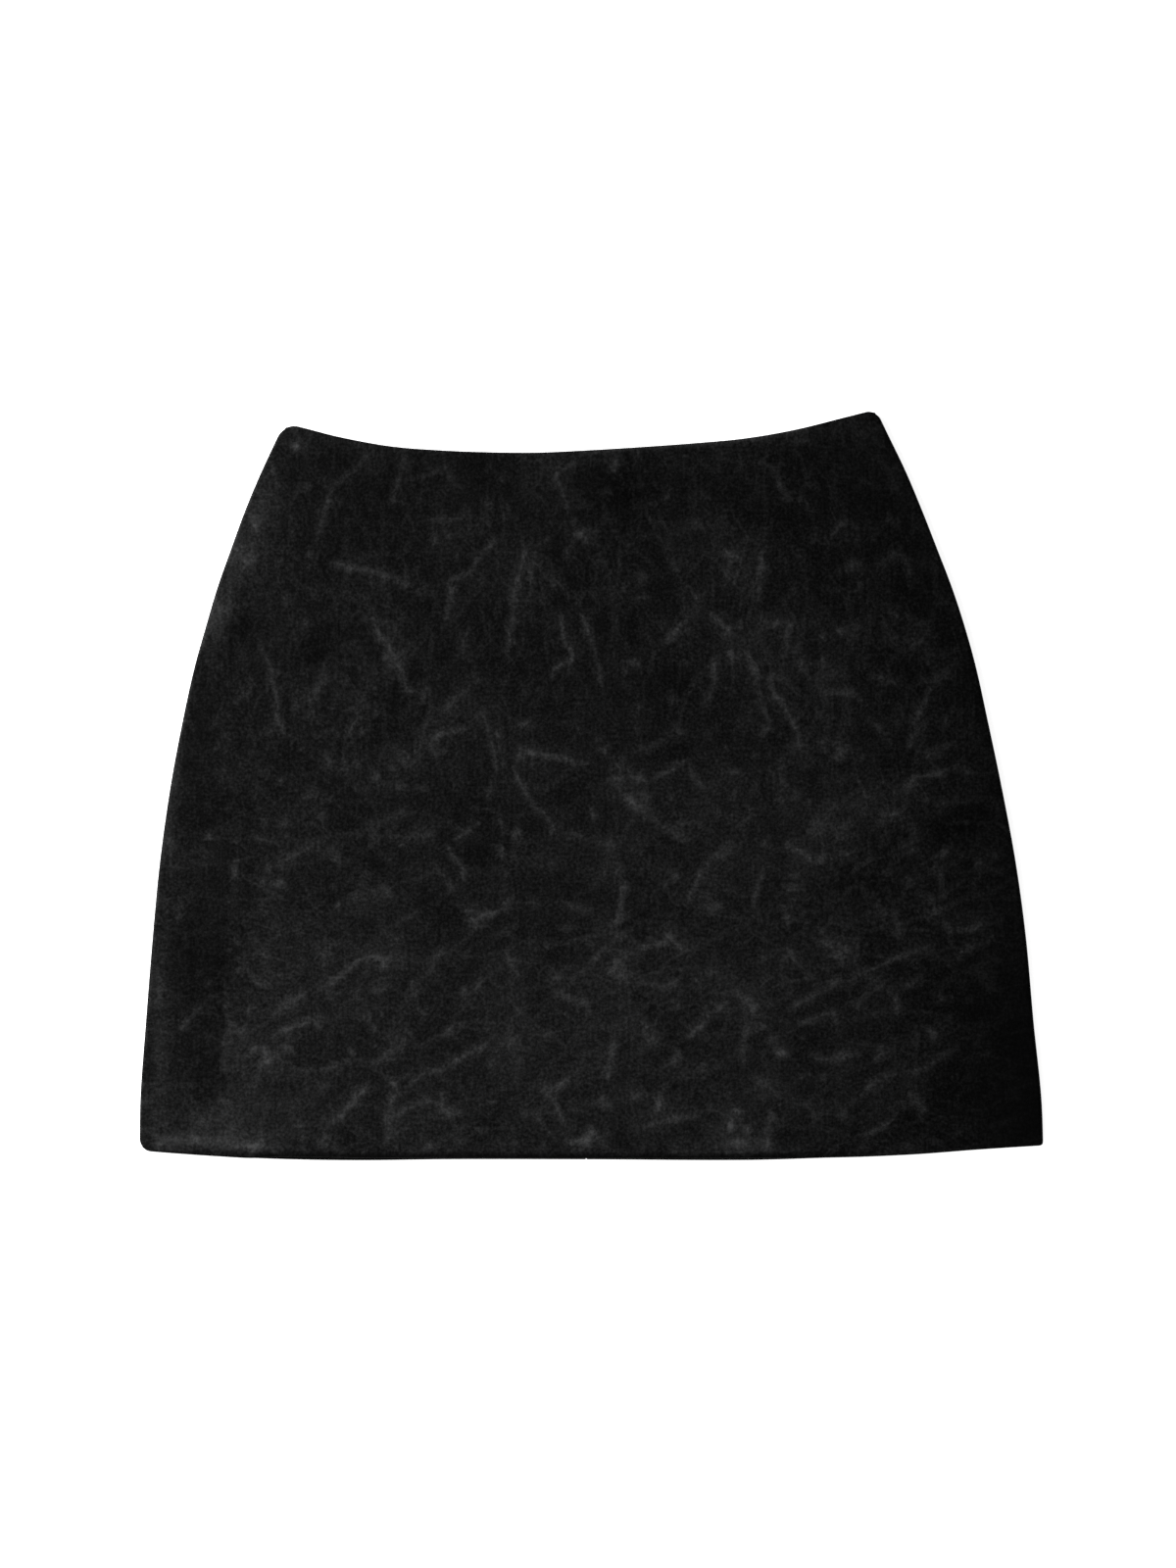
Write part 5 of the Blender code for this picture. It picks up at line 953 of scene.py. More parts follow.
    (224.2, -43.9, 0, 7, 7, -0.34), (144.2, -114.7, 20, 5.8, 3.5, -0.77),
    (163.3, -120.5, 0, 11.6, 4.6, 0.42), (114, -121.6, 0, 15.1, 4.6, -0.51),
    (172, -132.1, 20, 13.9, 4.6, -0.42), (212.6, -127.4, 0, 8.1, 8.1, 0.59),
    (180.7, -137.9, 20, 9.3, 4.6, 0.42), (93.7, -137.9, 0, 8.1, 7, 0.51),
    (115.2, -137.9, 85, 16.2, 5.2, 0.68), (-257.2, -183.1, 80, 8.1, 4.6, -0.85),
    (-254.3, -200.5, 0, 11.6, 4.6, -0.68), (-254.3, -214.4, -5, 15.1, 2.3, 1.27),
    (-245.6, -152.4, 70, 17.4, 4.6, 0.42), (-219.5, -150.6, -50, 8.1, 4.1, -0.59),
    (-235.1, -164, 85, 12.8, 4.1, -0.42), (-187.6, -149.5, -40, 11.6, 5.2, 0.59),
    (-184.7, -162.8, 0, 4.6, 5.8, 0.68), (-194.5, -159.9, 0, 4.1, 4.1, -0.42),
    (-170.2, -146.6, 0, 9.3, 8.1, 0.42), (-226.4, -183.1, 50, 8.1, 4.6, 0.68),
    (-206.1, -183.1, 80, 8.1, 4.1, 0.51), (-193.4, -190.1, 80, 17.4, 4.1, 0.68),
    (-177.1, -184.3, 0, 7, 5.8, -0.42), (-135.4, -178.5, 0, 5.8, 5.8, -0.51),
    (-120.9, -190.1, 70, 9.3, 4.1, -0.51), (-103.5, -190.1, 45, 10.4, 3.5, 0.42),
    (-90.7, -194.7, 15, 11.6, 3.5, -0.77), (-95.9, -210.4, 0, 5.8, 4.1, -0.68),
    (-161.5, -210.4, 0, 10.4, 4.6, -0.42), (-147, -217.9, 5, 11.6, 1.7, 0.68),
    (-222.4, -210.4, 0, 34.8, 5.8, 0.34), (-193.4, -214.4, -5, 23.2, 2.3, 0.68),
    (-138.3, -143.7, 60, 13.9, 4.6, -0.34), (-138.3, -161.1, 0, 9.3, 4.6, -0.26),
    (-116.2, -169.8, 0, 8.1, 3.5, 0.34), (-91.9, -147.7, -20, 13.9, 4.1, 0.34),
    (-87.2, -159.9, 0, 5.2, 4.1, -0.51), (-36.8, -161.1, 60, 15.1, 5.8, 0.42),
    (-16.5, -155.3, 60, 7, 4.1, -0.77), (8.5, -154.1, 0, 5.2, 5.2, -0.77),
    (0.9, -166.9, 0, 9.3, 4.1, -0.77), (32.8, -148.3, -60, 7, 4.1, -0.51),
    (-60, -178.5, 80, 15.1, 4.6, 0.42), (-51.3, -190.1, 0, 4.6, 4.6, 0.34),
    (-22.3, -177.3, 30, 10.4, 4.1, -0.51), (-10.7, -188.9, 0, 4.6, 4.6, -0.42),
    (-39.7, -201.7, 40, 8.1, 4.6, 0.68), (-13.6, -204.6, -60, 9.3, 4.1, 0.77),
    (0.9, -204.6, 40, 9.3, 4.6, -0.85), (35.7, -172.7, -45, 9.3, 4.6, 0.51),
    (56, -190.1, -35, 15.1, 4.1, 0.51), (39.8, -187.2, 0, 4.1, 4.6, -0.51),
    (76.3, -201.7, 0, 5.8, 5.2, 0.77), (96.6, -184.3, 70, 17.4, 9.3, 0.77),
    (99.5, -216.2, 0, 10.4, 2.9, 1.27), (82.1, -217.9, 0, 9.3, 2.3, 0.68),
    (50.2, -210.4, -50, 8.1, 4.1, 0.42), (12.5, -217.9, 0, 11.6, 1.7, 0.68),
    (73.4, -155.3, 40, 12.8, 7, 0.42), (150, -155.3, 0, 5.2, 5.2, -0.68),
    (131.4, -156.4, 0, 4.6, 4.6, -0.42), (131.4, -166.9, 0, 13.9, 5.2, 0.42),
    (153.5, -187.2, 0, 7, 7, 1.02), (169.1, -174.4, 0, 7, 7, -0.59),
    (168, -197, 0, 5.8, 5.2, -0.68), (182.5, -197, 40, 5.8, 4.6, 0.59),
    (195.2, -161.1, 0, 10.4, 4.6, -0.59), (183.6, -158.2, 60, 8.1, 4.6, -0.34),
    (218.4, -164, 20, 13.9, 8.1, 0.42), (230, -152.4, 0, 9.3, 7, 0.34),
    (206.8, -178.5, 0, 23.2, 4.6, 0.34), (145.9, -210.4, 0, 5.8, 5.8, 0.51),
    (131.4, -201.7, 0, 15.1, 7, 0.34), (235.8, -181.4, 0, 9.3, 10.4, -0.42),
    (114, -181.4, -50, 9.3, 4.1, -0.34), (-25.2, 172.4, 0, 116, 19.7, -0.15),
    (-60, 94.1, 0, 81.2, 69.6, -0.28), (-2, 175.3, 0, 133.4, 19.7, -0.45),
    (-106.4, 175.3, -10, 34.8, 19.7, -0.3), (-60, 117.3, 0, 75.4, 63.8, -0.25),
    (96.6, -62.5, 0, 87, 87, 0.2), (27, 2.5, 0, 20.9, 8.1, 0.45),
    (22.4, -7.9, -40, 11.6, 5.2, 0.5), (50.2, -26.5, 20, 17.4, 4.6, 0.3),
    (93.7, 85.4, 60, 15.1, 8.7, 0.4), (140.1, 55.9, 0, 16.2, 7, 0.35),
    (166.2, -17.8, 22, 40.6, 11.6, 0.35),
]

HEM_EDGE = 30.0            # depth of the finely stepped rows along the hem
WAIST_EDGE = 30.0          # and along the waist edge
FRONT_GRAIN = 1.72         # spacing of the front's mesh
BACK_GRAIN = 2.05          # and of the back's
CHANNELS = 8               # crease distances that a point carries
FAR = 6.0                  # distance given to a point with no crease near it, in line widths


# ---------------------------------------------------------------- curves and outlines
_rows = {}


def along(table, at, column=1):
    """Smooth curve through a table's rows: the column's value at each of `at`."""
    key = (id(table), column)
    if key not in _rows:
        xs = np.array([r[0] for r in table], float)
        ys = np.array([r[column] for r in table], float)
        slope = np.empty(len(xs))
        slope[1:-1] = (ys[2:] - ys[:-2]) / (xs[2:] - xs[:-2])
        slope[0] = (ys[1] - ys[0]) / (xs[1] - xs[0])
        slope[-1] = (ys[-1] - ys[-2]) / (xs[-1] - xs[-2])
        _rows[key] = xs, ys, slope
    xs, ys, slope = _rows[key]
    at = np.asarray(at, float)
    k = np.clip(np.searchsorted(xs, at, side="left") - 1, 0, len(xs) - 2)
    w = xs[k + 1] - xs[k]
    t = np.clip((at - xs[k]) / w, 0.0, 1.0)
    return ((2 * t ** 3 - 3 * t ** 2 + 1) * ys[k] + (t ** 3 - 2 * t ** 2 + t) * w * slope[k]
            + (3 * t ** 2 - 2 * t ** 3) * ys[k + 1] + (t ** 3 - t ** 2) * w * slope[k + 1])


def ease(t):
    t = np.clip(t, 0.0, 1.0)
    return t * t * (3.0 - 2.0 * t)


def waist_y(x):
    return along(WAIST, x)


def hem_y(x):
    return along(HEM, x)


def front_hem_y(x):
    return hem_y(x) + np.maximum(along(HEM_SHOWS, x), 0.0)


SLIDER_Y = float(waist_y(CB_X)) - ZIP_TOP


def back_rise(x, y):
    """How far the back's outer face is lifted off the floor by the pull and the bridge."""
    sideways = 1.0 - ease((np.abs(x - CB_X) - 4.8) / 27.0)
    d = y - SLIDER_Y
    past_tip = -d - PULL_LENGTH - 1.0
    above = BRIDGE_LIFT * (1.0 - ease((d - 4.0) / 26.0))
    beside = PULL_LIFT + (BRIDGE_LIFT - PULL_LIFT) * (1.0 - ease((-d - 4.0) / 16.0))
    below = PULL_LIFT * (1.0 - ease(past_tip / 26.0))
    return np.where(d >= 0.0, above, np.where(past_tip < 0.0, beside, below)) * sideways


def ridges(table, x, y):
    """Sum of a table's long soft ridges and troughs."""
    total = np.zeros_like(x)
    for fx, fy, turn, length, width, height in table:
        c, s = math.cos(math.radians(turn)), math.sin(math.radians(turn))
        u = (x - fx) * c + (y - fy) * s
        v = -(x - fx) * s + (y - fy) * c
        total += height * np.exp(-(u / length) ** 2 - (v / width) ** 2)
    return total


def zip_lift(x, y):
    past = np.abs(x - CB_X)
    bottom = SLIDER_Y - ZIP_LENGTH
    chain = 0.45 * (1.0 - ease((past - 4.0) / 50.0)) * ease((y - bottom + 40.0) / 40.0)
    far = np.hypot(x - CB_X, (y - SLIDER_Y) * 0.9)
    return chain + 0.45 * (1.0 - ease(far / 110.0)) + 2.2 * (1.0 - ease((far - 7.0) / 34.0))


def ply_at(across, from_waist, from_hem):
    turned = ((across <= SEAM_TURN + 0.01) | (from_waist <= WAIST_TURN + 0.01)
              | (from_hem <= HEM_TURN + 0.01))
    return np.where(turned, TURNED, PLY)


def rough(x, y, size, seed):
    """Seeded noise, -1 to 1, at points in mm, with features of about `size` mm."""
    flat = zip(np.ravel(x) / size, np.ravel(y) / size)
    return np.array([noise.noise(Vector((a, b, seed))) for a, b in flat]).reshape(np.shape(x))


# ---------------------------------------------------------------- creases
def smooth_line(points, seed, step=1.4, wander=0.55):
    """A crease's points joined by a smooth, slightly wandering line."""
    p = np.array(points, float)
    ends = np.vstack([2 * p[0] - p[1], p, 2 * p[-1] - p[-2]])
    out = []
    for k in range(len(p) - 1):
        a, b, c, d = ends[k:k + 4]
        n = max(1, int(math.ceil(np.hypot(*(c - b)) / step)))
        for t in np.arange(n) / n:
            out.append(0.5 * (2 * b + (c - a) * t + (2 * a - 5 * b + 4 * c - d) * t ** 2
                              + (3 * b - a - 3 * c + d) * t ** 3))
    out.append(p[-1])
    out = np.array(out)
    out[:, 0] += wander * rough(out[:, 0], out[:, 1], 7.0, seed + 0.37)
    out[:, 1] += wander * rough(out[:, 0], out[:, 1], 7.0, seed + 5.81)
    return out


def share_channels(lines, clear=10.5):
    """Gives lines that pass near each other different channels."""
    boxes = [(l.min(0) - clear, l.max(0) + clear) for l in lines]
    chosen = []
    for i, line in enumerate(lines):
        nearest = [1e9] * CHANNELS
        for j in range(i):
            if (boxes[j][0] > line.max(0)).any() or (boxes[j][1] < line.min(0)).any():
                continue
            gap = np.sqrt(((line[:, None, :] - lines[j][None, :, :]) ** 2).sum(2)).min()
            nearest[chosen[j]] = min(nearest[chosen[j]], gap)
        free = [c for c in range(CHANNELS) if nearest[c] > clear]
        chosen.append(free[0] if free else int(np.argmax(nearest)))
    return chosen


def crease_fields(x, y, creases, lift=0.2, keep=5.6):
    """For points (mm): each channel's distance in line widths and its strength, how far the
    creases raise the leather, and the smoky halo that lies on one side of each."""
    n = len(x)
    halo = np.zeros(n)
    away = np.full((n, CHANNELS), FAR)
    force = np.zeros((n, CHANNELS))
    raised = np.zeros(n)
    lines = [smooth_line(points, k) for k, (_, _, points) in enumerate(creases)]
    channels = share_channels(lines)
    for k, ((strength, width, _), line, channel) in enumerate(zip(creases, lines, channels)):
        lo, hi = line.min(0) - 15.0, line.max(0) + 15.0
        near = np.nonzero((x > lo[0]) & (x < hi[0]) & (y > lo[1]) & (y < hi[1]))[0]
        if not len(near):
            continue
        a, b = line[:-1], line[1:]
        run = b - a
        size = np.maximum(np.hypot(run[:, 0], run[:, 1]), 1e-6)
        px = x[near][:, None] - a[:, 0]
        py = y[near][:, None] - a[:, 1]
        t = np.clip((px * run[:, 0] + py * run[:, 1]) / size ** 2, 0.0, 1.0)
        d2 = (px - t * run[:, 0]) ** 2 + (py - t * run[:, 1]) ** 2
        best = d2.argmin(1)
        pick = np.arange(len(near))
        d = np.sqrt(d2[pick, best])
        side = np.sign(run[best, 0] * py[pick, best] - run[best, 1] * px[pick, best])
        side[side == 0] = 1.0
        length = size.sum()
        at = np.concatenate([[0.0], np.cumsum(size)])[best] + t[pick, best] * size[best]
        taper = ease(np.minimum(at, length - at) / min(5.0, 0.3 * length) + 0.1)
        uneven = 0.74 + 0.42 * np.array([noise.noise(Vector((v * 0.09, k * 1.7, 3.3)))
                                         for v in at])
        held = strength * taper * uneven * (1.0 - ease((d - 3.6) / (keep - 3.6)))
        line_width = 0.47 * width
        own = d / line_width
        closer = own < np.abs(away[near, channel])
        take = near[closer]
        away[take, channel] = np.minimum(own, FAR)[closer] * side[closer]
        force[take, channel] = held[closer]
        wide = max(line_width, 2.3)
        hill = np.exp(-(d / wide) ** 2)
        lean = side if k % 2 else -side
        dip = np.exp(-((d * lean - 3.4) / 2.3) ** 2)
        raised[near] += strength * taper * uneven * (lift * hill - 0.42 * lift * dip)
        reach = np.where(side * (1.0 if k % 3 else -1.0) > 0, 5.2, 1.9)
        soft = strength * ease(np.minimum(at, length - at) / min(9.0, 0.5 * length) + 0.15)
        glow = 0.62 * np.exp(-(d / (0.9 + 0.62 * width)) ** 2) + 0.38 * np.exp(-d / reach)
        halo[near] = 1.0 - (1.0 - halo[near]) * (1.0 - np.clip(
            0.9 * soft * glow, 0.0, 1.0))
    return away, force, raised, halo


def patch_fields(x, y, patches):
    """Pale knots of the hide: their strength, and the small crumple they raise."""
    strength = np.zeros(len(x))
    raised = np.zeros(len(x))
    crumple = rough(x, y, 3.4, 11.5)
    for px, py, radius, amount in patches:
        d2 = ((x - px) ** 2 + (y - py) ** 2) / radius ** 2
        near = d2 < 6.0
        soft = np.exp(-d2[near])
        strength[near] = np.maximum(strength[near], amount * soft)
        raised[near] += amount * soft * (0.10 + 0.22 * crumple[near])
    return strength, raised


# ---------------------------------------------------------------- a panel's skin
def steps(first, last, step, through=()):
    """Distances from first to last, about `step` apart, that meet each of `through`."""
    marks = [first, *[m for m in through if first < m < last], last]
    out = [first]
    for a, b in zip(marks, marks[1:]):
        n = max(1, round((b - a) / step))
        out += [a + (b - a) * k / n for k in range(1, n + 1)]
    return out


def side_part(side, step, start, lip, face_up):
    """Columns from a side seam over its round edge to 22 mm inside: each is
    (side, distance, kind, value, inner shift), from the seam in."""
    way = 1.0 if face_up else -1.0
    out = [(side, 0.5, "level", lip, 1.5), (side, 0.16, "level", lip + way * 0.1, 1.9),
           (side, 0.0, "level", lip + way * 0.3, 2.0)]
    for turn in (10.0, 22.0, 34.0, 46.0, 58.0, 70.0, 80.0, 90.0):
        c = math.cos(math.radians(turn))
        out.append((side, SIDE_ROUND * (1.0 - c), "arc", (start, turn), TURNED * c))
    out += [(side, d, "face", None, 0.0)
            for d in steps(SIDE_ROUND, 22.0, step, (SEAM_TURN, SEAM_TURN + 1.4))[1:]]
    return out


def cb_part(side, step):
    """Columns of a back panel from 20 mm inside to the centre back seam."""
    out = [(side, d, "face", None, 0.0)
           for d in steps(1.0, 20.0, step, (SEAM_TURN, SEAM_TURN + 1.4))]
    for turn in (65.0, 40.0, 15.0):
        out.insert(0, (side, 1.0 - math.cos(math.radians(turn)), "roll", turn, 1.0))
    out.insert(0, (side, 0.0, "above", 1.35, 1.0))
    out.insert(0, (side, 0.12, "above", 1.75, 0.88))
    return list(reversed(out))


def lay_out(columns, rows, hem):
    """Plan positions of the crossings of columns and rows, and their distances from the
    waist edge and the hem."""
    kind = np.array([r[0] for r in rows])
    value = np.array([r[1] for r in rows], float)
    x_all = np.zeros((len(rows), len(columns)))
    y_all = np.zeros_like(x_all)

    def edge_x(side, d, y):
        if side == "left":
            return along(SIDES, y, 1) + d
        if side == "right":
            return along(SIDES, y, 2) - d
        half = CB_TOUCH + (CB_SLOT - CB_TOUCH) * (
            1.0 - ease((np.abs(y - SLIDER_Y) - 3.4) / 8.0))
        return CB_X - half - d if side == "cb_low" else CB_X + half + d

    for i, column in enumerate(columns):
        across, down = np.full(len(rows), float(column[1])), value.copy()
        if column[0] in ("left", "right"):
            for edge in ("hem", "waist"):
                radius = CORNERS[column[0], edge]
                m = (kind == edge) & (across < radius) & (down < radius)
                p, q = 1.0 - across[m] / radius, 1.0 - down[m] / radius
                across[m] = radius * (1.0 - p * np.sqrt(1.0 - q * q / 2.0))
                down[m] = radius * (1.0 - q * np.sqrt(1.0 - p * p / 2.0))
        y = np.zeros(len(rows))
        for _ in range(14):
            if column[0] == "between":
                _, f, a_side, a, b_side, b = column[:6]
                x0, x1 = edge_x(a_side, a, y), edge_x(b_side, b, y)
                x = x0 + (x1 - x0) * f
            else:
                x = edge_x(column[0], across, y)
            top, bottom = waist_y(x), hem(x)
            lo, hi = bottom + HEM_EDGE, top - WAIST_EDGE
            y = np.where(kind == "waist", top - down,
                         np.where(kind == "hem", bottom + down, lo + (hi - lo) * value))
        x_all[:, i], y_all[:, i] = x, y
    from_waist = np.where((kind == "waist")[:, None], value[:, None], waist_y(x_all) - y_all)
    from_hem = np.where((kind == "hem")[:, None], value[:, None], y_all - hem_y(x_all))
    return x_all, y_all, from_waist, from_hem


def panel(name, columns, rows, hem, base, dress, face_up, keep_columns, keep_rows):
    """A closed skin: the outer face in full, its turned edges, and a coarser inner face.

    base(x, y, across, from_waist, from_hem) is the outer face's height, and
    dress(x, y, across, from_waist, from_hem) gives the creases' height and the attributes.
    """
    way = 1.0 if face_up else -1.0
    x, y, from_waist, from_hem = lay_out(columns, rows, hem)
    n_rows, n_cols = x.shape
    across = np.minimum(x - along(SIDES, y, 1), along(SIDES, y, 2) - x)
    from_cb = np.abs(x - CB_X) - CB_HALF_GAP
    for i, c in enumerate(columns):
        if c[0] in ("left", "right"):
            across[:, i] = c[1]
        if c[0] in ("cb_low", "cb_high"):
            from_cb[:, i] = c[1]
    if not face_up:
        inset = BACK_INSET * (1.0 - ease(from_waist / 40.0))
        y = y - np.where(from_waist < 40.0, inset, 0.0)
    plain = base(x, y, across, from_waist, from_hem)
    extra, fields = dress(x, y, across, from_waist, from_hem)
    turned = across if face_up else np.minimum(across, from_cb)
    ply = ply_at(turned, from_waist, from_hem)
    z = plain + extra
    inner = np.stack([x, y, plain - way * ply], 2)
    for i, c in enumerate(columns):
        if c[0] == "between":
            continue
        side, d, kind, value, shift = c
        to_inside = 1.0 if side in ("left", "cb_high") else -1.0
        if kind == "level":
            z[:, i] = value
            inner[:, i, 2] = value
        elif kind == "arc":
            start, turn = value
            s = math.sin(math.radians(turn))
            z[:, i] = start + (z[:, i] - start) * s
            inner[:, i, 2] = start + (plain[:, i] - way * TURNED - start) * s
        elif kind == "roll":
            z[:, i] = plain[:, i] + 1.0 - math.sin(math.radians(value))
            inner[:, i, 2] = plain[:, i] + TURNED
        elif kind == "above":
            z[:, i] = plain[:, i] + value
            inner[:, i, 2] = plain[:, i] + TURNED
        inner[:, i, 0] += to_inside * shift
        if kind in ("roll", "above"):
            inner[:, i, 0] = x[:, i] + to_inside * (1.0 - d)
    outer = np.stack([x, y, z], 2)

    # the turned edges at the hem and the waist: half-rounds from the outer to the inner face
    def half_round(a, b, away_from):
        centre, arm = (a + b) / 2.0, (a - b) / 2.0
        r = np.linalg.norm(arm, axis=1)
        out = a - away_from
        out /= np.linalg.norm(out, axis=1)[:, None]
        unit = arm / np.maximum(r, 1e-6)[:, None]
        out -= unit * (out * unit).sum(1)[:, None]
        out /= np.maximum(np.linalg.norm(out, axis=1), 1e-6)[:, None]
        reach = np.minimum(r, 1.0)[:, None]
        return [centre + arm * math.cos(p) + out * reach * math.sin(p)
                for p in [math.pi * k / 6 for k in range(1, 6)]]

    hem_rows = half_round(outer[0], inner[0], outer[1])
    waist_rows = half_round(outer[-1], inner[-1], outer[-2])
    full = np.concatenate([np.array(hem_rows[::-1]), outer, np.array(waist_rows)])
    turn = len(hem_rows)
    n_full = len(full)

    rows_in = [0] + [j for j in range(1, n_rows - 1) if j in keep_rows] + [n_rows - 1]
    cols_in = [0] + [i for i in range(1, n_cols - 1) if i in keep_columns] + [n_cols - 1]
    inside = inner[np.ix_(rows_in, cols_in)]
    verts = np.concatenate([full.reshape(-1, 3), inside.reshape(-1, 3)]) * MM
    offset = n_full * n_cols

    def out_at(j, i):
        return j * n_cols + i

    def in_at(j, i):
        return offset + j * len(cols_in) + i

    jj, ii = np.meshgrid(np.arange(n_full - 1), np.arange(n_cols - 1), indexing="ij")
    q = out_at(jj, ii).ravel()
    faces = np.stack([q, q + 1, q + n_cols + 1, q + n_cols], 1).tolist()
    grain = [0] * len(faces)
    for j in range(len(rows_in) - 1):
        for i in range(len(cols_in) - 1):
            faces.append([in_at(j, i), in_at(j + 1, i), in_at(j + 1, i + 1), in_at(j, i + 1)])
            mid = (rows_in[j] + rows_in[j + 1]) // 2, (cols_in[i] + cols_in[i + 1]) // 2
            grain.append(0 if ply[mid] > 1.5 else 1)
    for i in range(len(cols_in) - 1):
        a, b = cols_in[i], cols_in[i + 1]
        faces.append([out_at(0, k) for k in range(b, a - 1, -1)] + [in_at(0, i), in_at(0, i + 1)])
        last = len(rows_in) - 1
        faces.append([out_at(n_full - 1, k) for k in range(a, b + 1)]
                     + [in_at(last, i + 1), in_at(last, i)])
        grain += [0, 0]
    for j in range(len(rows_in) - 1):
        a = 0 if rows_in[j] == 0 else rows_in[j] + turn
        b = n_full - 1 if rows_in[j + 1] == n_rows - 1 else rows_in[j + 1] + turn
        faces.append([out_at(k, 0) for k in range(a, b + 1)] + [in_at(j + 1, 0), in_at(j, 0)])
        last = len(cols_in) - 1
        faces.append([out_at(k, n_cols - 1) for k in range(b, a - 1, -1)]
                     + [in_at(j, last), in_at(j + 1, last)])
        grain += [0, 0]
    if not face_up:
        faces = [f[::-1] for f in faces]
    mesh = bpy.data.meshes.new(name)
    mesh.from_pydata(verts.tolist(), [], faces)
    mesh.polygons.foreach_set("material_index", np.array(grain, np.int32))
    mesh.shade_smooth()
    for key, values in fields.items():
        width = 1 if values.ndim == 2 else values.shape[2]
        rest = 1.0 if key == "tone" else (FAR if key.startswith("crease_d") else 0.0)
        if key == "tone":
            rest = 0.0
        block = np.full((n_full, n_cols, width), rest)
        block[turn:turn + n_rows] = values.reshape(n_rows, n_cols, width)
        block[:turn] = block[turn]
        block[turn + n_rows:] = block[turn + n_rows - 1]
        all_of = np.full((len(verts), width), rest)
        all_of[:offset] = block.reshape(-1, width)
        if width == 1:
            mesh.attributes.new(key, 'FLOAT', 'POINT').data.foreach_set(
                "value", all_of.ravel().astype(np.float32))
        else:
            mesh.attributes.new(key, 'FLOAT_COLOR', 'POINT').data.foreach_set(
                "color", all_of.ravel().astype(np.float32))
    mesh.update()
    obj = bpy.data.objects.new(name, mesh)
    bpy.context.scene.collection.objects.link(obj)
    return obj


def make_rows(step, length):
    between = max(2, round((length - HEM_EDGE - WAIST_EDGE) / step))
    out = [("hem", d) for d in steps(1.0, HEM_EDGE, step, (2.2, HEM_TURN, HEM_TURN + 1.4))]
    out += [("between", k / between) for k in range(1, between)]
    out += [("waist", d) for d in reversed(
        steps(1.0, WAIST_EDGE, step, (2.2, WAIST_TURN, WAIST_TURN + 1.4)))]
    return out


def kept_rows(rows, every=9):
    marks = (HEM_TURN, HEM_TURN + 1.4, WAIST_TURN, WAIST_TURN + 1.4, HEM_EDGE, WAIST_EDGE)
    return {j for j, (kind, v) in enumerate(rows)
            if (kind == "between" and j % every == 0)
            or (kind != "between" and any(abs(v - m) < 1e-6 for m in marks))}


def kept_columns(columns, every=9):
    marks = (SIDE_ROUND, SEAM_TURN, SEAM_TURN + 1.4, 1.0, 22.0, 20.0)
    out = set()
    for i, c in enumerate(columns):
        if c[0] == "between":
            if i % every == 0:
                out.add(i)
        elif c[2] == "face" and any(abs(c[1] - m) < 1e-6 for m in marks):
            out.add(i)
        elif c[2] == "arc" and c[3][1] in (46.0, 90.0):
            out.add(i)
        elif c[2] == "roll" and c[3] == 40.0:
            out.add(i)
    return out


# ---------------------------------------------------------------- the front
def front_base(x, y, across, from_waist, from_hem):
    across = np.maximum(across, 0.0)
    edge = np.minimum(np.minimum(from_hem / 30.0, from_waist / 24.0),
                      np.minimum(across / 26.0, 1.0))
    h = FRONT_HEIGHT + ridges(FOLDS, x, y) * ease(edge)
    h += (FRONT_SIDE_HEIGHT - FRONT_HEIGHT) * (1.0 - ease(across / 24.0))
    h = np.maximum(h, FRONT_HEIGHT - 1.2) + zip_lift(x, y)
    ply = ply_at(across, from_waist, from_hem)
    back = back_rise(x, y) + ply_at(np.minimum(across, np.abs(x - CB_X)), from_waist, from_hem)
    return np.maximum(h, back + 2 * SEAM_GAP + ply)


def all_fields(x, y, creases, patches, tones_and_painted_light, fade):
    shape = x.shape
    flat_x, flat_y = x.ravel(), y.ravel()
    away, force, raised, halo = crease_fields(flat_x, flat_y, creases)
    patch, crumpled = patch_fields(flat_x, flat_y, patches)
    fields = {
        "crease_d1": away[:, :4].reshape(*shape, 4), "crease_d2": away[:, 4:].reshape(*shape, 4),
        "crease_m1": force[:, :4].reshape(*shape, 4), "crease_m2": force[:, 4:].reshape(*shape, 4),
        "patch": patch.reshape(shape), "halo": halo.reshape(shape), "tone": tones_and_painted_light,
    }
    extra = (raised + crumpled).reshape(shape) * fade
    return extra, fields


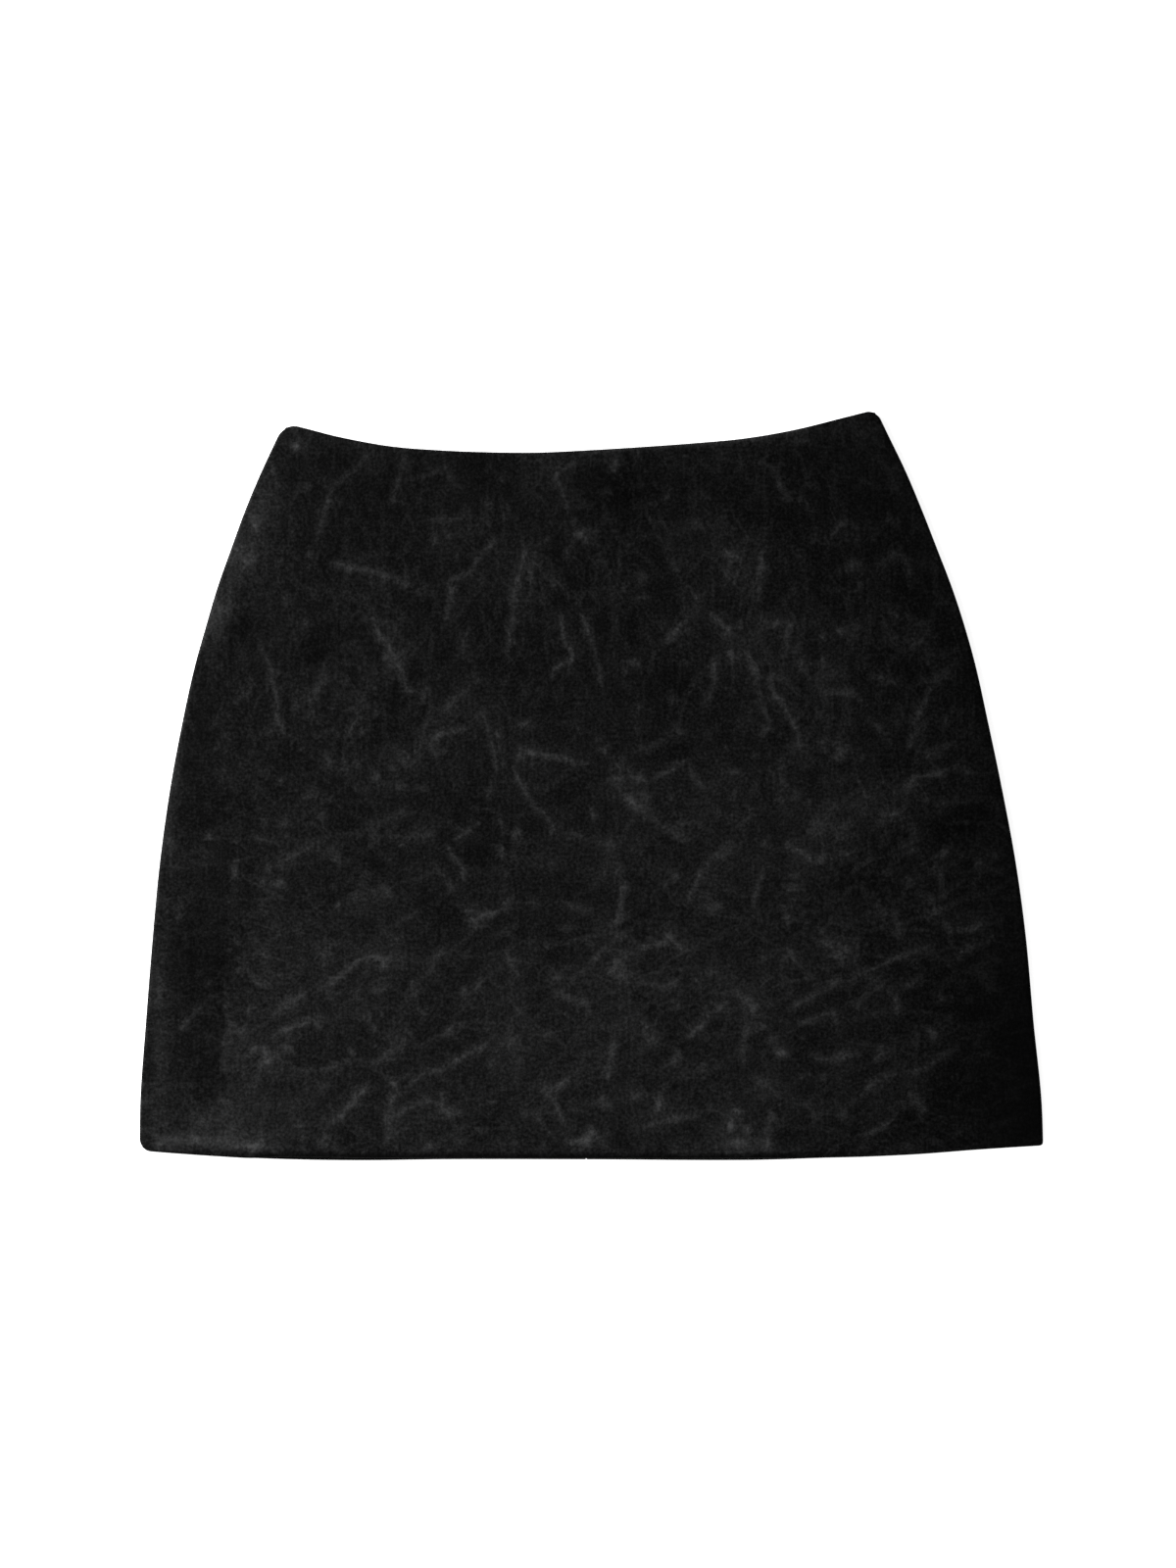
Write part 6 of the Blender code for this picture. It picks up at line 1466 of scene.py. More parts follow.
def front_dress(x, y, across, from_waist, from_hem):
    edge = np.minimum(np.minimum(from_hem, from_waist), np.maximum(across, 0.0))
    # painted light and shade of the lie, with the hide's own colouring, from the two tables above
    tones_and_painted_light = ridges(PAINTED_LIGHT_AND_HIDE_TONE + PATCHY_TONE_AND_PAINTED_LIGHT, x, y)
    # painted shade and light on the trough that runs up beside the left seam: darker on its slope, lighter past the
    # sharp edge where the leather rises again
    step = ease((x + 217.5) / 2.6 + 0.5)
    trough_shade_band = np.exp(-((y + 150.0) / 40.0) ** 4) + 0.3 * np.exp(-((y + 80.0) / 34.0) ** 4)
    tones_and_painted_light = np.where(x < -190.0, tones_and_painted_light + 1.3 * trough_shade_band * (step - 0.5) * np.exp(
        -((x + 218.0) / 22.0) ** 2), tones_and_painted_light)
    # painted shade along the front's hem: the bend where the leather folds back is darkened, most between x -185 and
    # 120 mm, where the back's hem shows below it
    hem_shade = np.exp(-(np.maximum(from_hem - 0.6, 0.0) / 1.7) ** 2)
    tones_and_painted_light -= 6.0 * hem_shade * (0.25 + 0.75 * ease((x + 215.0) / 30.0)) * (
        1.0 - ease((x - 120.0) / 50.0))
    tones_and_painted_light += 0.7 * np.exp(-(np.maximum(from_waist - 0.8, 0.0) / 1.3) ** 2)
    tones_and_painted_light += 1.2 * np.exp(-(from_waist / 3.2) ** 2) * ease((x + 14.0) / 24.0) * (
        1.0 - ease((x - 124.0) / 16.0))
    extra, fields = all_fields(x, y, CREASES, PATCHES, tones_and_painted_light, ease((edge - 1.0) / 7.0))
    extra += ridges(SWELLS, x, y) * ease((edge - 2.0) / 13.0)
    extra += (0.22 * rough(x, y, 34.0, 1.3) + 0.10 * rough(x, y, 13.0, 2.9)
              + 0.05 * rough(x, y, 6.0, 4.1)) * ease(edge / 10.0)
    # never down into the back and the zip
    plain = front_base(x, y, across, from_waist, from_hem)
    ply = ply_at(np.maximum(across, 0.0), from_waist, from_hem)
    back = back_rise(x, y) + ply_at(np.minimum(across, np.abs(x - CB_X)), from_waist, from_hem)
    floor = back + SEAM_GAP + ply - plain
    return np.maximum(extra, np.minimum(floor, 0.0)), fields


def make_front():
    count = round((491.0 + 306.0) / 2.0 / FRONT_GRAIN * 1.14)
    start = SEAM_HEIGHT + SIDE_WALL
    lip = SEAM_HEIGHT + SEAM_GAP / 2.0
    columns = side_part("left", FRONT_GRAIN, start, lip, True)
    columns += [("between", k / count, "left", 22.0, "right", 22.0) for k in range(1, count)]
    columns += list(reversed(side_part("right", FRONT_GRAIN, start, lip, True)))
    rows = make_rows(FRONT_GRAIN, 424.0)
    return panel("front_leather", columns, rows, front_hem_y, front_base, front_dress, True,
                 kept_columns(columns), kept_rows(rows))


# ---------------------------------------------------------------- the back
def back_base(x, y, across, from_waist, from_hem):
    return back_rise(x, y)


# the same hide was cut for the back: its creases lie turned round and shifted
BACK_CREASES = [(s, w, [(14.0 - px, -6.0 - py) for px, py in pts]) for s, w, pts in CREASES]
BACK_PATCHES = [(14.0 - px, -6.0 - py, r, a) for px, py, r, a in PATCHES]
BACK_SWELLS = [
    (-190.0, 90.0, 66.0, 60.0, 12.0, 0.5), (-120.0, 20.0, 24.0, 60.0, 11.0, 0.45),
    (-150.0, -110.0, 140.0, 60.0, 12.0, 0.5), (-70.0, -150.0, 20.0, 60.0, 12.0, 0.4),
    (-80.0, 110.0, 120.0, 50.0, 10.0, 0.35), (180.0, 80.0, 118.0, 60.0, 12.0, 0.5),
    (110.0, 30.0, 160.0, 60.0, 11.0, 0.45), (170.0, -90.0, 36.0, 60.0, 12.0, 0.5),
    (80.0, -150.0, 150.0, 60.0, 12.0, 0.4), (90.0, 130.0, 60.0, 50.0, 10.0, 0.35),
    (-225.0, -60.0, 84.0, 60.0, 9.0, 0.4), (228.0, -40.0, 98.0, 60.0, 9.0, 0.4),
]


def back_dress(x, y, across, from_waist, from_hem):
    edge = np.minimum(np.minimum(from_hem, from_waist), np.maximum(across, 0.0))
    past = np.abs(x - CB_X)
    edge = np.minimum(edge, past)
    tones_and_painted_light = 0.35 * rough(x, y, 60.0, 8.8) + 0.5 * np.exp(-((past - 4.0) / 5.0) ** 2) * 0.4
    tones_and_painted_light += 0.4 * np.exp(-(np.maximum(from_waist - 0.8, 0.0) / 1.3) ** 2)
    # painted shade: the back's hem edge is darkened as if in the shadow of the front's hem above it
    tones_and_painted_light -= 6.0 * np.exp(-(np.maximum(from_hem - 1.2, 0.0) / 1.6) ** 2)
    extra, fields = all_fields(x, y, BACK_CREASES, BACK_PATCHES, tones_and_painted_light,
                               ease((edge - 1.0) / 7.0))
    # its outer face lies on the floor: the creases and swells only lift it
    lifted = 0.5 * np.abs(extra) + np.maximum(ridges(BACK_SWELLS, x, y), 0.0) * ease(
        (edge - 3.0) / 14.0)
    lifted += 0.12 * (1.0 + rough(x, y, 26.0, 6.1)) * ease(edge / 12.0)
    quiet = ease((past - 14.0) / 16.0)
    return np.minimum(lifted, 0.75) * quiet, fields


def make_back(name, side):
    cb = "cb_low" if side == "left" else "cb_high"
    count = round((246.0 + 152.0) / 2.0 / BACK_GRAIN * 1.14)
    start = SEAM_HEIGHT - SIDE_WALL
    lip = SEAM_HEIGHT - SEAM_GAP / 2.0
    columns = side_part(side, BACK_GRAIN, start, lip, False)
    columns += [("between", k / count, side, 22.0, cb, 20.0) for k in range(1, count)]
    columns += cb_part(cb, BACK_GRAIN)
    if side == "right":
        columns.reverse()
    rows = make_rows(BACK_GRAIN, 424.0)
    return panel(name, columns, rows, hem_y, back_base, back_dress, False,
                 kept_columns(columns), kept_rows(rows))


# ---------------------------------------------------------------- materials
def new_material(name):
    material = bpy.data.materials.new(name)
    material.use_nodes = True
    return material, material.node_tree, material.node_tree.nodes["Principled BSDF"]


def node(tree, kind, inputs=None, **settings):
    n = tree.nodes.new(kind)
    for key, value in settings.items():
        setattr(n, key, value)
    for key, value in (inputs or {}).items():
        socket = n.inputs[key]
        if isinstance(value, bpy.types.NodeSocket):
            tree.links.new(value, socket)
        else:
            socket.default_value = value
    return n


def calc(tree, operation, a, b=None, c=None, clamp=False):
    inputs = {0: a}
    if b is not None:
        inputs[1] = b
    if c is not None:
        inputs[2] = c
    return node(tree, "ShaderNodeMath", inputs, operation=operation, use_clamp=clamp).outputs[0]


def ranged(tree, value, lo, hi, to_lo, to_hi, smooth=True):
    return node(tree, "ShaderNodeMapRange",
                {"Value": value, "From Min": lo, "From Max": hi, "To Min": to_lo, "To Max": to_hi},
                interpolation_type='SMOOTHSTEP' if smooth else 'LINEAR').outputs[0]


def clouds(tree, vector, scale, detail=3.0, roughness=0.55, distortion=0.0):
    return node(tree, "ShaderNodeTexNoise",
                {"Vector": vector, "Scale": scale, "Detail": detail, "Roughness": roughness,
                 "Distortion": distortion}).outputs["Fac"]


def stretched(tree, vector, scale, turn=0.0):
    return node(tree, "ShaderNodeMapping",
                {"Vector": vector, "Scale": scale, "Rotation": (0.0, 0.0, turn)}).outputs[0]


def leather():
    material, tree, shader = new_material("waxed_leather")
    here = node(tree, "ShaderNodeTexCoord").outputs["Object"]

    def channel(number):
        return node(tree, "ShaderNodeAttribute", attribute_type='GEOMETRY', attribute_name=number)

    # the pale lines: each channel's distance, made ragged, turned into a soft line
    ragged = calc(tree, 'SUBTRACT', clouds(tree, here, 330.0, 4.0, 0.75), 0.5)
    ragged = calc(tree, 'MULTIPLY', ragged, 2.3)
    lines = None
    for k in (1, 2):
        far = channel("crease_d%d" % k)
        force = channel("crease_m%d" % k)
        split_far = node(tree, "ShaderNodeSeparateColor", {"Color": far.outputs["Color"]})
        split_force = node(tree, "ShaderNodeSeparateColor", {"Color": force.outputs["Color"]})
        fars = [*split_far.outputs, far.outputs["Alpha"]]
        forces = [*split_force.outputs, force.outputs["Alpha"]]
        for d, m in zip(fars, forces):
            d = calc(tree, 'ADD', calc(tree, 'ABSOLUTE', d), ragged)
            fall = calc(tree, 'EXPONENT', calc(tree, 'MULTIPLY', calc(tree, 'MULTIPLY', d, d), -1.0))
            line = calc(tree, 'MULTIPLY', fall, m)
            lines = line if lines is None else calc(tree, 'MAXIMUM', lines, line)
    broken = ranged(tree, clouds(tree, here, 230.0, 4.0, 0.7), 0.34, 0.62, 0.45, 1.4)
    lines = calc(tree, 'MULTIPLY', lines, broken)

    # smoky mottling at several sizes, down to the speckle of the sanded surface
    def mottle(scale, detail, roughness, distortion, amount):
        n = clouds(tree, here, scale, detail, roughness, distortion)
        return calc(tree, 'MULTIPLY', calc(tree, 'SUBTRACT', n, 0.5), amount)

    smoke = mottle(22.0, 2.0, 0.5, 0.6, 38.0)
    for layer in ((74.0, 2.0, 0.55, 0.8, 11.0), (190.0, 1.0, 0.6, 0.0, 13.0),
                  (560.0, 1.0, 0.7, 0.0, 67.0)):
        smoke = calc(tree, 'ADD', smoke, mottle(*layer))
    nap = calc(tree, 'MULTIPLY', calc(tree, 'SUBTRACT', clouds(
        tree, stretched(tree, here, (620.0, 95.0, 300.0)), 1.0, 1.0, 0.6), 0.5), 17.0)
    shred = ranged(tree, clouds(tree, here, 210.0, 4.0, 0.72, 0.8), 0.34, 0.66, 0.55, 1.3)

    sideways = node(tree, "ShaderNodeVectorMath", {0: node(
        tree, "ShaderNodeTexNoise", {"Vector": here, "Scale": 70.0, "Detail": 3.0}).outputs["Color"],
        1: (0.5, 0.5, 0.5)}, operation='SUBTRACT').outputs[0]

    def wisps(turn, along_it, across_it, shift, often):
        """Wax broken along one direction: each wisp has a crisp side and a fading side."""
        turned = node(tree, "ShaderNodeMapping",
                      {"Vector": here, "Rotation": (0.0, 0.0, -turn)}).outputs[0]
        place = node(tree, "ShaderNodeMapping", {
            "Vector": turned, "Location": (shift, shift * 0.7, 0.0),
            "Scale": (along_it, across_it, 60.0)}).outputs[0]
        n = clouds(tree, place, 1.0, 4.0, 0.58, 0.3)
        saw = calc(tree, 'FRACT', calc(tree, 'MULTIPLY', n, often))
        fade = calc(tree, 'POWER', saw, 3.0)
        crisp = ranged(tree, saw, 0.77, 1.0, 1.0, 0.0)
        where_ = ranged(tree, clouds(tree, place, 0.55, 2.0, 0.5), 0.45, 0.62, 0.0, 1.0)
        return calc(tree, 'MULTIPLY', calc(tree, 'MULTIPLY', fade, crisp), where_)

    def crumple(turn, along_it, across_it, shift, reach):
        """Facets of crumpled leather: straight folds that meet, pale with wax along them, and each facet given its own
        painted light, so one side of a fold looks paler than the other.
        """
        turned = node(tree, "ShaderNodeMapping",
                      {"Vector": here, "Rotation": (0.0, 0.0, -turn)}).outputs[0]
        place = node(tree, "ShaderNodeMapping", {
            "Vector": turned, "Location": (shift, shift * 0.6, 0.0),
            "Scale": (along_it, across_it, 60.0)}).outputs[0]
        sway = node(tree, "ShaderNodeVectorMath", {0: sideways, 1: (0.20, 0.20, 0.0)},
                    operation='MULTIPLY').outputs[0]
        place = node(tree, "ShaderNodeVectorMath", {0: place, 1: sway},
                     operation='ADD').outputs[0]
        edge = node(tree, "ShaderNodeTexVoronoi", {"Vector": place, "Scale": 1.0},
                    feature='DISTANCE_TO_EDGE', voronoi_dimensions='2D').outputs["Distance"]
        facet = node(tree, "ShaderNodeTexVoronoi", {"Vector": place, "Scale": 1.0},
                     feature='F1', voronoi_dimensions='2D').outputs["Color"]
        lit = node(tree, "ShaderNodeSeparateColor", {"Color": facet}).outputs[0]
        near = calc(tree, 'POWER', ranged(tree, edge, 0.0, reach, 1.0, 0.0), 4.0)
        lit = ranged(tree, lit, 0.30, 1.0, 0.0, 1.0, False)
        lit = calc(tree, 'ADD', 0.42, calc(tree, 'MULTIPLY', calc(
            tree, 'SUBTRACT', lit, 0.42), ranged(tree, edge, 0.0, 0.09, 0.0, 1.0)))
        open_ = ranged(tree, clouds(tree, place, 0.8, 2.0, 0.6), 0.36, 0.58, 0.25, 1.0)
        return calc(tree, 'MULTIPLY', calc(tree, 'MULTIPLY', near, lit), open_)

    height_up = node(tree, "ShaderNodeSeparateXYZ", {"Vector": here}).outputs[1]
    upper = ranged(tree, calc(tree, 'ADD', height_up, calc(
        tree, 'MULTIPLY', calc(tree, 'SUBTRACT', clouds(tree, here, 9.0, 2.0), 0.5), 0.5)),
        -0.05, 0.06, 0.0, 1.0)
    lower = calc(tree, 'SUBTRACT', 1.0, upper)
    steep = calc(tree, 'MAXIMUM', wisps(1.42, 20.0, 62.0, 0.0, 4.0),
                 wisps(1.95, 24.0, 58.0, 3.1, 4.0))
    slant = calc(tree, 'MAXIMUM', wisps(0.5, 22.0, 58.0, 5.3, 4.0),
                 wisps(-0.35, 26.0, 52.0, 8.7, 4.0))
    scuffs = calc(tree, 'MAXIMUM',
                  calc(tree, 'MULTIPLY', steep, ranged(tree, upper, 0.0, 1.0, 0.35, 1.0)),
                  calc(tree, 'MULTIPLY', slant, ranged(tree, lower, 0.0, 1.0, 0.35, 1.0)))
    folds_up = calc(tree, 'MAXIMUM', crumple(1.45, 19.0, 44.0, 2.2, 0.34),
                    crumple(1.85, 34.0, 70.0, 6.4, 0.34))
    folds_across = calc(tree, 'MAXIMUM', crumple(0.5, 20.0, 42.0, 4.1, 0.34),
                        crumple(-0.2, 34.0, 66.0, 9.3, 0.34))
    folds = calc(tree, 'ADD', calc(tree, 'MULTIPLY', folds_up, upper),
                 calc(tree, 'MULTIPLY', folds_across, lower))
    scuffs = calc(tree, 'MULTIPLY', calc(tree, 'MAXIMUM', scuffs, calc(
        tree, 'MULTIPLY', folds, 0.95)), shred)
    patch = calc(tree, 'MULTIPLY', channel("patch").outputs["Fac"],
                 ranged(tree, clouds(tree, here, 190.0, 4.0, 0.7, 0.6), 0.36, 0.64, 0.15, 1.25))
    halo = calc(tree, 'MULTIPLY', channel("halo").outputs["Fac"], shred)

    # how light it looks, in steps of a 255-step grey scale, then turned into reflectance
    pale = calc(tree, 'MULTIPLY', lines, 14.5)
    for part, amount in ((halo, 25.0), (patch, 15.0), (scuffs, 31.0)):
        pale = calc(tree, 'ADD', pale, calc(tree, 'MULTIPLY', part, amount))
    # the attribute carries painted light and shade as well as the hide's own colouring: it darkens or lightens the
    # colour
    shade = calc(tree, 'POWER', 2.0, calc(tree, 'MULTIPLY', channel("tone").outputs["Fac"], 0.42))
    dim = calc(tree, 'MINIMUM', shade, 1.0)
    looks = calc(tree, 'ADD', calc(tree, 'ADD', smoke, nap), pale)
    looks = calc(tree, 'MULTIPLY', looks, calc(tree, 'POWER', dim, 0.4))
    looks = calc(tree, 'MAXIMUM', calc(tree, 'ADD', looks, calc(
        tree, 'MULTIPLY', dim, 16.5)), 0.0)
    looks = calc(tree, 'ADD', looks, calc(tree, 'MULTIPLY', calc(
        tree, 'MAXIMUM', calc(tree, 'SUBTRACT', shade, 1.0), 0.0), 22.0))
    amount = calc(tree, 'POWER', calc(tree, 'MULTIPLY', calc(tree, 'ADD', looks, 14.0), 1 / 269.0), 2.4)
    amount = calc(tree, 'SUBTRACT', amount, 0.0008)
    amount = calc(tree, 'MULTIPLY', amount, 11.0, clamp=True)
    colour = node(tree, "ShaderNodeMix", {
        "Factor": amount, 6: (0.0001, 0.0001, 0.0001, 1.0), 7: (0.0500, 0.0505, 0.0510, 1.0)},
        data_type='RGBA').outputs[2]
    tree.links.new(colour, shader.inputs["Base Color"])

    rough_to = ranged(tree, looks, 12.0, 45.0, 0.74, 0.62, False)
    tree.links.new(rough_to, shader.inputs["Roughness"])
    shader.inputs["Specular IOR Level"].default_value = 0.05

    # grain: small pebbles and the fibres between them; the creases themselves are in the mesh
    cells = node(tree, "ShaderNodeTexVoronoi", {"Vector": here, "Scale": 980.0},
                 feature='F1', voronoi_dimensions='2D').outputs["Distance"]
    height = calc(tree, 'ADD', calc(tree, 'MULTIPLY', cells, 0.35), calc(
        tree, 'MULTIPLY', clouds(tree, here, 620.0, 2.0, 0.6), 0.6))
    bump = node(tree, "ShaderNodeBump", {"Height": height, "Strength": 0.55, "Distance": 0.00016})
    tree.links.new(bump.outputs[0], shader.inputs["Normal"])
    return material


def suede():
    material, tree, shader = new_material("flesh_side_suede")
    here = node(tree, "ShaderNodeTexCoord").outputs["Object"]
    fibres = clouds(tree, stretched(tree, here, (900.0, 300.0, 600.0), 0.3), 1.0, 4.0, 0.7)
    blotch = clouds(tree, here, 60.0, 4.0, 0.6)
    amount = calc(tree, 'MULTIPLY', ranged(tree, fibres, 0.3, 0.7, 0.6, 1.3),
                  ranged(tree, blotch, 0.3, 0.7, 0.3, 0.6))
    colour = node(tree, "ShaderNodeMix", {
        "Factor": amount, 6: (0.004, 0.004, 0.0042, 1.0), 7: (0.026, 0.026, 0.027, 1.0)},
        data_type='RGBA').outputs[2]
    tree.links.new(colour, shader.inputs["Base Color"])
    tree.links.new(ranged(tree, blotch, 0.3, 0.7, 0.86, 0.95), shader.inputs["Roughness"])
    shader.inputs["Specular IOR Level"].default_value = 0.15
    shader.inputs["Sheen Weight"].default_value = 0.15
    shader.inputs["Sheen Roughness"].default_value = 0.6
    bump = node(tree, "ShaderNodeBump", {"Height": fibres, "Strength": 0.6, "Distance": 0.0002})
    tree.links.new(bump.outputs[0], shader.inputs["Normal"])
    return material


def woven_tape():
    material, tree, shader = new_material("zip_tape_twill")
    here = node(tree, "ShaderNodeTexCoord").outputs["Object"]
    split = node(tree, "ShaderNodeSeparateXYZ", {"Vector": here})
    across = calc(tree, 'SINE', calc(tree, 'MULTIPLY', split.outputs[0], 2 * math.pi / 0.0007))
    up = calc(tree, 'SINE', calc(tree, 'MULTIPLY', calc(
        tree, 'ADD', split.outputs[1], calc(tree, 'MULTIPLY', split.outputs[0], 0.55)),
        2 * math.pi / 0.0009))
    weave = calc(tree, 'MULTIPLY', across, up)
    fuzz = clouds(tree, here, 1500.0, 3.0, 0.6)
    amount = calc(tree, 'MULTIPLY', ranged(tree, weave, -1.0, 1.0, 0.35, 1.0),
                  ranged(tree, fuzz, 0.3, 0.7, 0.7, 1.2))
    colour = node(tree, "ShaderNodeMix", {
        "Factor": amount, 6: (0.003, 0.003, 0.0032, 1.0), 7: (0.022, 0.022, 0.024, 1.0)},
        data_type='RGBA').outputs[2]
    tree.links.new(colour, shader.inputs["Base Color"])
    tree.links.new(ranged(tree, fuzz, 0.3, 0.7, 0.78, 0.92), shader.inputs["Roughness"])
    bump = node(tree, "ShaderNodeBump", {"Height": weave, "Strength": 0.5, "Distance": 0.0001})
    tree.links.new(bump.outputs[0], shader.inputs["Normal"])
    return material


def nylon():
    material, tree, shader = new_material("zip_coil_nylon")
    here = node(tree, "ShaderNodeTexCoord").outputs["Object"]
    drawn = clouds(tree, here, 700.0, 3.0, 0.6)
    colour = node(tree, "ShaderNodeMix", {
        "Factor": drawn, 6: (0.008, 0.008, 0.009, 1.0), 7: (0.024, 0.024, 0.026, 1.0)},
        data_type='RGBA').outputs[2]
    tree.links.new(colour, shader.inputs["Base Color"])
    tree.links.new(ranged(tree, drawn, 0.3, 0.7, 0.34, 0.5), shader.inputs["Roughness"])
    return material


def enamel():
    material, tree, shader = new_material("black_enamelled_metal")
    here = node(tree, "ShaderNodeTexCoord").outputs["Object"]
    orange = clouds(tree, here, 900.0, 2.0, 0.5)
    scratch = clouds(tree, stretched(tree, here, (3200.0, 240.0, 900.0), 0.4), 1.0, 3.0, 0.6)
    worn = ranged(tree, scratch, 0.62, 0.72, 0.0, 1.0)
    colour = node(tree, "ShaderNodeMix", {
        "Factor": worn, 6: (0.010, 0.010, 0.0105, 1.0), 7: (0.05, 0.05, 0.052, 1.0)},
        data_type='RGBA').outputs[2]
    tree.links.new(colour, shader.inputs["Base Color"])
    tree.links.new(ranged(tree, worn, 0.0, 1.0, 0.26, 0.48), shader.inputs["Roughness"])
    shader.inputs["Coat Weight"].default_value = 0.3
    shader.inputs["Coat Roughness"].default_value = 0.15
    bump = node(tree, "ShaderNodeBump", {"Height": orange, "Strength": 0.15, "Distance": 0.0001})
    tree.links.new(bump.outputs[0], shader.inputs["Normal"])
    return material


def pale_floor():
    material, tree, shader = new_material("pale_floor")
    shader.inputs["Base Color"].default_value = (0.93, 0.93, 0.93, 1.0)
    shader.inputs["Roughness"].default_value = 0.9
    shader.inputs["Specular IOR Level"].default_value = 0.1
    shader.inputs["Emission Color"].default_value = (1.0, 1.0, 1.0, 1.0)
    shader.inputs["Emission Strength"].default_value = 0.93
    return material


# ---------------------------------------------------------------- the zip
def link_mesh(name, bm):
    mesh = bpy.data.meshes.new(name)
    bm.to_mesh(mesh)
    bm.free()
    obj = bpy.data.objects.new(name, mesh)
    bpy.context.scene.collection.objects.link(obj)
    return obj


def make_coil():
    """Two interlocked nylon spirals, their turns half a pitch apart."""
    pitch, turn_steps, wire, sides = 1.3, 12, 0.26, 6
    half_wide, half_high = 0.98, CHAIN_THICK / 2 - wire
    top = SLIDER_Y - SLIDER_LENGTH / 2 - SEAM_GAP - 0.3
    bottom = SLIDER_Y - ZIP_LENGTH + 0.3
    verts, faces = [], []
    for way in (-1.0, 1.0):
        count = int((top - bottom) / pitch) * turn_steps
        t = np.arange(count + 1) / turn_steps
        angle = 2 * math.pi * t * way + (math.pi if way > 0 else 0.0)
        y = bottom + t * pitch + (pitch / 2 if way > 0 else 0.0)
        y = np.minimum(y, top)
        lift = back_rise(np.full_like(y, CB_X), y) + TURNED + SEAM_GAP + CHAIN_THICK / 2
        path = np.stack([CB_X + way * (CHAIN_WIDTH / 2 - wire - half_wide)
                         + half_wide * np.cos(angle), y, lift + half_high * np.sin(angle)], 1)
        ahead = np.gradient(path, axis=0)
        ahead /= np.linalg.norm(ahead, axis=1)[:, None]
        out = np.stack([np.cos(angle), np.zeros_like(angle), np.sin(angle)], 1)
        out -= ahead * (out * ahead).sum(1)[:, None]
        out /= np.linalg.norm(out, axis=1)[:, None]
        other = np.cross(ahead, out)
        first = len(verts)
        for k in range(sides):
            a = 2 * math.pi * k / sides
            ring = path + wire * (math.cos(a) * out + math.sin(a) * other)
            verts += (ring * MM).tolist()
        n = len(path)
        for k in range(sides):
            a, b = first + k * n, first + (k + 1) % sides * n
            faces += [[a + i, a + i + 1, b + i + 1, b + i] for i in range(n - 1)]
        faces.append([first + k * n for k in range(sides)][::-1])
        faces.append([first + k * n + n - 1 for k in range(sides)])
    mesh = bpy.data.meshes.new("zip_coil")
    mesh.from_pydata(verts, [], faces)
    bm = bmesh.new()
    bm.from_mesh(mesh)
    bmesh.ops.recalc_face_normals(bm, faces=bm.faces)
    bm.to_mesh(mesh)
    bm.free()
    mesh.shade_smooth()
    obj = bpy.data.objects.new("zip_coil", mesh)
    bpy.context.scene.collection.objects.link(obj)
    return obj


def prism(bm, outline, low, high):
    """A prism of a plan outline (mm) between two heights."""
    base = [bm.verts.new((x * MM, y * MM, low * MM)) for x, y in outline]
    top = [bm.verts.new((x * MM, y * MM, high * MM)) for x, y in outline]
    bm.faces.new(base[::-1])
    bm.faces.new(top)
    n = len(outline)
    for k in range(n):
        bm.faces.new([base[k], base[(k + 1) % n], top[(k + 1) % n], top[k]])


def bevel(obj, width, segments=3):
    m = obj.modifiers.new("edges", 'BEVEL')
    m.width = width * MM
    m.segments = segments
    m.limit_method = 'ANGLE'
    m.angle_limit = math.radians(35)


def apply_modifiers(obj):
    depsgraph = bpy.context.evaluated_depsgraph_get()
    mesh = bpy.data.meshes.new_from_object(obj.evaluated_get(depsgraph))
    obj.modifiers.clear()
    obj.data = mesh
    return obj


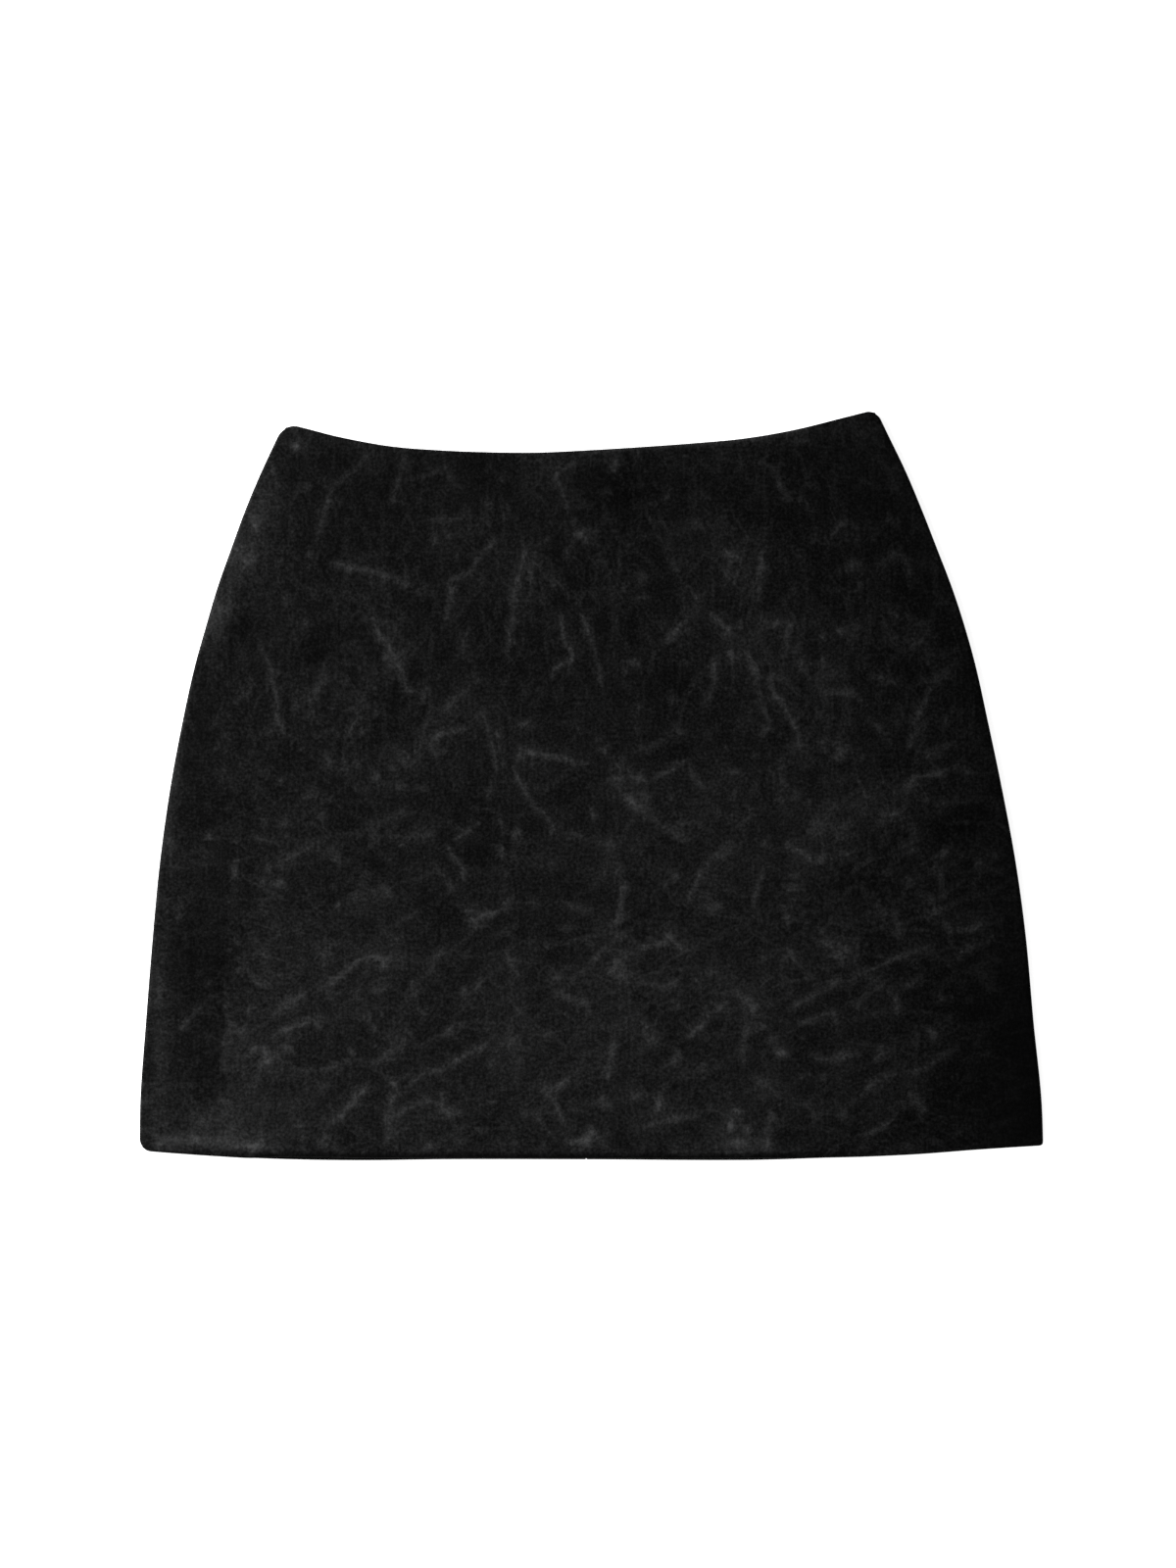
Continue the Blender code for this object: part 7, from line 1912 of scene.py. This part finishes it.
def make_slider():
    """Narrow body of two cheeks on a wedge, open along its sides for the tapes."""
    low = float(back_rise(CB_X, SLIDER_Y)) + TURNED + SEAM_GAP
    w, l = SLIDER_WIDTH / 2, SLIDER_LENGTH / 2
    bm = bmesh.new()
    cheek = [(-w * 0.72, -l), (w * 0.72, -l), (w * 0.80, -l * 0.35), (w, l * 0.30),
             (w, l * 0.80), (w * 0.72, l), (-w * 0.72, l), (-w, l * 0.80), (-w, l * 0.30),
             (-w * 0.80, -l * 0.35)]
    cheek = [(CB_X + x, SLIDER_Y + y) for x, y in cheek]
    prism(bm, cheek, low, low + 0.7)
    prism(bm, cheek, low + SLIDER_THICK - 0.7, low + SLIDER_THICK)
    wedge = [(0.0, -l * 0.25), (1.0, l * 0.35), (1.15, l * 0.9), (-1.15, l * 0.9),
             (-1.0, l * 0.35)]
    prism(bm, [(CB_X + x, SLIDER_Y + y) for x, y in wedge], low + 0.5, low + SLIDER_THICK - 0.5)
    for way in (-1.0, 1.0):
        flange = [(way * w * 0.70, -l * 0.98), (way * w * 0.92, -l * 0.6),
                  (way * w * 0.98, l * 0.2), (way * (w * 0.98 - 0.5), l * 0.2),
                  (way * (w * 0.92 - 0.5), -l * 0.6), (way * (w * 0.70 - 0.5), -l * 0.98)]
        flange = [(CB_X + x, SLIDER_Y + y) for x, y in flange]
        if way < 0:
            flange.reverse()
        prism(bm, flange, low + 0.3, low + 0.95)
    # the bridge: two legs through the slot, and a rounded bar below the leather
    half = BRIDGE_THICK / 2
    reach, leg = BRIDGE_REACH, BRIDGE_LEG
    foot, top = BRIDGE_FOOT, low + 0.5
    profile = [(-reach, top), (-reach, foot[0] + 0.45), (-reach + 0.45, foot[0]),
               (reach - 0.45, foot[0]), (reach, foot[0] + 0.45), (reach, top),
               (reach - leg, top), (reach - leg, foot[1] + 0.25), (reach - leg - 0.25, foot[1]),
               (-reach + leg + 0.25, foot[1]), (-reach + leg, foot[1] + 0.25),
               (-reach + leg, top)]
    left = [bm.verts.new(((CB_X - half) * MM, (SLIDER_Y + y) * MM, z * MM)) for y, z in profile]
    right = [bm.verts.new(((CB_X + half) * MM, (SLIDER_Y + y) * MM, z * MM)) for y, z in profile]
    bm.faces.new(left[::-1])
    bm.faces.new(right)
    n = len(profile)
    for k in range(n):
        bm.faces.new([left[k], left[(k + 1) % n], right[(k + 1) % n], right[k]])
    bmesh.ops.recalc_face_normals(bm, faces=bm.faces)
    obj = link_mesh("zip_slider_body", bm)
    bevel(obj, 0.16)
    apply_modifiers(obj)
    obj.data.shade_smooth()
    return obj


def make_pull():
    """Flat drop-shaped tab with a window round the bridge and softly rounded edges."""
    half_head, half_wide, bar = PULL_HEAD / 2, PULL_WIDTH / 2, PULL_THICK / 2
    centre = -(PULL_LENGTH - half_wide)
    outline = [(half_head - 0.4, bar), (half_head, bar - 0.4), (half_head, -PULL_WINDOW[1]),
               (half_head * 0.86, -PULL_WINDOW[1] - 3.0)]
    count = 32
    for k in range(count + 1):
        a = math.radians(20.0 - 220.0 * k / count)
        outline.append((half_wide * math.cos(a), centre + half_wide * math.sin(a)))
    outline += [(-half_head * 0.86, -PULL_WINDOW[1] - 3.0), (-half_head, -PULL_WINDOW[1]),
                (-half_head, bar - 0.4), (-half_head + 0.4, bar)]
    w = PULL_WINDOW[0] / 2
    window = [(-w, -bar), (w, -bar), (w, -PULL_WINDOW[1]), (-w, -PULL_WINDOW[1])]
    hole = [(1.05 * math.cos(a), centre + 0.3 + 1.05 * math.sin(a))
            for a in [2 * math.pi * k / 20 for k in range(20)]]
    curve = bpy.data.curves.new("zip_pull_tab", 'CURVE')
    curve.dimensions = '2D'
    curve.fill_mode = 'BOTH'
    round_off = 0.14
    curve.extrude = (PULL_THICK / 2 - round_off) * MM
    curve.bevel_depth = round_off * MM
    curve.bevel_resolution = 2
    curve.offset = -round_off * MM
    for points in (outline, window, hole):
        s = curve.splines.new('POLY')
        s.points.add(len(points) - 1)
        for p, (x, y) in zip(s.points, points):
            p.co = (x * MM, y * MM, 0.0, 1.0)
        s.use_cyclic_u = True
    shape = bpy.data.objects.new("zip_pull_shape", curve)
    bpy.context.scene.collection.objects.link(shape)
    depsgraph = bpy.context.evaluated_depsgraph_get()
    mesh = bpy.data.meshes.new_from_object(shape.evaluated_get(depsgraph))
    bpy.data.objects.remove(shape, do_unlink=True)
    bm = bmesh.new()
    bm.from_mesh(mesh)
    bmesh.ops.remove_doubles(bm, verts=bm.verts, dist=1e-6)
    bmesh.ops.recalc_face_normals(bm, faces=bm.faces)
    place = Matrix.Translation((CB_X * MM, SLIDER_Y * MM, PULL_AXIS_Z * MM)) @ Matrix.Rotation(
        PULL_TILT, 4, 'X')
    bmesh.ops.transform(bm, matrix=place, verts=bm.verts)
    bpy.data.meshes.remove(mesh)
    obj = link_mesh("zip_pull_tab", bm)
    return obj


# ---------------------------------------------------------------- put together
LEATHER, SUEDE = leather(), suede()
TWILL, NYLON, ENAMEL = woven_tape(), nylon(), enamel()

front = make_front()
back_right = make_back("back_leather_right", "left")
back_left = make_back("back_leather_left", "right")
for piece, replaced in ((front, "front_panel"), (back_right, "back_panel_right"),
                        (back_left, "back_panel_left")):
    piece.data.materials.append(LEATHER)
    piece.data.materials.append(SUEDE)
    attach(piece, "skirt")
    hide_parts(replaced)

coil = make_coil()
coil.data.materials.append(NYLON)
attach(coil, "skirt")
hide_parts("zip_chain")

slider = make_slider()
slider.data.materials.clear()
slider.data.materials.append(ENAMEL)
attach(slider, "skirt")
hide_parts("zip_slider")

pull = make_pull()
pull.data.materials.append(ENAMEL)
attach(pull, "zip_pull")
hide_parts("zip_pull")

for name in ("zip_tape_left", "zip_tape_right"):
    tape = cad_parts[name]
    tape.data.materials.clear()
    tape.data.materials.append(TWILL)

# ---------------------------------------------------------------- floor, light and camera
bm = bmesh.new()
bmesh.ops.create_grid(bm, x_segments=8, y_segments=8, size=14.0)
floor = link_mesh("floor", bm)
floor.data.materials.append(pale_floor())


def soft_light(name, place, aim, size, power):
    light = bpy.data.lights.new(name, 'AREA')
    light.shape = 'RECTANGLE'
    light.size, light.size_y = size
    light.energy = power
    obj = bpy.data.objects.new(name, light)
    bpy.context.scene.collection.objects.link(obj)
    obj.location = place
    obj.rotation_euler = (Vector(place) - Vector(aim)).to_track_quat('Z', 'Y').to_euler()
    return obj


soft_light("window", (-1.25, 0.42, 0.85), (-0.05, -0.02, 0.0), (1.1, 0.9), 44.0)
soft_light("bounce", (-0.55, -1.45, 0.9), (-0.05, -0.05, 0.0), (1.2, 0.8), 11.0)

world = bpy.data.worlds.new("studio")
bpy.context.scene.world = world
world.use_nodes = True
world.node_tree.nodes["Background"].inputs["Color"].default_value = (0.93, 0.94, 0.95, 1.0)
world.node_tree.nodes["Background"].inputs["Strength"].default_value = 0.025

camera_data = bpy.data.cameras.new("camera")
camera_data.lens = 100.0
camera_data.sensor_width = 36.0
camera_data.clip_end = 60.0
camera = bpy.data.objects.new("camera", camera_data)
bpy.context.scene.collection.objects.link(camera)
camera.location = (-0.00197, 0.00133, 2.583)
camera.rotation_euler = (0.0, 0.0, 0.0)
bpy.context.scene.camera = camera
bpy.context.scene.view_settings.view_transform = 'Standard'
